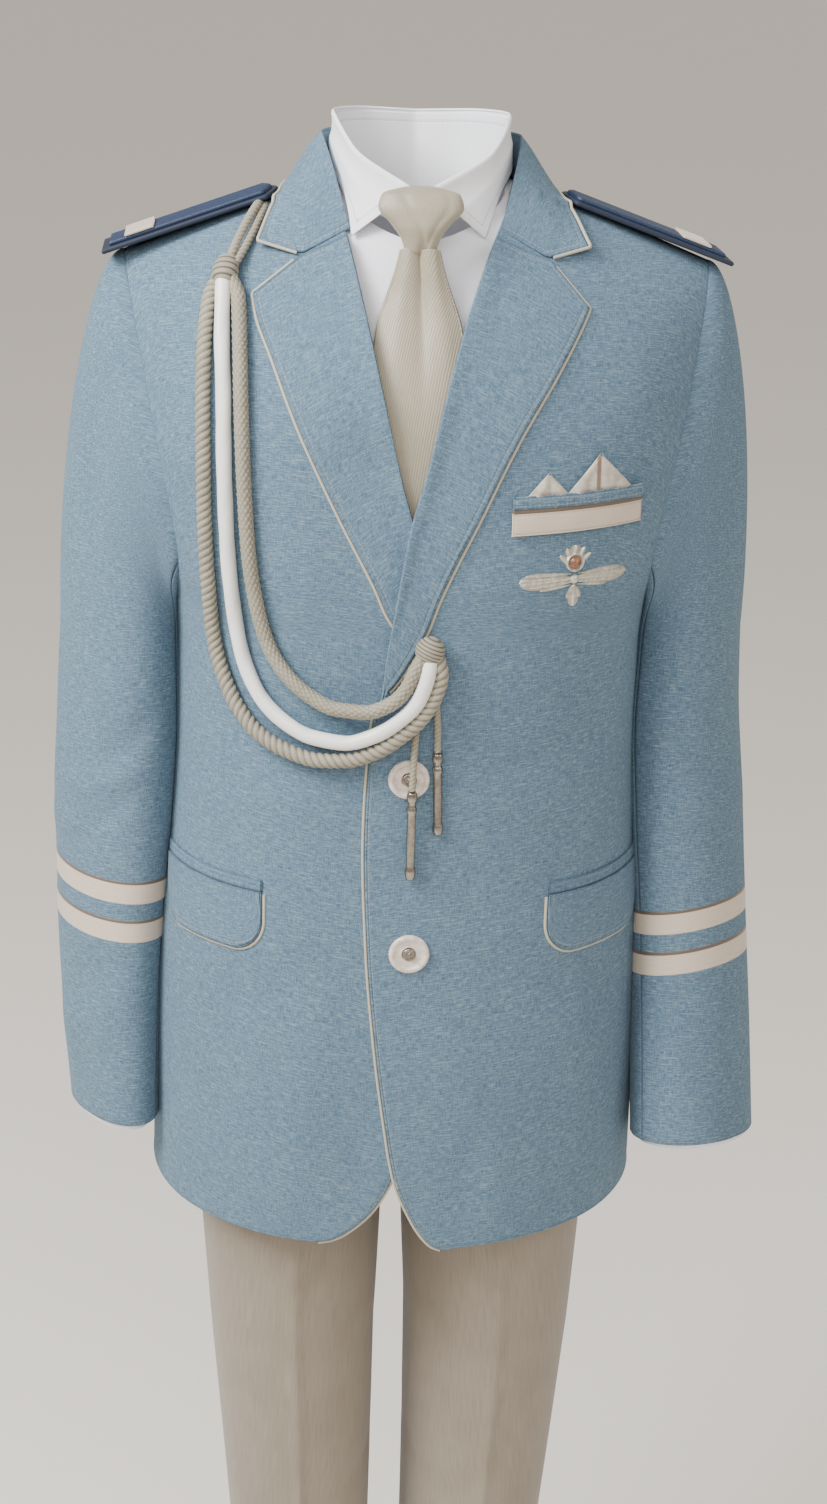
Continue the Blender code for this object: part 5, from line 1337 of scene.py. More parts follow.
# The lip of the pocket hides the kerchief's base
LIP_HEIGHT = 0.0070
LIP_WALL = 0.0012
LIP_LIFT = 0.0018
chest_patch(
    "breast_lip", pocket_x, cord_low + POCKET_CORD + 0.0002, cord_low + POCKET_CORD + LIP_HEIGHT, 12,
    JACKET_CLOTH, LIP_WALL, "jacket_cloth", lambda at, z, share: LIP_LIFT + 0.0003 * np.sin(share * math.pi),
    radius=0.0009, node=False,
)
# Folds: start x, start level, end x, end level, half width, height
KERCHIEF_FOLDS = (
    (0.0915, -0.1385, 0.0935, -0.1615, 0.0016, -0.0008),
    (0.0640, -0.1470, 0.0655, -0.1620, 0.0014, -0.0005),
    (0.0560, -0.1600, 0.0640, -0.1480, 0.0020, 0.0006),
    (0.0780, -0.1590, 0.0900, -0.1400, 0.0024, 0.0008),
    (0.0950, -0.1420, 0.1090, -0.1580, 0.0026, 0.0008),
    (0.0870, -0.1440, 0.0850, -0.1610, 0.0018, -0.0005),
    (0.1020, -0.1490, 0.1000, -0.1605, 0.0018, -0.0006),
    (0.0750, -0.1560, 0.0760, -0.1620, 0.0016, -0.0008),
    (0.0680, -0.1500, 0.0720, -0.1615, 0.0016, 0.0005),
)


def kerchief():
    knots = [row[0] for row in KERCHIEF]
    x = np.unique(np.concatenate([np.linspace(knots[0], knots[-1], 90), knots]))
    low = np.interp(x, knots, [row[1] for row in KERCHIEF])
    high = np.interp(x, knots, [row[2] for row in KERCHIEF])
    chest_patch(
        "kerchief", x, low, high, 26, KERCHIEF_CLOTH, JACKET_WALL, "kerchief_cloth",
        lambda at, z, share: 0.0004 + creases(at, z, KERCHIEF_FOLDS) + 0.0008 * (1 - share) ** 2, "tlr",
        margin=0.04,
    )


kerchief()


# Chest badge: cast metal with a spread fan above, two feathered wings, a drop below and a round brown stone.
# It is one casting, so its leaves and feathers are raised out of one plate.
BADGE_X = 0.081
BADGE_MIDDLE = -0.1985
badge_metal, badge_tone = metal(
    "badge_metal", 0.42, (420, 420, 420), (0.50, 0.47, 0.39), (0.74, 0.71, 0.62), 0.35, 0.25, 0.0003
)
badge_rise = badge_metal.span(badge_metal.number("rim"), 0.0, 1.0)
badge_metal.colour(badge_metal.mix(badge_rise, (0.30, 0.27, 0.22), badge_tone))
badge_metal.shader.inputs["Metallic"].default_value = 0.75
# x and level from the badge's middle, direction in degrees, length, half width, rise
BADGE_LEAVES = (
    (0.0, -0.0010, 90, 0.0150, 0.0085, 0.0009),
    (0.0, 0.0010, 90, 0.0128, 0.0023, 0.0018),
    (0.0, 0.0010, 66, 0.0126, 0.0023, 0.0016),
    (0.0, 0.0010, 114, 0.0126, 0.0023, 0.0016),
    (0.0, 0.0010, 42, 0.0118, 0.0023, 0.0014),
    (0.0, 0.0010, 138, 0.0118, 0.0023, 0.0014),
    (0.0, -0.0080, 270, 0.0125, 0.0050, 0.0012),
    (0.0, -0.0080, 270, 0.0120, 0.0018, 0.0017),
    (0.0, -0.0080, 244, 0.0085, 0.0026, 0.0012),
    (0.0, -0.0080, 296, 0.0085, 0.0026, 0.0012),
)
# each wing: a broad blade and its feathers, by start level, droop in degrees, length, half width, rise
BADGE_WING = (
    (-0.0046, 1, 0.0290, 0.0084, 0.0011),
    (-0.0018, 0, 0.0255, 0.0015, 0.0018),
    (-0.0034, 1, 0.0285, 0.0016, 0.0018),
    (-0.0050, 2, 0.0270, 0.0016, 0.0017),
    (-0.0066, 4, 0.0230, 0.0016, 0.0016),
    (-0.0080, 7, 0.0175, 0.0015, 0.0015),
)
WING_START = 0.0015
for level, droop, length, half, rise in BADGE_WING:
    BADGE_LEAVES += (
        (WING_START, level, -droop, length, half, rise),
        (-WING_START, level, 180 + droop, length, half, rise),
    )
# Ring round the stone and a hub under it: radius, level from the middle, height
BADGE_RING = 0.0052
RING_HALF = 0.0009
RING_HEIGHT = 0.0017
STONE_MIDDLE = 0.0042
STONE_SEAT = 0.0006
HUB_MIDDLE = -0.0050
HUB_RADIUS = 0.0028
HUB_HEIGHT = 0.0022
BADGE_STEP = 0.00028


def badge():
    """Raised plate: every leaf is a soft lens, and the plate ends where nothing is raised."""
    u = np.arange(-0.0310, 0.0311, BADGE_STEP)
    v = np.arange(-0.0220, 0.0160, BADGE_STEP)
    grid_u, grid_v = np.meshgrid(u, v)
    rise = np.zeros_like(grid_u)
    for x, z, turn, length, half, height in BADGE_LEAVES:
        cosine = math.cos(math.radians(turn))
        sine = math.sin(math.radians(turn))
        along = ((grid_u - x) * cosine + (grid_v - z) * sine) / length
        beside = np.abs((grid_v - z) * cosine - (grid_u - x) * sine)
        width = half * np.sqrt(np.clip(4 * along * (1 - along), 0, 1)) * (0.55 + 0.45 * along)
        lens = np.where(beside < width, height * (1 - 0.75 * beside / np.maximum(width, 1e-6)), 0)
        rise = np.maximum(rise, lens)
    ring = np.abs(np.hypot(grid_u, grid_v - STONE_MIDDLE) - BADGE_RING + 0.0007)

    def rounded(away, radius, height):
        return np.where(away < radius, height * np.sqrt(np.clip(1 - (away / radius) ** 2, 0, 1)), 0)

    rise = np.maximum(rise, rounded(ring, RING_HALF, RING_HEIGHT))
    disc = np.hypot(grid_u, grid_v - STONE_MIDDLE) < BADGE_RING - RING_HALF
    rise = np.where(disc, STONE_SEAT, rise)
    hub = np.hypot(grid_u, grid_v - HUB_MIDDLE)
    rise = np.maximum(rise, rounded(hub, HUB_RADIUS, HUB_HEIGHT))
    inside = rise > 0
    points, _ = on_body(BADGE_X + grid_u, BADGE_MIDDLE + grid_v, LAY_GAP + TRIM_WALL * 0.35 + rise)
    under, _ = on_body(BADGE_X + grid_u, BADGE_MIDDLE + grid_v, LAY_GAP + 0 * rise)
    quad = inside[:-1, :-1] & inside[1:, :-1] & inside[:-1, 1:] & inside[1:, 1:]
    bm = bmesh.new()
    height_of = bm.verts.layers.float.new("rim")
    upper = {}
    lower = {}

    def vertex(held, place, source):
        if place not in held:
            held[place] = bm.verts.new(source[place])
            held[place][height_of] = min(float(rise[place]) / 0.0013, 1.0)
        return held[place]

    for i, j in zip(*np.nonzero(quad)):
        corners = ((i, j), (i, j + 1), (i + 1, j + 1), (i + 1, j))
        bm.faces.new([vertex(upper, place, points) for place in corners])
        bm.faces.new([vertex(lower, place, under) for place in corners[::-1]])
    place_of = {vert: place for place, vert in upper.items()}
    for edge in [edge for edge in bm.edges if edge.is_boundary and edge.verts[0] in place_of]:
        a, b = edge.verts
        bm.faces.new((a, b, lower[place_of[b]], lower[place_of[a]]))
    dress(plain_piece("look_wing_badge", bm, badge_metal.material), "wing_badge")


badge()
# Badge stone: a polished brown cabochon set in the badge's ring.
# Its body is clouded under a clear coat.
STONE_RADIUS = 0.0036
STONE_RISE = 0.0024
STONE_SUNK = -0.0004
STONE_LIFT = 0.0012
stone = Look("badge_stone", 0.16)
stone_cloud = stone.noise(stone.spot((260, 260, 340)), 4.0, 0.6)
stone.colour(stone.mix(stone.span(stone_cloud, 0.35, 0.68), (0.105, 0.040, 0.020), (0.30, 0.125, 0.055)))
stone.shader.inputs["Coat Weight"].default_value = 0.6
stone.bump(stone_cloud, 0.05, 0.0004)


def on_front(place, height):
    """Point and direction out at one place (x, level) of the front."""
    point, out = on_body(np.array([place[0]]), np.array([place[1]]), height)
    return point[0], out[0]


def badge_stone():
    place, out = on_front((BADGE_X, BADGE_MIDDLE + STONE_MIDDLE), LAY_GAP + STONE_LIFT)
    turn = np.linspace(0, math.pi / 2, 12)
    dome = [(STONE_RISE * math.sin(a), STONE_RADIUS * math.cos(a)) for a in turn]
    profile = [(STONE_SUNK, 0.0), (STONE_SUNK, STONE_RADIUS)] + dome
    made = turned_piece("look_badge_stone", profile, place, out, 40, stone.material)
    dress(made, "badge_stone")


badge_stone()


# Buttons: turned pearl with a raised rim and a dished face, and a small metal cap in the middle.
# The pearl has a soft cloudy figure under a clear polish.
BUTTON_UPPER = (-0.005, -0.314)
BUTTON_LOWER = (-0.002, -0.418)
pearl = Look("button_pearl", 0.22)
pearl_cloud = pearl.noise(pearl.spot((170, 120, 230)), 4.0, 0.62)
pearl_vein = pearl.noise(pearl.spot((700, 160, 420)), 3.0, 0.5)
pearl_tone = pearl.mix(pearl.span(pearl_cloud, 0.32, 0.70), (0.50, 0.41, 0.35), (0.74, 0.65, 0.58))
pearl_veined = pearl.span(pearl_vein, 0.45, 0.75, 0.0, 0.35)
pearl.colour(pearl.mix(pearl_veined, pearl_tone, (0.82, 0.75, 0.69)))
pearl.shader.inputs["Coat Weight"].default_value = 0.5
pearl.shader.inputs["Coat Roughness"].default_value = 0.12
pearl.shader.inputs["Subsurface Weight"].default_value = 0.12
pearl.shader.inputs["Subsurface Radius"].default_value = (0.002, 0.0015, 0.001)
pearl.bump(pearl_vein, 0.06, 0.0004)
cap_metal, _ = metal(
    "button_metal", 0.38, (600, 600, 600), (0.20, 0.165, 0.135), (0.42, 0.37, 0.31), 0.35, 0.3, 0.0003
)
# Profiles: height, radius
PEARL_PROFILE = (
    (0.0000, 0.0),
    (0.0000, 0.0088),
    (0.0004, 0.0105),
    (0.0010, 0.0113),
    (0.0018, 0.0115),
    (0.0026, 0.0112),
    (0.0031, 0.0105),
    (0.0033, 0.0098),
    (0.0032, 0.0091),
    (0.0027, 0.0084),
    (0.0023, 0.0077),
    (0.0021, 0.0066),
    (0.0021, 0.0054),
    (0.0023, 0.0048),
    (0.0024, 0.0045),
    (0.0022, 0.0041),
    (0.0016, 0.0038),
    (0.0012, 0.0),
)
CAP_PROFILE = (
    (0.0012, 0.0),
    (0.0012, 0.0037),
    (0.0026, 0.0037),
    (0.0032, 0.0034),
    (0.0034, 0.0029),
    (0.0031, 0.0024),
    (0.0031, 0.0014),
    (0.0036, 0.0010),
    (0.0038, 0.0),
)


def button(word, place):
    x, z = np.array(place[0]), np.array(place[1])
    ground = float(creases(x, z, FRONT_LEFT_CREASES)) * CREASE_DEPTH
    point, out = on_front(place, LAY_GAP + max(ground, 0))
    made = turned_piece(f"look_button_{word}", PEARL_PROFILE, point, out, 64, pearl.material)
    dress(made, f"button_{word}")
    turned_piece(f"look_button_cap_{word}", CAP_PROFILE, point, out, 40, cap_metal.material)


button("upper", BUTTON_UPPER)
button("lower", BUTTON_LOWER)


# Epaulettes: a stiff navy board and a narrower one on it, covered in satin with lengthwise cords,
# with a cream ribbon slide near the outer end. They lie along the shoulder seam.
BOARD_INNER = 0.0765
BOARD_OUTER = 0.1715
BOARD_HALF = 0.0190
BOARD_UPPER_HALF = 0.0145
BOARD_SLOPE = 0.355
BOARD_THICK = 0.0025
BOARD_LOW = 0.0014
BOARD_ROUND = 0.0009
SLIDE_AT = 0.150
SLIDE_HALF_LENGTH = 0.0085
STRETCH = math.sqrt(1 + BOARD_SLOPE**2)
BOARD_NAVY = plain_cloth(
    "board_cloth", (0.005, 0.012, 0.036), (0.003, 0.006, 0.016), period=0.0009, roughness=0.62,
    sheen=0.03, streak=0.5,
)
SATIN_BLUE = plain_cloth(
    "board_satin", (0.012, 0.030, 0.080), (0.005, 0.011, 0.033), period=0.0005, roughness=0.40,
    sheen=0.04, streak=0.6,
)


def shoulder_frame(side):
    """Frame on the shoulder seam: x runs outwards along it, z stands up from it."""
    slope = math.atan(BOARD_SLOPE)
    base = Matrix.Translation((0, 0, ridge(BOARD_INNER) + BOARD_INNER * BOARD_SLOPE - 0.0006))
    if side > 0:
        return base @ Matrix.Rotation(slope, 4, "Y")
    return base @ Matrix.Scale(-1, 4, (1, 0, 0)) @ Matrix.Rotation(slope, 4, "Y")


def board_section(half, low, high, cords, depth):
    """Closed section of a board: flat below, rounded sides, cords along the top."""
    across = np.linspace(-1, 1, 61)
    top = high - depth * (1 - np.abs(np.cos(across * math.pi * cords / 2)) ** 0.7)
    side = np.linspace(0, math.pi, 11)[1:-1]
    middle = (low + high) / 2
    radius = (high - low) / 2
    right_x = half + radius * 0.5 * np.sin(side) - radius * 0.5
    right = np.stack([right_x, middle + radius * np.cos(side)], axis=-1)
    left = right[::-1] * np.array([-1, 1])
    upper = np.stack([across * (half - radius * 0.5), top], axis=-1)
    lower = np.stack([-across[::6] * (half - radius * 0.5), low + 0 * across[::6]], axis=-1)
    ring = np.concatenate([upper, right, lower, left])
    return np.concatenate([ring, ring[:1]])


def board(name, node, side, half, inner, outer, point, low, high, cords, depth, look):
    """Board along the shoulder from inner to outer, drawn in over its pointed inner end."""
    shape = board_section(half, low, high, cords, depth)
    u = spaced(56, 0.02)
    x = inner + (outer - inner) * u
    narrow = np.clip((x - inner) / point, 0.02, 1) ** 0.9
    end = np.minimum(x - inner, outer - x)
    round_over = np.sqrt(np.clip(1 - np.clip(1 - end / BOARD_ROUND, 0, 1) ** 2, 0.05, 1))
    middle = (low + high) / 2
    grid = np.zeros((len(x), len(shape), 3))
    grid[..., 0] = x[:, None]
    grid[..., 1] = shape[None, :, 0] * narrow[:, None]
    grid[..., 2] = middle + (shape[None, :, 1] - middle) * round_over[:, None]
    frame_here = np.array(shoulder_frame(side))
    points = grid @ frame_here[:3, :3].T + frame_here[:3, 3]
    weave = np.stack([run_lengths(grid, 1), x[:, None] + 0 * grid[..., 1]], axis=-1)
    dress(solid_grid(name, points, look, weave), node)


def epaulette(word, side):
    inner = BOARD_INNER * STRETCH
    outer = BOARD_OUTER * STRETCH
    middle = BOARD_LOW + BOARD_THICK
    top = middle + BOARD_THICK - 0.0006
    board(
        f"look_epaulette_{word}", f"epaulette_{word}", side, BOARD_HALF, inner, outer, 0.006,
        BOARD_LOW, middle, 1, 0.0, BOARD_NAVY,
    )
    board(
        f"look_board_{word}", None, side, BOARD_UPPER_HALF, inner + 0.003, outer - 0.005, 0.005,
        middle - 0.0002, top + 0.0004, 5, 0.0010, SATIN_BLUE,
    )
    at = SLIDE_AT * STRETCH
    board(
        f"look_epaulette_slide_{word}", f"epaulette_slide_{word}", side, BOARD_UPPER_HALF + 0.0006,
        at - SLIDE_HALF_LENGTH, at + SLIDE_HALF_LENGTH, 0.0004,
        top + 0.0003, top + 0.0018, 1, 0.0, RIBBON,
    )


epaulette("left", 1)
epaulette("right", -1)
# Aiguillette: a doubled thin cord comes from under the epaulette into a wound knot.
# Three cords hang from it in loops to a boss at the lapel: twisted beige, white satin and braided beige.
# Places on a cord: x, level, height above the front
STRAND_OUTER = (
    (-0.1060, -0.0575, 0.0065),
    (-0.1118, -0.066, 0.0046),
    (-0.1145, -0.088, 0.0046),
    (-0.1150, -0.112, 0.0042),
    (-0.1145, -0.140, 0.0042),
    (-0.1140, -0.163, 0.0042),
    (-0.1125, -0.192, 0.0044),
    (-0.1100, -0.221, 0.0046),
    (-0.1065, -0.248, 0.0048),
    (-0.0990, -0.272, 0.0050),
    (-0.0860, -0.291, 0.0052),
    (-0.0700, -0.300, 0.0055),
    (-0.0540, -0.3035, 0.0058),
    (-0.0380, -0.3020, 0.0064),
    (-0.0240, -0.2965, 0.0072),
    (-0.0110, -0.2870, 0.0082),
    (0.0010, -0.2740, 0.0090),
    (0.0075, -0.2610, 0.0090),
    (0.0095, -0.2510, 0.0085),
    (0.0075, -0.2420, 0.0070),
)
STRAND_MIDDLE = (
    (-0.1038, -0.0570, 0.0085),
    (-0.1045, -0.068, 0.0074),
    (-0.1050, -0.088, 0.0058),
    (-0.1045, -0.112, 0.0042),
    (-0.1040, -0.140, 0.0042),
    (-0.1030, -0.165, 0.0042),
    (-0.1010, -0.195, 0.0044),
    (-0.0975, -0.224, 0.0046),
    (-0.0925, -0.250, 0.0048),
    (-0.0840, -0.270, 0.0052),
    (-0.0715, -0.283, 0.0055),
    (-0.0560, -0.2905, 0.0058),
    (-0.0400, -0.2920, 0.0064),
    (-0.0250, -0.2870, 0.0072),
    (-0.0120, -0.2775, 0.0088),
    (-0.0020, -0.2650, 0.0102),
    (0.0025, -0.2510, 0.0105),
    (0.0035, -0.2420, 0.0085),
)
STRAND_INNER = (
    (-0.1012, -0.0570, 0.0068),
    (-0.0972, -0.066, 0.0052),
    (-0.0962, -0.088, 0.0048),
    (-0.0955, -0.112, 0.0046),
    (-0.0945, -0.140, 0.0042),
    (-0.0930, -0.165, 0.0042),
    (-0.0905, -0.193, 0.0044),
    (-0.0860, -0.219, 0.0046),
    (-0.0800, -0.240, 0.0048),
    (-0.0705, -0.256, 0.0052),
    (-0.0580, -0.267, 0.0055),
    (-0.0440, -0.2730, 0.0060),
    (-0.0300, -0.2735, 0.0068),
    (-0.0180, -0.2690, 0.0080),
    (-0.0090, -0.2600, 0.0088),
    (-0.0040, -0.2490, 0.0085),
    (0.0005, -0.2410, 0.0072),
)
STRAND_RADIUS = 0.0042
STRAND_LIFT = 0.0009
KNOT_TOP = (-0.0960, -0.0300, 0.0067)
KNOT_END = (-0.1045, -0.0620, 0.0091)
BOSS = (0.0035, -0.2385, 0.0070)
TAIL_RIGHT = (
    (0.0000, -0.2580, 0.0026),
    (-0.0010, -0.2720, 0.0026),
    (-0.0022, -0.2870, 0.0042),
    (-0.0030, -0.2990, 0.0070),
    (-0.0035, -0.3185, 0.0076),
)
TAIL_LEFT = (
    (0.0075, -0.2540, 0.0027),
    (0.0085, -0.2720, 0.0028),
    (0.0095, -0.2850, 0.0030),
    (0.0098, -0.2975, 0.0032),
)
TAIL_RADIUS = 0.0020
# Both ends of each pencil: x, level, height above the front
PENCIL_RIGHT = ((-0.0035, -0.3190, 0.0080), (-0.0030, -0.3720, 0.0050))
PENCIL_LEFT = ((0.0098, -0.2980, 0.0032), (0.0115, -0.3460, 0.0032))
PENCIL_RADIUS = 0.0030


def cord_look(name, light, dark, roughness, sheen, fine):
    """Yarn: painted shade darkens it where the relief is low, between the plies and turns, with fine fibres
    along the lay.
    """
    look = Look(name, roughness)
    depth = look.number("rim")
    fibre = look.noise(look.place((2400, 500), 32), 2.0, 0.5)
    cloud = look.noise(look.spot((45, 45, 45)), 2.0, 0.5)
    # Painted shade: the grooves between plies and turns take the dark tone.
    body = look.mix(look.span(depth, 0.70, 0.97), dark, light)
    body = look.mix(look.span(fibre, 0.35, 0.75, 0.0, fine), body, dark)
    body = look.mix(look.span(cloud, 0.3, 0.75, 0.0, 0.18), body, dark)
    look.colour(body)
    look.bump(fibre, 0.3, 0.0003)
    look.sheen(sheen, 0.35)
    return look.material


# Each yarn's dark tone is also its painted shade in the grooves.
BEIGE_CORD = cord_look("beige_cord", (0.345, 0.312, 0.235), (0.085, 0.070, 0.050), 0.66, 0.10, 0.35)
WHITE_CORD = cord_look("white_cord", (0.84, 0.83, 0.79), (0.50, 0.49, 0.46), 0.30, 0.2, 0.15)
YARNS = {"beige_cord": BEIGE_CORD, "white_cord": WHITE_CORD}


def cord_run(rows, spacing, lift=0.0):
    """Points of a cord from its places, evenly spaced."""
    rows = np.array(rows)
    run = np.concatenate([[0], np.cumsum(np.linalg.norm(np.diff(rows[:, :2], axis=0), axis=1))])
    at = np.linspace(0, run[-1], max(4, round(run[-1] / spacing) + 1))
    x, z, height = (value(np.column_stack([run, rows[:, k]]), at) for k in range(3))
    point, _ = on_body(x, z, height + lift)
    return point


def twisted(plies, pitch, depth):
    def relief(run, angle):
        return 1 - depth + depth * np.abs(np.cos(plies / 2 * (angle - 2 * math.pi * run / pitch))) ** 0.8

    return relief


def braided(around, pitch, depth):
    def relief(run, angle):
        first = np.cos(around / 2 * angle + 2 * math.pi * run / pitch)
        second = np.cos(around / 2 * angle - 2 * math.pi * run / pitch)
        return 1 - depth + depth * np.sqrt(np.abs(first * second))

    return relief


def free_cord(
    name, rows, radius, sides, relief, spacing, yarn, lift=STRAND_LIFT
):
    """Cord through its places just off the front, built as a ribbed tube round its middle line."""
    points = cord_run(rows, spacing, lift)
    made = dress(rope(f"look_{name}", points, radius, sides, relief, YARNS[yarn]), name)


# Cords: name, places, sides, relief, spacing of the rings, yarn
STRANDS = (
    ("outer", STRAND_OUTER, 30, twisted(3, 0.0125, 0.24), 0.0007, "beige_cord"),
    ("middle", STRAND_MIDDLE, 24, twisted(2, 0.060, 0.05), 0.0015, "white_cord"),
    ("inner", STRAND_INNER, 32, braided(8, 0.0085, 0.22), 0.0006, "beige_cord"),
)
for word, rows, sides, relief, spacing, yarn in STRANDS:
    free_cord(f"aiguillette_{word}", rows, STRAND_RADIUS, sides, relief, spacing, yarn)


def between(start, end):
    start_point, _ = on_front(start[:2], start[2])
    end_point, _ = on_front(end[:2], end[2])
    return start_point, end_point


# Pencil ends: turned metal tips on the two short tails, ringed at the top and above the point.
# The metal is polished, with a faint cloud in its tone.
pencil_metal, _ = metal(
    "pencil_metal", 0.24, (500, 500, 300), (0.270, 0.235, 0.195), (0.390, 0.350, 0.300), 0.3, 0.06, 0.0002
)
# Share of the length, share of the radius
PENCIL_PROFILE = (
    (0.000, 0.00),
    (0.000, 0.80),
    (0.010, 0.90),
    (0.050, 1.00),
    (0.085, 0.98),
    (0.105, 0.86),
    (0.120, 0.70),
    (0.150, 0.68),
    (0.165, 0.82),
    (0.190, 0.95),
    (0.215, 0.95),
    (0.240, 0.82),
    (0.255, 0.74),
    (0.300, 0.78),
    (0.560, 0.84),
    (0.840, 0.78),
    (0.858, 0.82),
    (0.870, 0.92),
    (0.900, 0.97),
    (0.950, 0.95),
    (0.980, 0.86),
    (0.994, 0.66),
    (1.000, 0.40),
    (1.000, 0.00),
)


def pencil(word, place):
    start, end = between(*place)
    axis = end - start
    length = float(np.linalg.norm(axis))
    profile = [(along * length, radius * PENCIL_RADIUS) for along, radius in PENCIL_PROFILE]
    name = f"aiguillette_pencil_{word}"
    made = turned_piece(f"look_{name}", profile, start, axis, 32, pencil_metal.material)
    return dress(made, name)


for word, rows, place in (("left", TAIL_LEFT, PENCIL_LEFT), ("right", TAIL_RIGHT, PENCIL_RIGHT)):
    tip = pencil(word, place)
    relief = twisted(3, 0.0075, 0.22)
    name = f"aiguillette_tail_{word}"
    free_cord(name, rows, TAIL_RADIUS, 20, relief, 0.0006, "beige_cord", 0.0)


# Knot and boss: cord wound round in close turns over a core.
# Two thinner cords run from the knot up under the epaulette.
WOUND_ROWS = 150
WOUND_SIDES = 44


def wound(word, start, end, profile, turns, depth):
    """Turns of cord wound round an axis; profile rows are (share of the way, radius)."""
    share = np.linspace(0, 1, WOUND_ROWS)
    line = start + (end - start) * share[:, None]
    size = value(profile, share)
    angle = np.linspace(0, 2 * math.pi, WOUND_SIDES + 1)
    winding = np.abs(np.cos(math.pi * turns * share[:, None] - angle[None, :] / 2)) ** 0.7
    grid, weave = tube_grid(line, 1.0, WOUND_SIDES, lambda run, a: size[:, None] - depth + depth * winding)
    name = f"aiguillette_{word}"
    # The winding also sets the yarn's painted shade between the turns.
    made = solid_grid(f"look_{name}", grid, BEIGE_CORD, weave, 0.62 + 0.38 * winding)
    dress(made, name)


# Middle line between the two cords above the knot: x, level, height above the front
KNOT_CORD = (
    (-0.0850, -0.0220, 0.0026),
    (-0.0880, -0.0275, 0.0040),
    (-0.0920, -0.0350, 0.0052),
    (-0.0960, -0.0430, 0.0066),
    (-0.0995, -0.0505, 0.0080),
)
# Profiles: share of the way, radius
KNOT_PROFILE = (
    (0.00, 0.0010),
    (0.03, 0.0032),
    (0.10, 0.0050),
    (0.30, 0.0064),
    (0.55, 0.0070),
    (0.80, 0.0066),
    (0.94, 0.0052),
    (1.00, 0.0030),
)


def knot():
    start, end = between(KNOT_TOP, KNOT_END)
    ahead = unit(end - start)
    ball_start = start + (end - start) * 0.60
    wound("knot", ball_start, end - ahead * 0.0005, KNOT_PROFILE, 5, 0.0006)
    middle = cord_run(KNOT_CORD, 0.0005)
    share = np.linspace(0, 1, len(middle))[:, None]
    beside = unit(np.cross(np.gradient(middle, axis=0), (0.0, -1.0, 0.0)))
    for number, sign in enumerate((-1, 1)):
        line = middle + beside * sign * (0.0019 + 0.0008 * np.sin(share * math.pi))
        loop = rope(f"look_knot_cord_{number + 1}", line, 0.0024, 22, twisted(3, 0.0090, 0.22), BEIGE_CORD)
        dress(loop, None)


knot()

BOSS_PROFILE = (
    (0.00, 0.0012),
    (0.04, 0.0034),
    (0.12, 0.0054),
    (0.30, 0.0074),
    (0.50, 0.0081),
    (0.70, 0.0074),
    (0.88, 0.0054),
    (0.96, 0.0034),
    (1.00, 0.0012),
)
boss_at, boss_out = on_front(BOSS[:2], BOSS[2])
boss_lean = np.array([0.45, 0.0, 1.0])
boss_axis = unit(boss_lean - boss_out * np.dot(boss_out, boss_lean))
boss_half = boss_axis * 0.0080
wound("boss", boss_at - boss_half, boss_at + boss_half, BOSS_PROFILE, 8, 0.0005)


# Sleeve bands: satin ribbon sewn flat round each sleeve, with a narrow brown line on the upper edge.
# The left sleeve's bands stand lower than the right one's.
# How far below the upper edge the brown line starts to show and is full
BAND_LINE = (0.0024, 0.0018)
BAND_HEIGHT = 0.0145
BANDS_RIGHT = (-0.4065, -0.4310)
BANDS_LEFT = (-0.4230, -0.4475)
# How much higher each band sits on the outer side of the arm
BAND_TILT = {1: 0.0050, -1: 0.0010}
band_ribbon = Look("sleeve_band", 0.52)
band_streak = band_ribbon.noise(band_ribbon.place((70, 1300)), 2.0, 0.5)
band_weave = band_ribbon.weave(0.0006)
band_streaked = band_ribbon.span(band_streak, 0.3, 0.7, 0.0, 0.35)
band_body = band_ribbon.mix(band_streaked, (0.62, 0.52, 0.42), (0.45, 0.36, 0.28))
band_body = band_ribbon.mix(band_ribbon.span(band_weave, -1, 1, 0.0, 0.12), band_body, (0.40, 0.32, 0.25))
band_place = band_ribbon.add("ShaderNodeSeparateXYZ", {0: band_ribbon.place((1, 1))}).outputs[1]
band_line = band_ribbon.span(band_place, BAND_HEIGHT - BAND_LINE[0], BAND_HEIGHT - BAND_LINE[1])
band_ribbon.colour(band_ribbon.mix(band_line, band_body, (0.125, 0.085, 0.060)))
band_ribbon.bump(band_ribbon.stitches(0.0010), 0.4, 0.0003)
band_ribbon.bump(band_weave, 0.2, 0.0002)
band_ribbon.sheen(0.3, 0.35)


def sleeve_band(name, table, side, top, folds):
    turn = 2 * math.pi * np.linspace(0, 1, 145)
    levels = top - BAND_HEIGHT * (1 - spaced(14, 0.06))
    tilt = BAND_TILT[side] * np.cos(turn)
    points = np.array([sleeve_ring(table, level + tilt, turn, side) for level in levels])
    out = -sheet_normals(points, closed=True) * side
    height = np.maximum(arm_creases(turn, points, folds), 0) + LAY_GAP + TRIM_WALL
    shaped = points + out * height[..., None]
    cloth_sheet(
        name, shaped, band_ribbon.material, TRIM_WALL, "bt", "band_ribbon",
        closed=True, radius=0.0006, flip=side > 0,
    )


for word, table, side, levels, folds in (
    ("left", SLEEVE_LEFT, 1, BANDS_LEFT, SLEEVE_CREASES_LEFT),
    ("right", SLEEVE_RIGHT, -1, BANDS_RIGHT, SLEEVE_CREASES_RIGHT),
):
    for number, level in enumerate(levels):
        sleeve_band(f"sleeve_band_{word}_{number + 1}", table, side, level, folds)
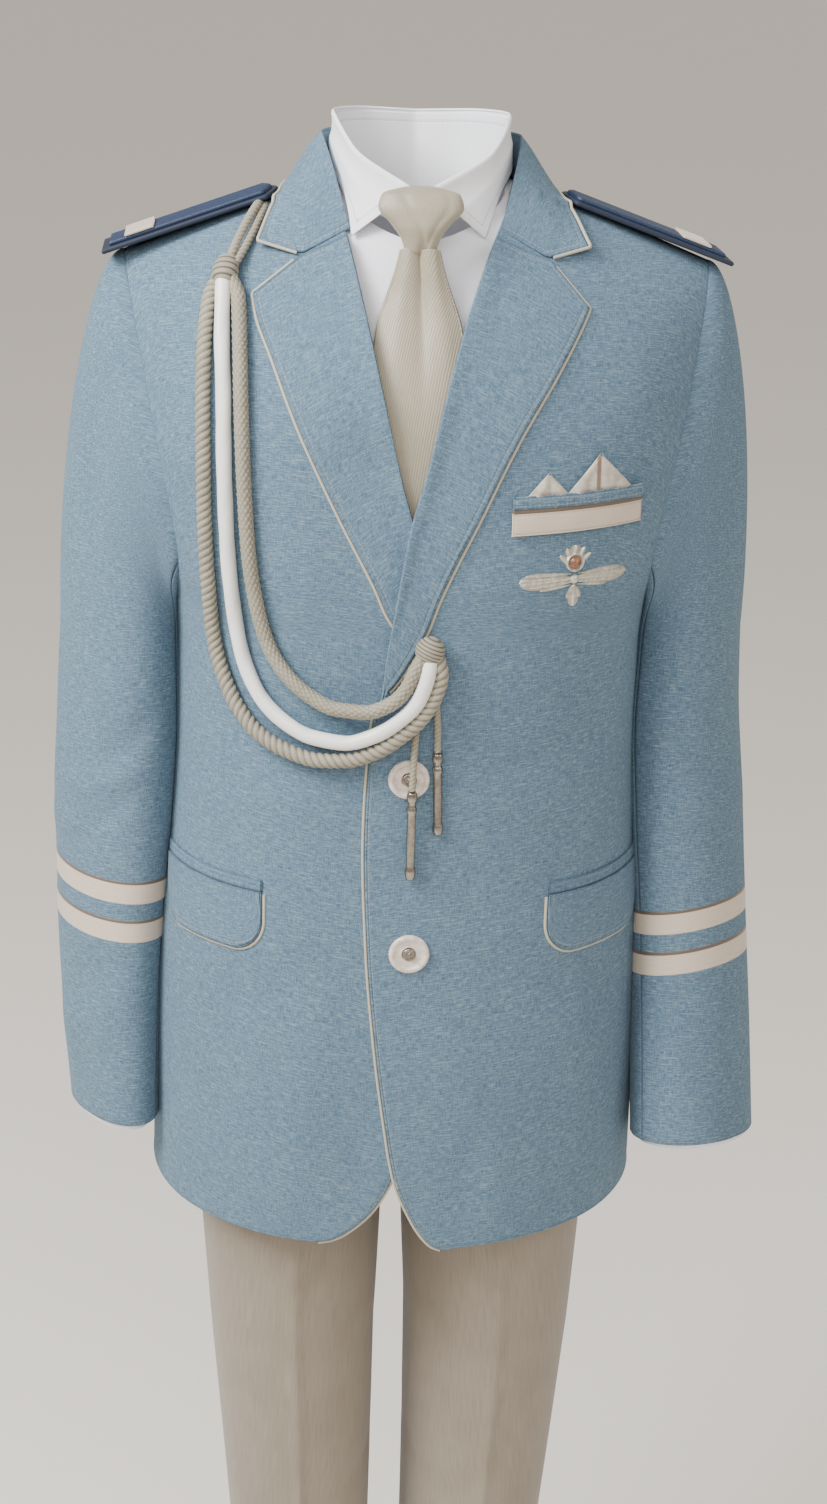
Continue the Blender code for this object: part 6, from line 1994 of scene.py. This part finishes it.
# Shirt: white cotton under the jacket. The placket, the collar's leaves and the stand show at the neck,
# and a line of each cuff below the sleeve; the rest follows the body inside the jacket.
# Ease inside the jacket: level, distance in from its outer face
SHIRT_EASE = (
    (0.000, 0.0024),
    (-0.150, 0.0024),
    (-0.220, 0.0034),
    (-0.270, 0.0070),
    (-0.315, 0.0196),
    (-0.400, 0.0206),
)
SHIRT_FRONT_EASE = 0.0105
MIDDLE_CLEAR = 1e-4
SHIRT_BOTTOM = -0.395
SHIRT_MIDDLE = -0.004
SHIRT_NECK_SIDE = 0.0465
SHIRT_CLOTH = plain_cloth(
    "shirt_cloth", (0.88, 0.88, 0.92), (0.66, 0.65, 0.75), period=0.00055, roughness=0.72,
    streak=0.12, sheen=0.12,
)
SHIRT_COLLAR_CLOTH = plain_cloth(
    "shirt_collar_cloth", (0.91, 0.91, 0.93), (0.70, 0.70, 0.78), period=0.00055, roughness=0.66,
    stitch=0.0048, thread=(0.50, 0.50, 0.58), streak=0.10, sheen=0.12,
)
# Folds: start x, start level, end x, end level, half width, height
SHIRT_FOLDS = (
    (0.0090, -0.045, 0.0100, -0.200, 0.0016, -0.0009),
    (-0.0120, -0.045, -0.0100, -0.200, 0.0016, -0.0009),
    (0.0230, -0.055, 0.0160, -0.150, 0.0040, 0.0012),
    (0.0320, -0.065, 0.0220, -0.130, 0.0030, -0.0010),
    (-0.0300, -0.060, -0.0230, -0.140, 0.0040, 0.0010),
    (-0.0380, -0.060, -0.0300, -0.115, 0.0028, -0.0010),
)


def shirt_ease(x, z, back):
    ease = value(SHIRT_EASE, z)
    if back:
        return ease + 0.0006
    middle = np.clip(1 - (np.abs(x) / 0.120) ** 2, 0, 1) * ease_in((-0.02 - z) / 0.05)
    return np.maximum(ease, SHIRT_EASE[0][1] + (SHIRT_FRONT_EASE - SHIRT_EASE[0][1]) * middle)


def shirt_rows(middle_top, low_rows, high_rows):
    low = SHIRT_BOTTOM + np.linspace(0, 1, low_rows) * (UNDERARM - SHIRT_BOTTOM)
    turns = np.linspace(math.pi, 0, high_rows + 1)[1:]
    high_side = ARMHOLE_MIDDLE + ARMHOLE_HALF * np.cos(turns)
    part = (high_side - UNDERARM) / (high_side[-1] - UNDERARM)
    return np.concatenate([low, UNDERARM + part * (middle_top - UNDERARM)]), np.concatenate([low, high_side])


def shirt_panel(side, back):
    """Shirt front or back, laid inside the jacket."""
    neck_z = -0.018 if back else -0.031
    columns = 40
    neck_columns = 13
    middle_z, side_z = shirt_rows(neck_z, 24, 36)
    far = side_reach(side_z)
    u = np.linspace(0, 1, columns + 1)
    power = 2 / SECTION_POWER
    turn = np.arcsin(np.clip(far / value(TORSO, side_z), 0, 1) ** (1 / power))[:, None] * u
    x = value(TORSO, side_z)[:, None] * np.sin(turn) ** power
    z = middle_z[:, None] + (side_z - middle_z)[:, None] * x / far[:, None]
    middle = 0.0 if back else SHIRT_MIDDLE * side
    x = x + (SEAM_GAP / 2 + middle) * (1 - x / far[:, None])
    shoulder_x = np.linspace(SHIRT_NECK_SIDE, ARMHOLE[0][1], columns - neck_columns + 2)
    neck_part = np.linspace(0, 1, neck_columns)
    start_x = SEAM_GAP / 2 + middle
    neck_x = start_x + (SHIRT_NECK_SIDE - start_x) * np.sin(neck_part * math.pi / 2)
    neck_line = neck_z + (ridge(SHIRT_NECK_SIDE) - neck_z) * (1 - np.cos(neck_part * math.pi / 2)) ** 0.8
    top_x = np.concatenate([neck_x, shoulder_x[1:]])
    top_z = np.concatenate([neck_line, ridge(shoulder_x[1:])])
    x, z = raised_top(x, z, top_x, top_z)
    at = side * x
    surface_x = np.where(np.abs(at) < MIDDLE_CLEAR, MIDDLE_CLEAR * side, at)
    folds = 0 if back else creases(at, z, SHIRT_FOLDS)
    outer, _ = on_body(surface_x, z, -shirt_ease(at, z, back) + folds, back)
    outer[:, 0, 0] = at[:, 0]
    return outer


def shirt_piece(name, points, edges, look, flip, **setting):
    cloth_sheet(name, points, look, SHIRT_WALL, edges, "shirt_cloth", radius=0.0005, flip=flip, **setting)


for word, side in (("left", 1), ("right", -1)):
    shirt_piece(f"shirt_front_{word}", shirt_panel(side, False), "b", SHIRT_CLOTH, side > 0)
shirt_left = shirt_panel(1, True)
shirt_right = shirt_panel(-1, True)
shirt_whole = np.concatenate([shirt_right[:, ::-1], shirt_left[:, 1:]], axis=1)
shirt_piece("shirt_back", shirt_whole, "b", SHIRT_CLOTH, False)

CUFF_SHOWS = 0.004


def shirt_sleeve(word, side, table, folds):
    turn = 2 * math.pi * np.linspace(0, 1, 73)
    points = sleeve_sheet(table, side, turn, folds, SHIRT_EASE[0][1], CUFF_SHOWS)
    shirt_piece(f"shirt_sleeve_{word}", points[::-1], "b", SHIRT_COLLAR_CLOTH, side < 0, closed=True)


shirt_sleeve("left", 1, SLEEVE_LEFT, SLEEVE_CREASES_LEFT)
shirt_sleeve("right", -1, SLEEVE_RIGHT, SLEEVE_CREASES_RIGHT)


# Shirt collar: a band round the neck and a fall with spread points, firm and rounded over the roll.
# Each guide line: station from centre back, x, y, level
SHIRT_NECK = (
    (0.00, 0.000, 0.0550, -0.0235),
    (0.25, 0.029, 0.0435, -0.0185),
    (0.50, 0.0455, 0.0020, -0.0075),
    (0.75, 0.0350, -0.0360, -0.0140),
    (1.00, 0.0020, -0.0530, -0.0290),
)
SHIRT_STAND_TOP = (
    (0.00, 0.000, 0.0530, 0.0220),
    (0.25, 0.029, 0.0410, 0.0240),
    (0.50, 0.0460, 0.0010, 0.0260),
    (0.75, 0.0360, -0.0370, 0.0120),
    (1.00, 0.0020, -0.0560, -0.0060),
)
SHIRT_FALL_TOP = (
    (0.00, 0.000, 0.0545, 0.0240),
    (0.25, 0.030, 0.0425, 0.0262),
    (0.50, 0.0485, 0.0005, 0.0285),
    (0.75, 0.0375, -0.0385, 0.0135),
    (1.00, 0.0035, -0.0590, -0.0050),
)
SHIRT_FALL_EDGE = (
    (0.00, 0.000, 0.0572, -0.0100),
    (0.25, 0.032, 0.0450, -0.0060),
    (0.50, 0.0492, -0.0020, -0.0010),
    (0.75, 0.0405, -0.0330, -0.0130),
    (1.00, 0.0355, -0.0500, -0.0315),
)


def shirt_guide(table, stations):
    points = guide(table, stations)
    points[:, 0] += SHIRT_MIDDLE * np.abs(stations) ** 3
    return points


def shirt_collar():
    stations = 2 * spaced(92, 0.012) - 1
    neck = shirt_guide(SHIRT_NECK, stations)
    stand = shirt_guide(SHIRT_STAND_TOP, stations)
    share = spaced(16, 0.05)[None, :, None]
    points = neck[:, None] + (stand - neck)[:, None] * share
    shirt_piece("shirt_collar_stand", points, "r", SHIRT_COLLAR_CLOTH, True)
    top = shirt_guide(SHIRT_FALL_TOP, stations)
    edge = shirt_guide(SHIRT_FALL_EDGE, stations)
    share = spaced(30, 0.04)[None, :, None]
    points = top[:, None] + (edge - top)[:, None] * share
    out = sheet_normals(points)
    roll = 0.0012 * np.sin(np.clip(share[..., 0] / 0.5, 0, 1) * math.pi) ** 0.8
    points = points + out * roll[..., None]
    over = np.clip(1 - share / 0.07, 0, 1) ** 2
    inward = unit(np.array([0.0, -0.002, 0.0]) - top * np.array([1, 1, 0]))[:, None]
    points = points + over * (inward * 0.0012 - np.array([0, 0, 0.0008]))
    shirt_piece("shirt_collar_fall", points, "rbt", SHIRT_COLLAR_CLOTH, False)


shirt_collar()


# Tie: heavy ribbed satin, a snug tapering knot over a blade that widens below it.
# The knot is wrapped, so its folds run down to the waist of the knot and a dimple starts the blade.
TIE_WALL = 0.0015
TIE_X = -0.0045
# Knot: level, half width, middle y, depth
TIE_KNOT = (
    (-0.0025, 0.0120, -0.0633, 0.0030),
    (-0.0065, 0.0205, -0.0660, 0.0058),
    (-0.0130, 0.0225, -0.0678, 0.0078),
    (-0.0210, 0.0160, -0.0693, 0.0078),
    (-0.0280, 0.0108, -0.0703, 0.0060),
    (-0.0325, 0.0090, -0.0706, 0.0050),
    (-0.0372, 0.0080, -0.0704, 0.0044),
)
# Blade: level, half width, height above the jacket's outer face
TIE_BLADE = (
    (-0.0395, 0.0086, 0.0090),
    (-0.0480, 0.0124, 0.0040),
    (-0.0580, 0.0176, -0.0010),
    (-0.0720, 0.0230, -0.0040),
    (-0.1000, 0.0266, -0.0055),
    (-0.1500, 0.0290, -0.0066),
    (-0.2200, 0.0305, -0.0068),
    (-0.2850, 0.0320, -0.0068),
    (-0.3050, 0.0160, -0.0068),
    (-0.3200, 0.0010, -0.0068),
)


def tie_satin(name):
    """Satin with fine ribs on the slant and a soft gloss."""
    look = Look(name, 0.42)
    ribbed = look.place((2 * math.pi / 0.0011, 900), 38)
    rib = look.math("SINE", look.add("ShaderNodeSeparateXYZ", {0: ribbed}).outputs[0])
    fibre = look.noise(look.place((1500, 160), 38), 2.0, 0.5)
    cloud = look.noise(look.place((30, 18)), 3.0, 0.55)
    body = look.mix(look.span(fibre, 0.3, 0.72, 0.0, 0.30), (0.350, 0.308, 0.226), (0.240, 0.203, 0.143))
    body = look.mix(look.span(rib, -1, 0.3, 0.22, 0.0), body, (0.27, 0.23, 0.17))
    body = look.mix(look.span(cloud, 0.35, 0.75, 0.0, 0.18), body, (0.29, 0.24, 0.18))
    look.colour(body)
    look.bump(rib, 0.22, 0.0003)
    look.bump(fibre, 0.12, 0.0003)
    look.sheen(0.25, 0.3)
    return look.material


TIE_SATIN = tie_satin("tie_satin")


def tie_knot():
    turn = np.linspace(0, 2 * math.pi, 97)
    level = TIE_KNOT[0][0] + (TIE_KNOT[-1][0] - TIE_KNOT[0][0]) * spaced(60, 0.03)
    share = (level - level[0]) / (level[-1] - level[0])
    half = value(TIE_KNOT, level)[:, None]
    middle_y = value(TIE_KNOT, level, 2)[:, None]
    depth = value(TIE_KNOT, level, 3)[:, None]
    end = np.sqrt(np.clip(1 - np.clip(1 - np.minimum(share, 1 - share) / 0.10, 0, 1) ** 2, 0.0, 1))[:, None]
    cosine = np.cos(turn)[None, :]
    sine = np.sin(turn)[None, :]
    size = 0.25 + 0.75 * end
    x = half * np.sign(cosine) * np.abs(cosine) ** 0.8 * size
    front = np.clip(sine, 0, 1)
    fold = 0.0007 * np.exp(-(((x / half + 0.55 - 0.9 * share[:, None]) / 0.12) ** 2))
    fold = fold + 0.0006 * np.exp(-(((x / half - 0.75 + 0.45 * share[:, None]) / 0.12) ** 2))
    dent = 0.0016 * np.exp(-(((x / half - 0.05) / 0.22) ** 2)) * ease_in((share[:, None] - 0.70) / 0.25)
    y = middle_y - depth * sine * size + (fold + dent) * front
    points = np.stack([TIE_X + x, y, level[:, None] + 0 * x], axis=-1)
    dress(solid_grid("look_tie_knot", points, TIE_SATIN), "tie_knot")


tie_knot()


def tie_blade():
    level = TIE_BLADE[0][0] + (TIE_BLADE[-1][0] - TIE_BLADE[0][0]) * spaced(110, 0.01)
    half = value(TIE_BLADE, level)[:, None]
    height = value(TIE_BLADE, level, 2)[:, None]
    across = 2 * spaced(36, 0.03)[None, :] - 1
    x = TIE_X + half * across
    z = level[:, None] + 0 * x
    near = ease_in((level[:, None] + 0.135) / 0.095)
    dent = -0.0030 * near * np.exp(-(((across - 0.06) / 0.20) ** 2))
    ridges = np.exp(-(((across - 0.55) / 0.2) ** 2)) + np.exp(-(((across + 0.50) / 0.2) ** 2))
    side_fold = 0.0012 * near * ridges
    padded = 0.0011 * (1 - across**4)
    shape = height + dent + side_fold + padded - 0.0004
    outer, _ = on_body(np.where(np.abs(x) < MIDDLE_CLEAR, MIDDLE_CLEAR, x), z, shape)
    cloth_sheet("tie_blade", outer[::-1], TIE_SATIN, TIE_WALL, "lrb", "tie_satin", radius=0.0012, flip=True)


tie_blade()


# Trousers: fine taupe wool with a pressed crease down each leg, breaking softly at the knee and the hem.
# Sections: level, middle x, half width, front depth, back depth, rise of the pressed crease
TROUSER = (
    (-0.3553, 0.000, 0.1205, 0.0985, 0.0780, 0.0000),
    (-0.4000, 0.000, 0.1270, 0.1000, 0.0850, 0.0000),
    (-0.4500, 0.010, 0.1220, 0.1000, 0.0930, 0.0010),
    (-0.5000, 0.030, 0.1050, 0.0980, 0.0970, 0.0020),
    (-0.5300, 0.045, 0.0900, 0.0950, 0.0960, 0.0025),
    (-0.5500, 0.055, 0.0780, 0.0920, 0.0930, 0.0030),
    (-0.5650, 0.064, 0.0632, 0.0880, 0.0900, 0.0030),
    (-0.6000, 0.0630, 0.0580, 0.0820, 0.0860, 0.0035),
    (-0.7150, 0.0620, 0.0520, 0.0720, 0.0750, 0.0040),
    (-0.8750, 0.0560, 0.0450, 0.0630, 0.0670, 0.0045),
    (-1.0200, 0.0545, 0.0435, 0.0600, 0.0640, 0.0045),
    (-1.1600, 0.0545, 0.0425, 0.0590, 0.0620, 0.0045),
)
# How far each leg stands out: level, shift
LEG_SHIFT = ((-0.35, 0.0), (-0.56, 0.0), (-0.715, 0.002), (-0.875, 0.003), (-1.16, 0.003))
TROUSER_WALL = 0.0015
TROUSER_ROWS = 130
TROUSER_COLUMNS = 56
HEM_LEVELS = (-1.1590, -1.1580)
WAIST_TOP = -0.325
WAIST_BOTTOM = -0.355
WAIST_EASE = 0.0160
TROUSER_CLOTH = plain_cloth(
    "trouser_cloth", (0.285, 0.240, 0.186), (0.188, 0.151, 0.113), period=0.0008, roughness=0.84, streak=0.45,
    sheen=0.2, lay=(1000, 45),
)
# Folds: metres round the leg from the inner seam, level, the same for the end, half width, height
TROUSER_FOLDS = (
    (0.030, -0.600, 0.060, -0.700, 0.0160, -0.0030),
    (0.080, -0.590, 0.105, -0.720, 0.0150, -0.0026),
    (0.110, -0.600, 0.090, -0.790, 0.0180, 0.0026),
    (0.020, -0.640, 0.050, -0.820, 0.0180, 0.0026),
    (0.020, -0.800, 0.075, -0.830, 0.0120, -0.0028),
    (0.100, -0.790, 0.060, -0.850, 0.0130, -0.0026),
    (0.030, -0.860, 0.090, -0.880, 0.0120, 0.0024),
    (0.090, -0.880, 0.050, -0.930, 0.0140, -0.0026),
    (0.025, -0.930, 0.060, -1.040, 0.0160, -0.0022),
    (0.110, -0.930, 0.095, -1.080, 0.0170, 0.0026),
    (0.020, -1.080, 0.080, -1.110, 0.0130, -0.0026),
    (0.100, -1.090, 0.050, -1.140, 0.0130, 0.0024),
)


def trouser_points(back):
    """Dense points of a trouser panel in the leg's own side, inner edge first."""
    table = np.array(TROUSER)
    level = TROUSER[0][0] + (TROUSER[-1][0] - TROUSER[0][0]) * np.linspace(0, 1, TROUSER_ROWS)
    level = np.sort(np.concatenate([level, table[1:-1, 0], HEM_LEVELS]))[::-1]
    columns_of = [np.interp(-level, -table[:, 0], table[:, k])[:, None] for k in range(1, 6)]
    middle, half, front, rear, crease = columns_of
    depth = rear if back else front
    start = np.arccos(np.minimum(middle / half, 1.0))
    u = spaced(TROUSER_COLUMNS, 0.02)[None, :]
    turn = start + (math.pi - start) * u
    x = np.maximum(middle - half * np.cos(turn), SEAM_GAP / 2)
    y = depth * np.abs(np.sin(turn)) ** 0.85
    fade = ease_in((-0.44 - level[:, None]) / 0.06)
    y = y + crease * np.exp(-np.abs((turn - math.pi / 2) / 0.055)) * fade
    y = np.maximum(y, SEAM_GAP / 2)
    z = level[:, None] + 0 * x
    return np.stack([x, y if back else -y, z], axis=-1)


def trouser_panel(name, side, back, strength):
    points = trouser_points(back)
    around = run_lengths(points, 1)
    folds = creases(around, points[..., 2], TROUSER_FOLDS) * strength
    calm = np.sin(np.clip(around / around[:, -1:], 0, 1) * math.pi) ** 0.5
    out = sheet_normals(points) * (1 if back else -1)
    points = points - out * (np.abs(folds) - folds)[..., None] * 0.5 * calm[..., None]
    points = points + out * np.maximum(folds, 0)[..., None] * 0.35 * calm[..., None]
    points = points * np.array([side, 1, 1])
    points[..., 0] += value(LEG_SHIFT, points[..., 2])
    flip = (side > 0) == back
    cloth_sheet(name, points[::-1], TROUSER_CLOTH, TROUSER_WALL, "b", "trouser_cloth", flip=flip)


for word, side, strength in (("left", 1, 1.0), ("right", -1, 0.8)):
    trouser_panel(f"trouser_front_{word}", side, False, strength)
    trouser_panel(f"trouser_back_{word}", side, True, strength)


def waistband():
    turn = np.linspace(0, math.pi / 2, 40)
    quarter = np.clip(value(TORSO, WAIST_TOP) * np.sin(turn) ** (2 / SECTION_POWER), 1e-4, None)
    rows = []
    for level in WAIST_TOP + (WAIST_BOTTOM - WAIST_TOP) * spaced(8, 0.05)[::-1]:
        front, _ = on_body(quarter, level + 0 * quarter, -WAIST_EASE)
        rear, _ = on_body(quarter, level + 0 * quarter, -WAIST_EASE, back=True)
        half = np.concatenate([front[:-1], rear[::-1]])
        mirrored = half[::-1] * np.array([-1, 1, 1])
        ring = np.concatenate([half[:-1], mirrored[:-1]])
        ring[:, 2] = level
        rows.append(np.concatenate([ring, ring[:1]]))
    points = np.array(rows)
    cloth_sheet("trouser_waistband", points, TROUSER_CLOTH, TROUSER_WALL, "bt", "trouser_cloth", closed=True)


waistband()


# Floor and light: a plain pale floor below the hems and soft daylight from the upper left.
# A weak light from the front opens the shade, and a weaker one touches the other side.
FLOOR_LEVEL = -1.24
FLOOR_SIZE = 60
FLOOR_BACK = 6
WORLD_STRENGTH = 0.70
# Lights: name, place, target, size, power, colour
LIGHTS = (
    ("window", (-1.25, -0.70, 1.05), (-0.05, 0, -0.08), (0.8, 1.0), 80, (0.96, 0.99, 1.0)),
    ("front", (-0.3, -2.3, 1.2), (0, 0, -0.28), (1.8, 1.4), 38, (1.0, 0.99, 0.97)),
    ("side", (2.0, -1.3, 0.7), (0, 0, -0.35), (1.0, 1.4), 10, (1.0, 0.97, 0.93)),
)

floor_mesh = bpy.data.meshes.new("floor")
floor_bm = bmesh.new()
bmesh.ops.create_grid(floor_bm, x_segments=1, y_segments=1, size=FLOOR_SIZE)
bmesh.ops.translate(floor_bm, vec=(0, FLOOR_BACK, FLOOR_LEVEL), verts=floor_bm.verts)
floor_bm.to_mesh(floor_mesh)
floor_bm.free()
floor_look = Look("floor", 0.9)
floor_look.colour((0.97, 0.91, 0.84))
floor = finish_piece("floor", floor_mesh, floor_look.material, False)

world = bpy.data.worlds.new("world")
world.use_nodes = True
world.node_tree.nodes["Background"].inputs["Color"].default_value = (0.86, 0.82, 0.77, 1)
world.node_tree.nodes["Background"].inputs["Strength"].default_value = WORLD_STRENGTH
bpy.context.scene.world = world


def soft_light(name, place, target, size, power, colour):
    data = bpy.data.lights.new(name, "AREA")
    data.shape = "RECTANGLE"
    data.size = size[0]
    data.size_y = size[1]
    data.energy = power
    data.color = colour
    made = bpy.data.objects.new(name, data)
    made.location = place
    made.rotation_euler = (Vector(target) - Vector(place)).to_track_quat("-Z", "Y").to_euler()
    bpy.context.scene.collection.objects.link(made)


for light in LIGHTS:
    soft_light(*light)
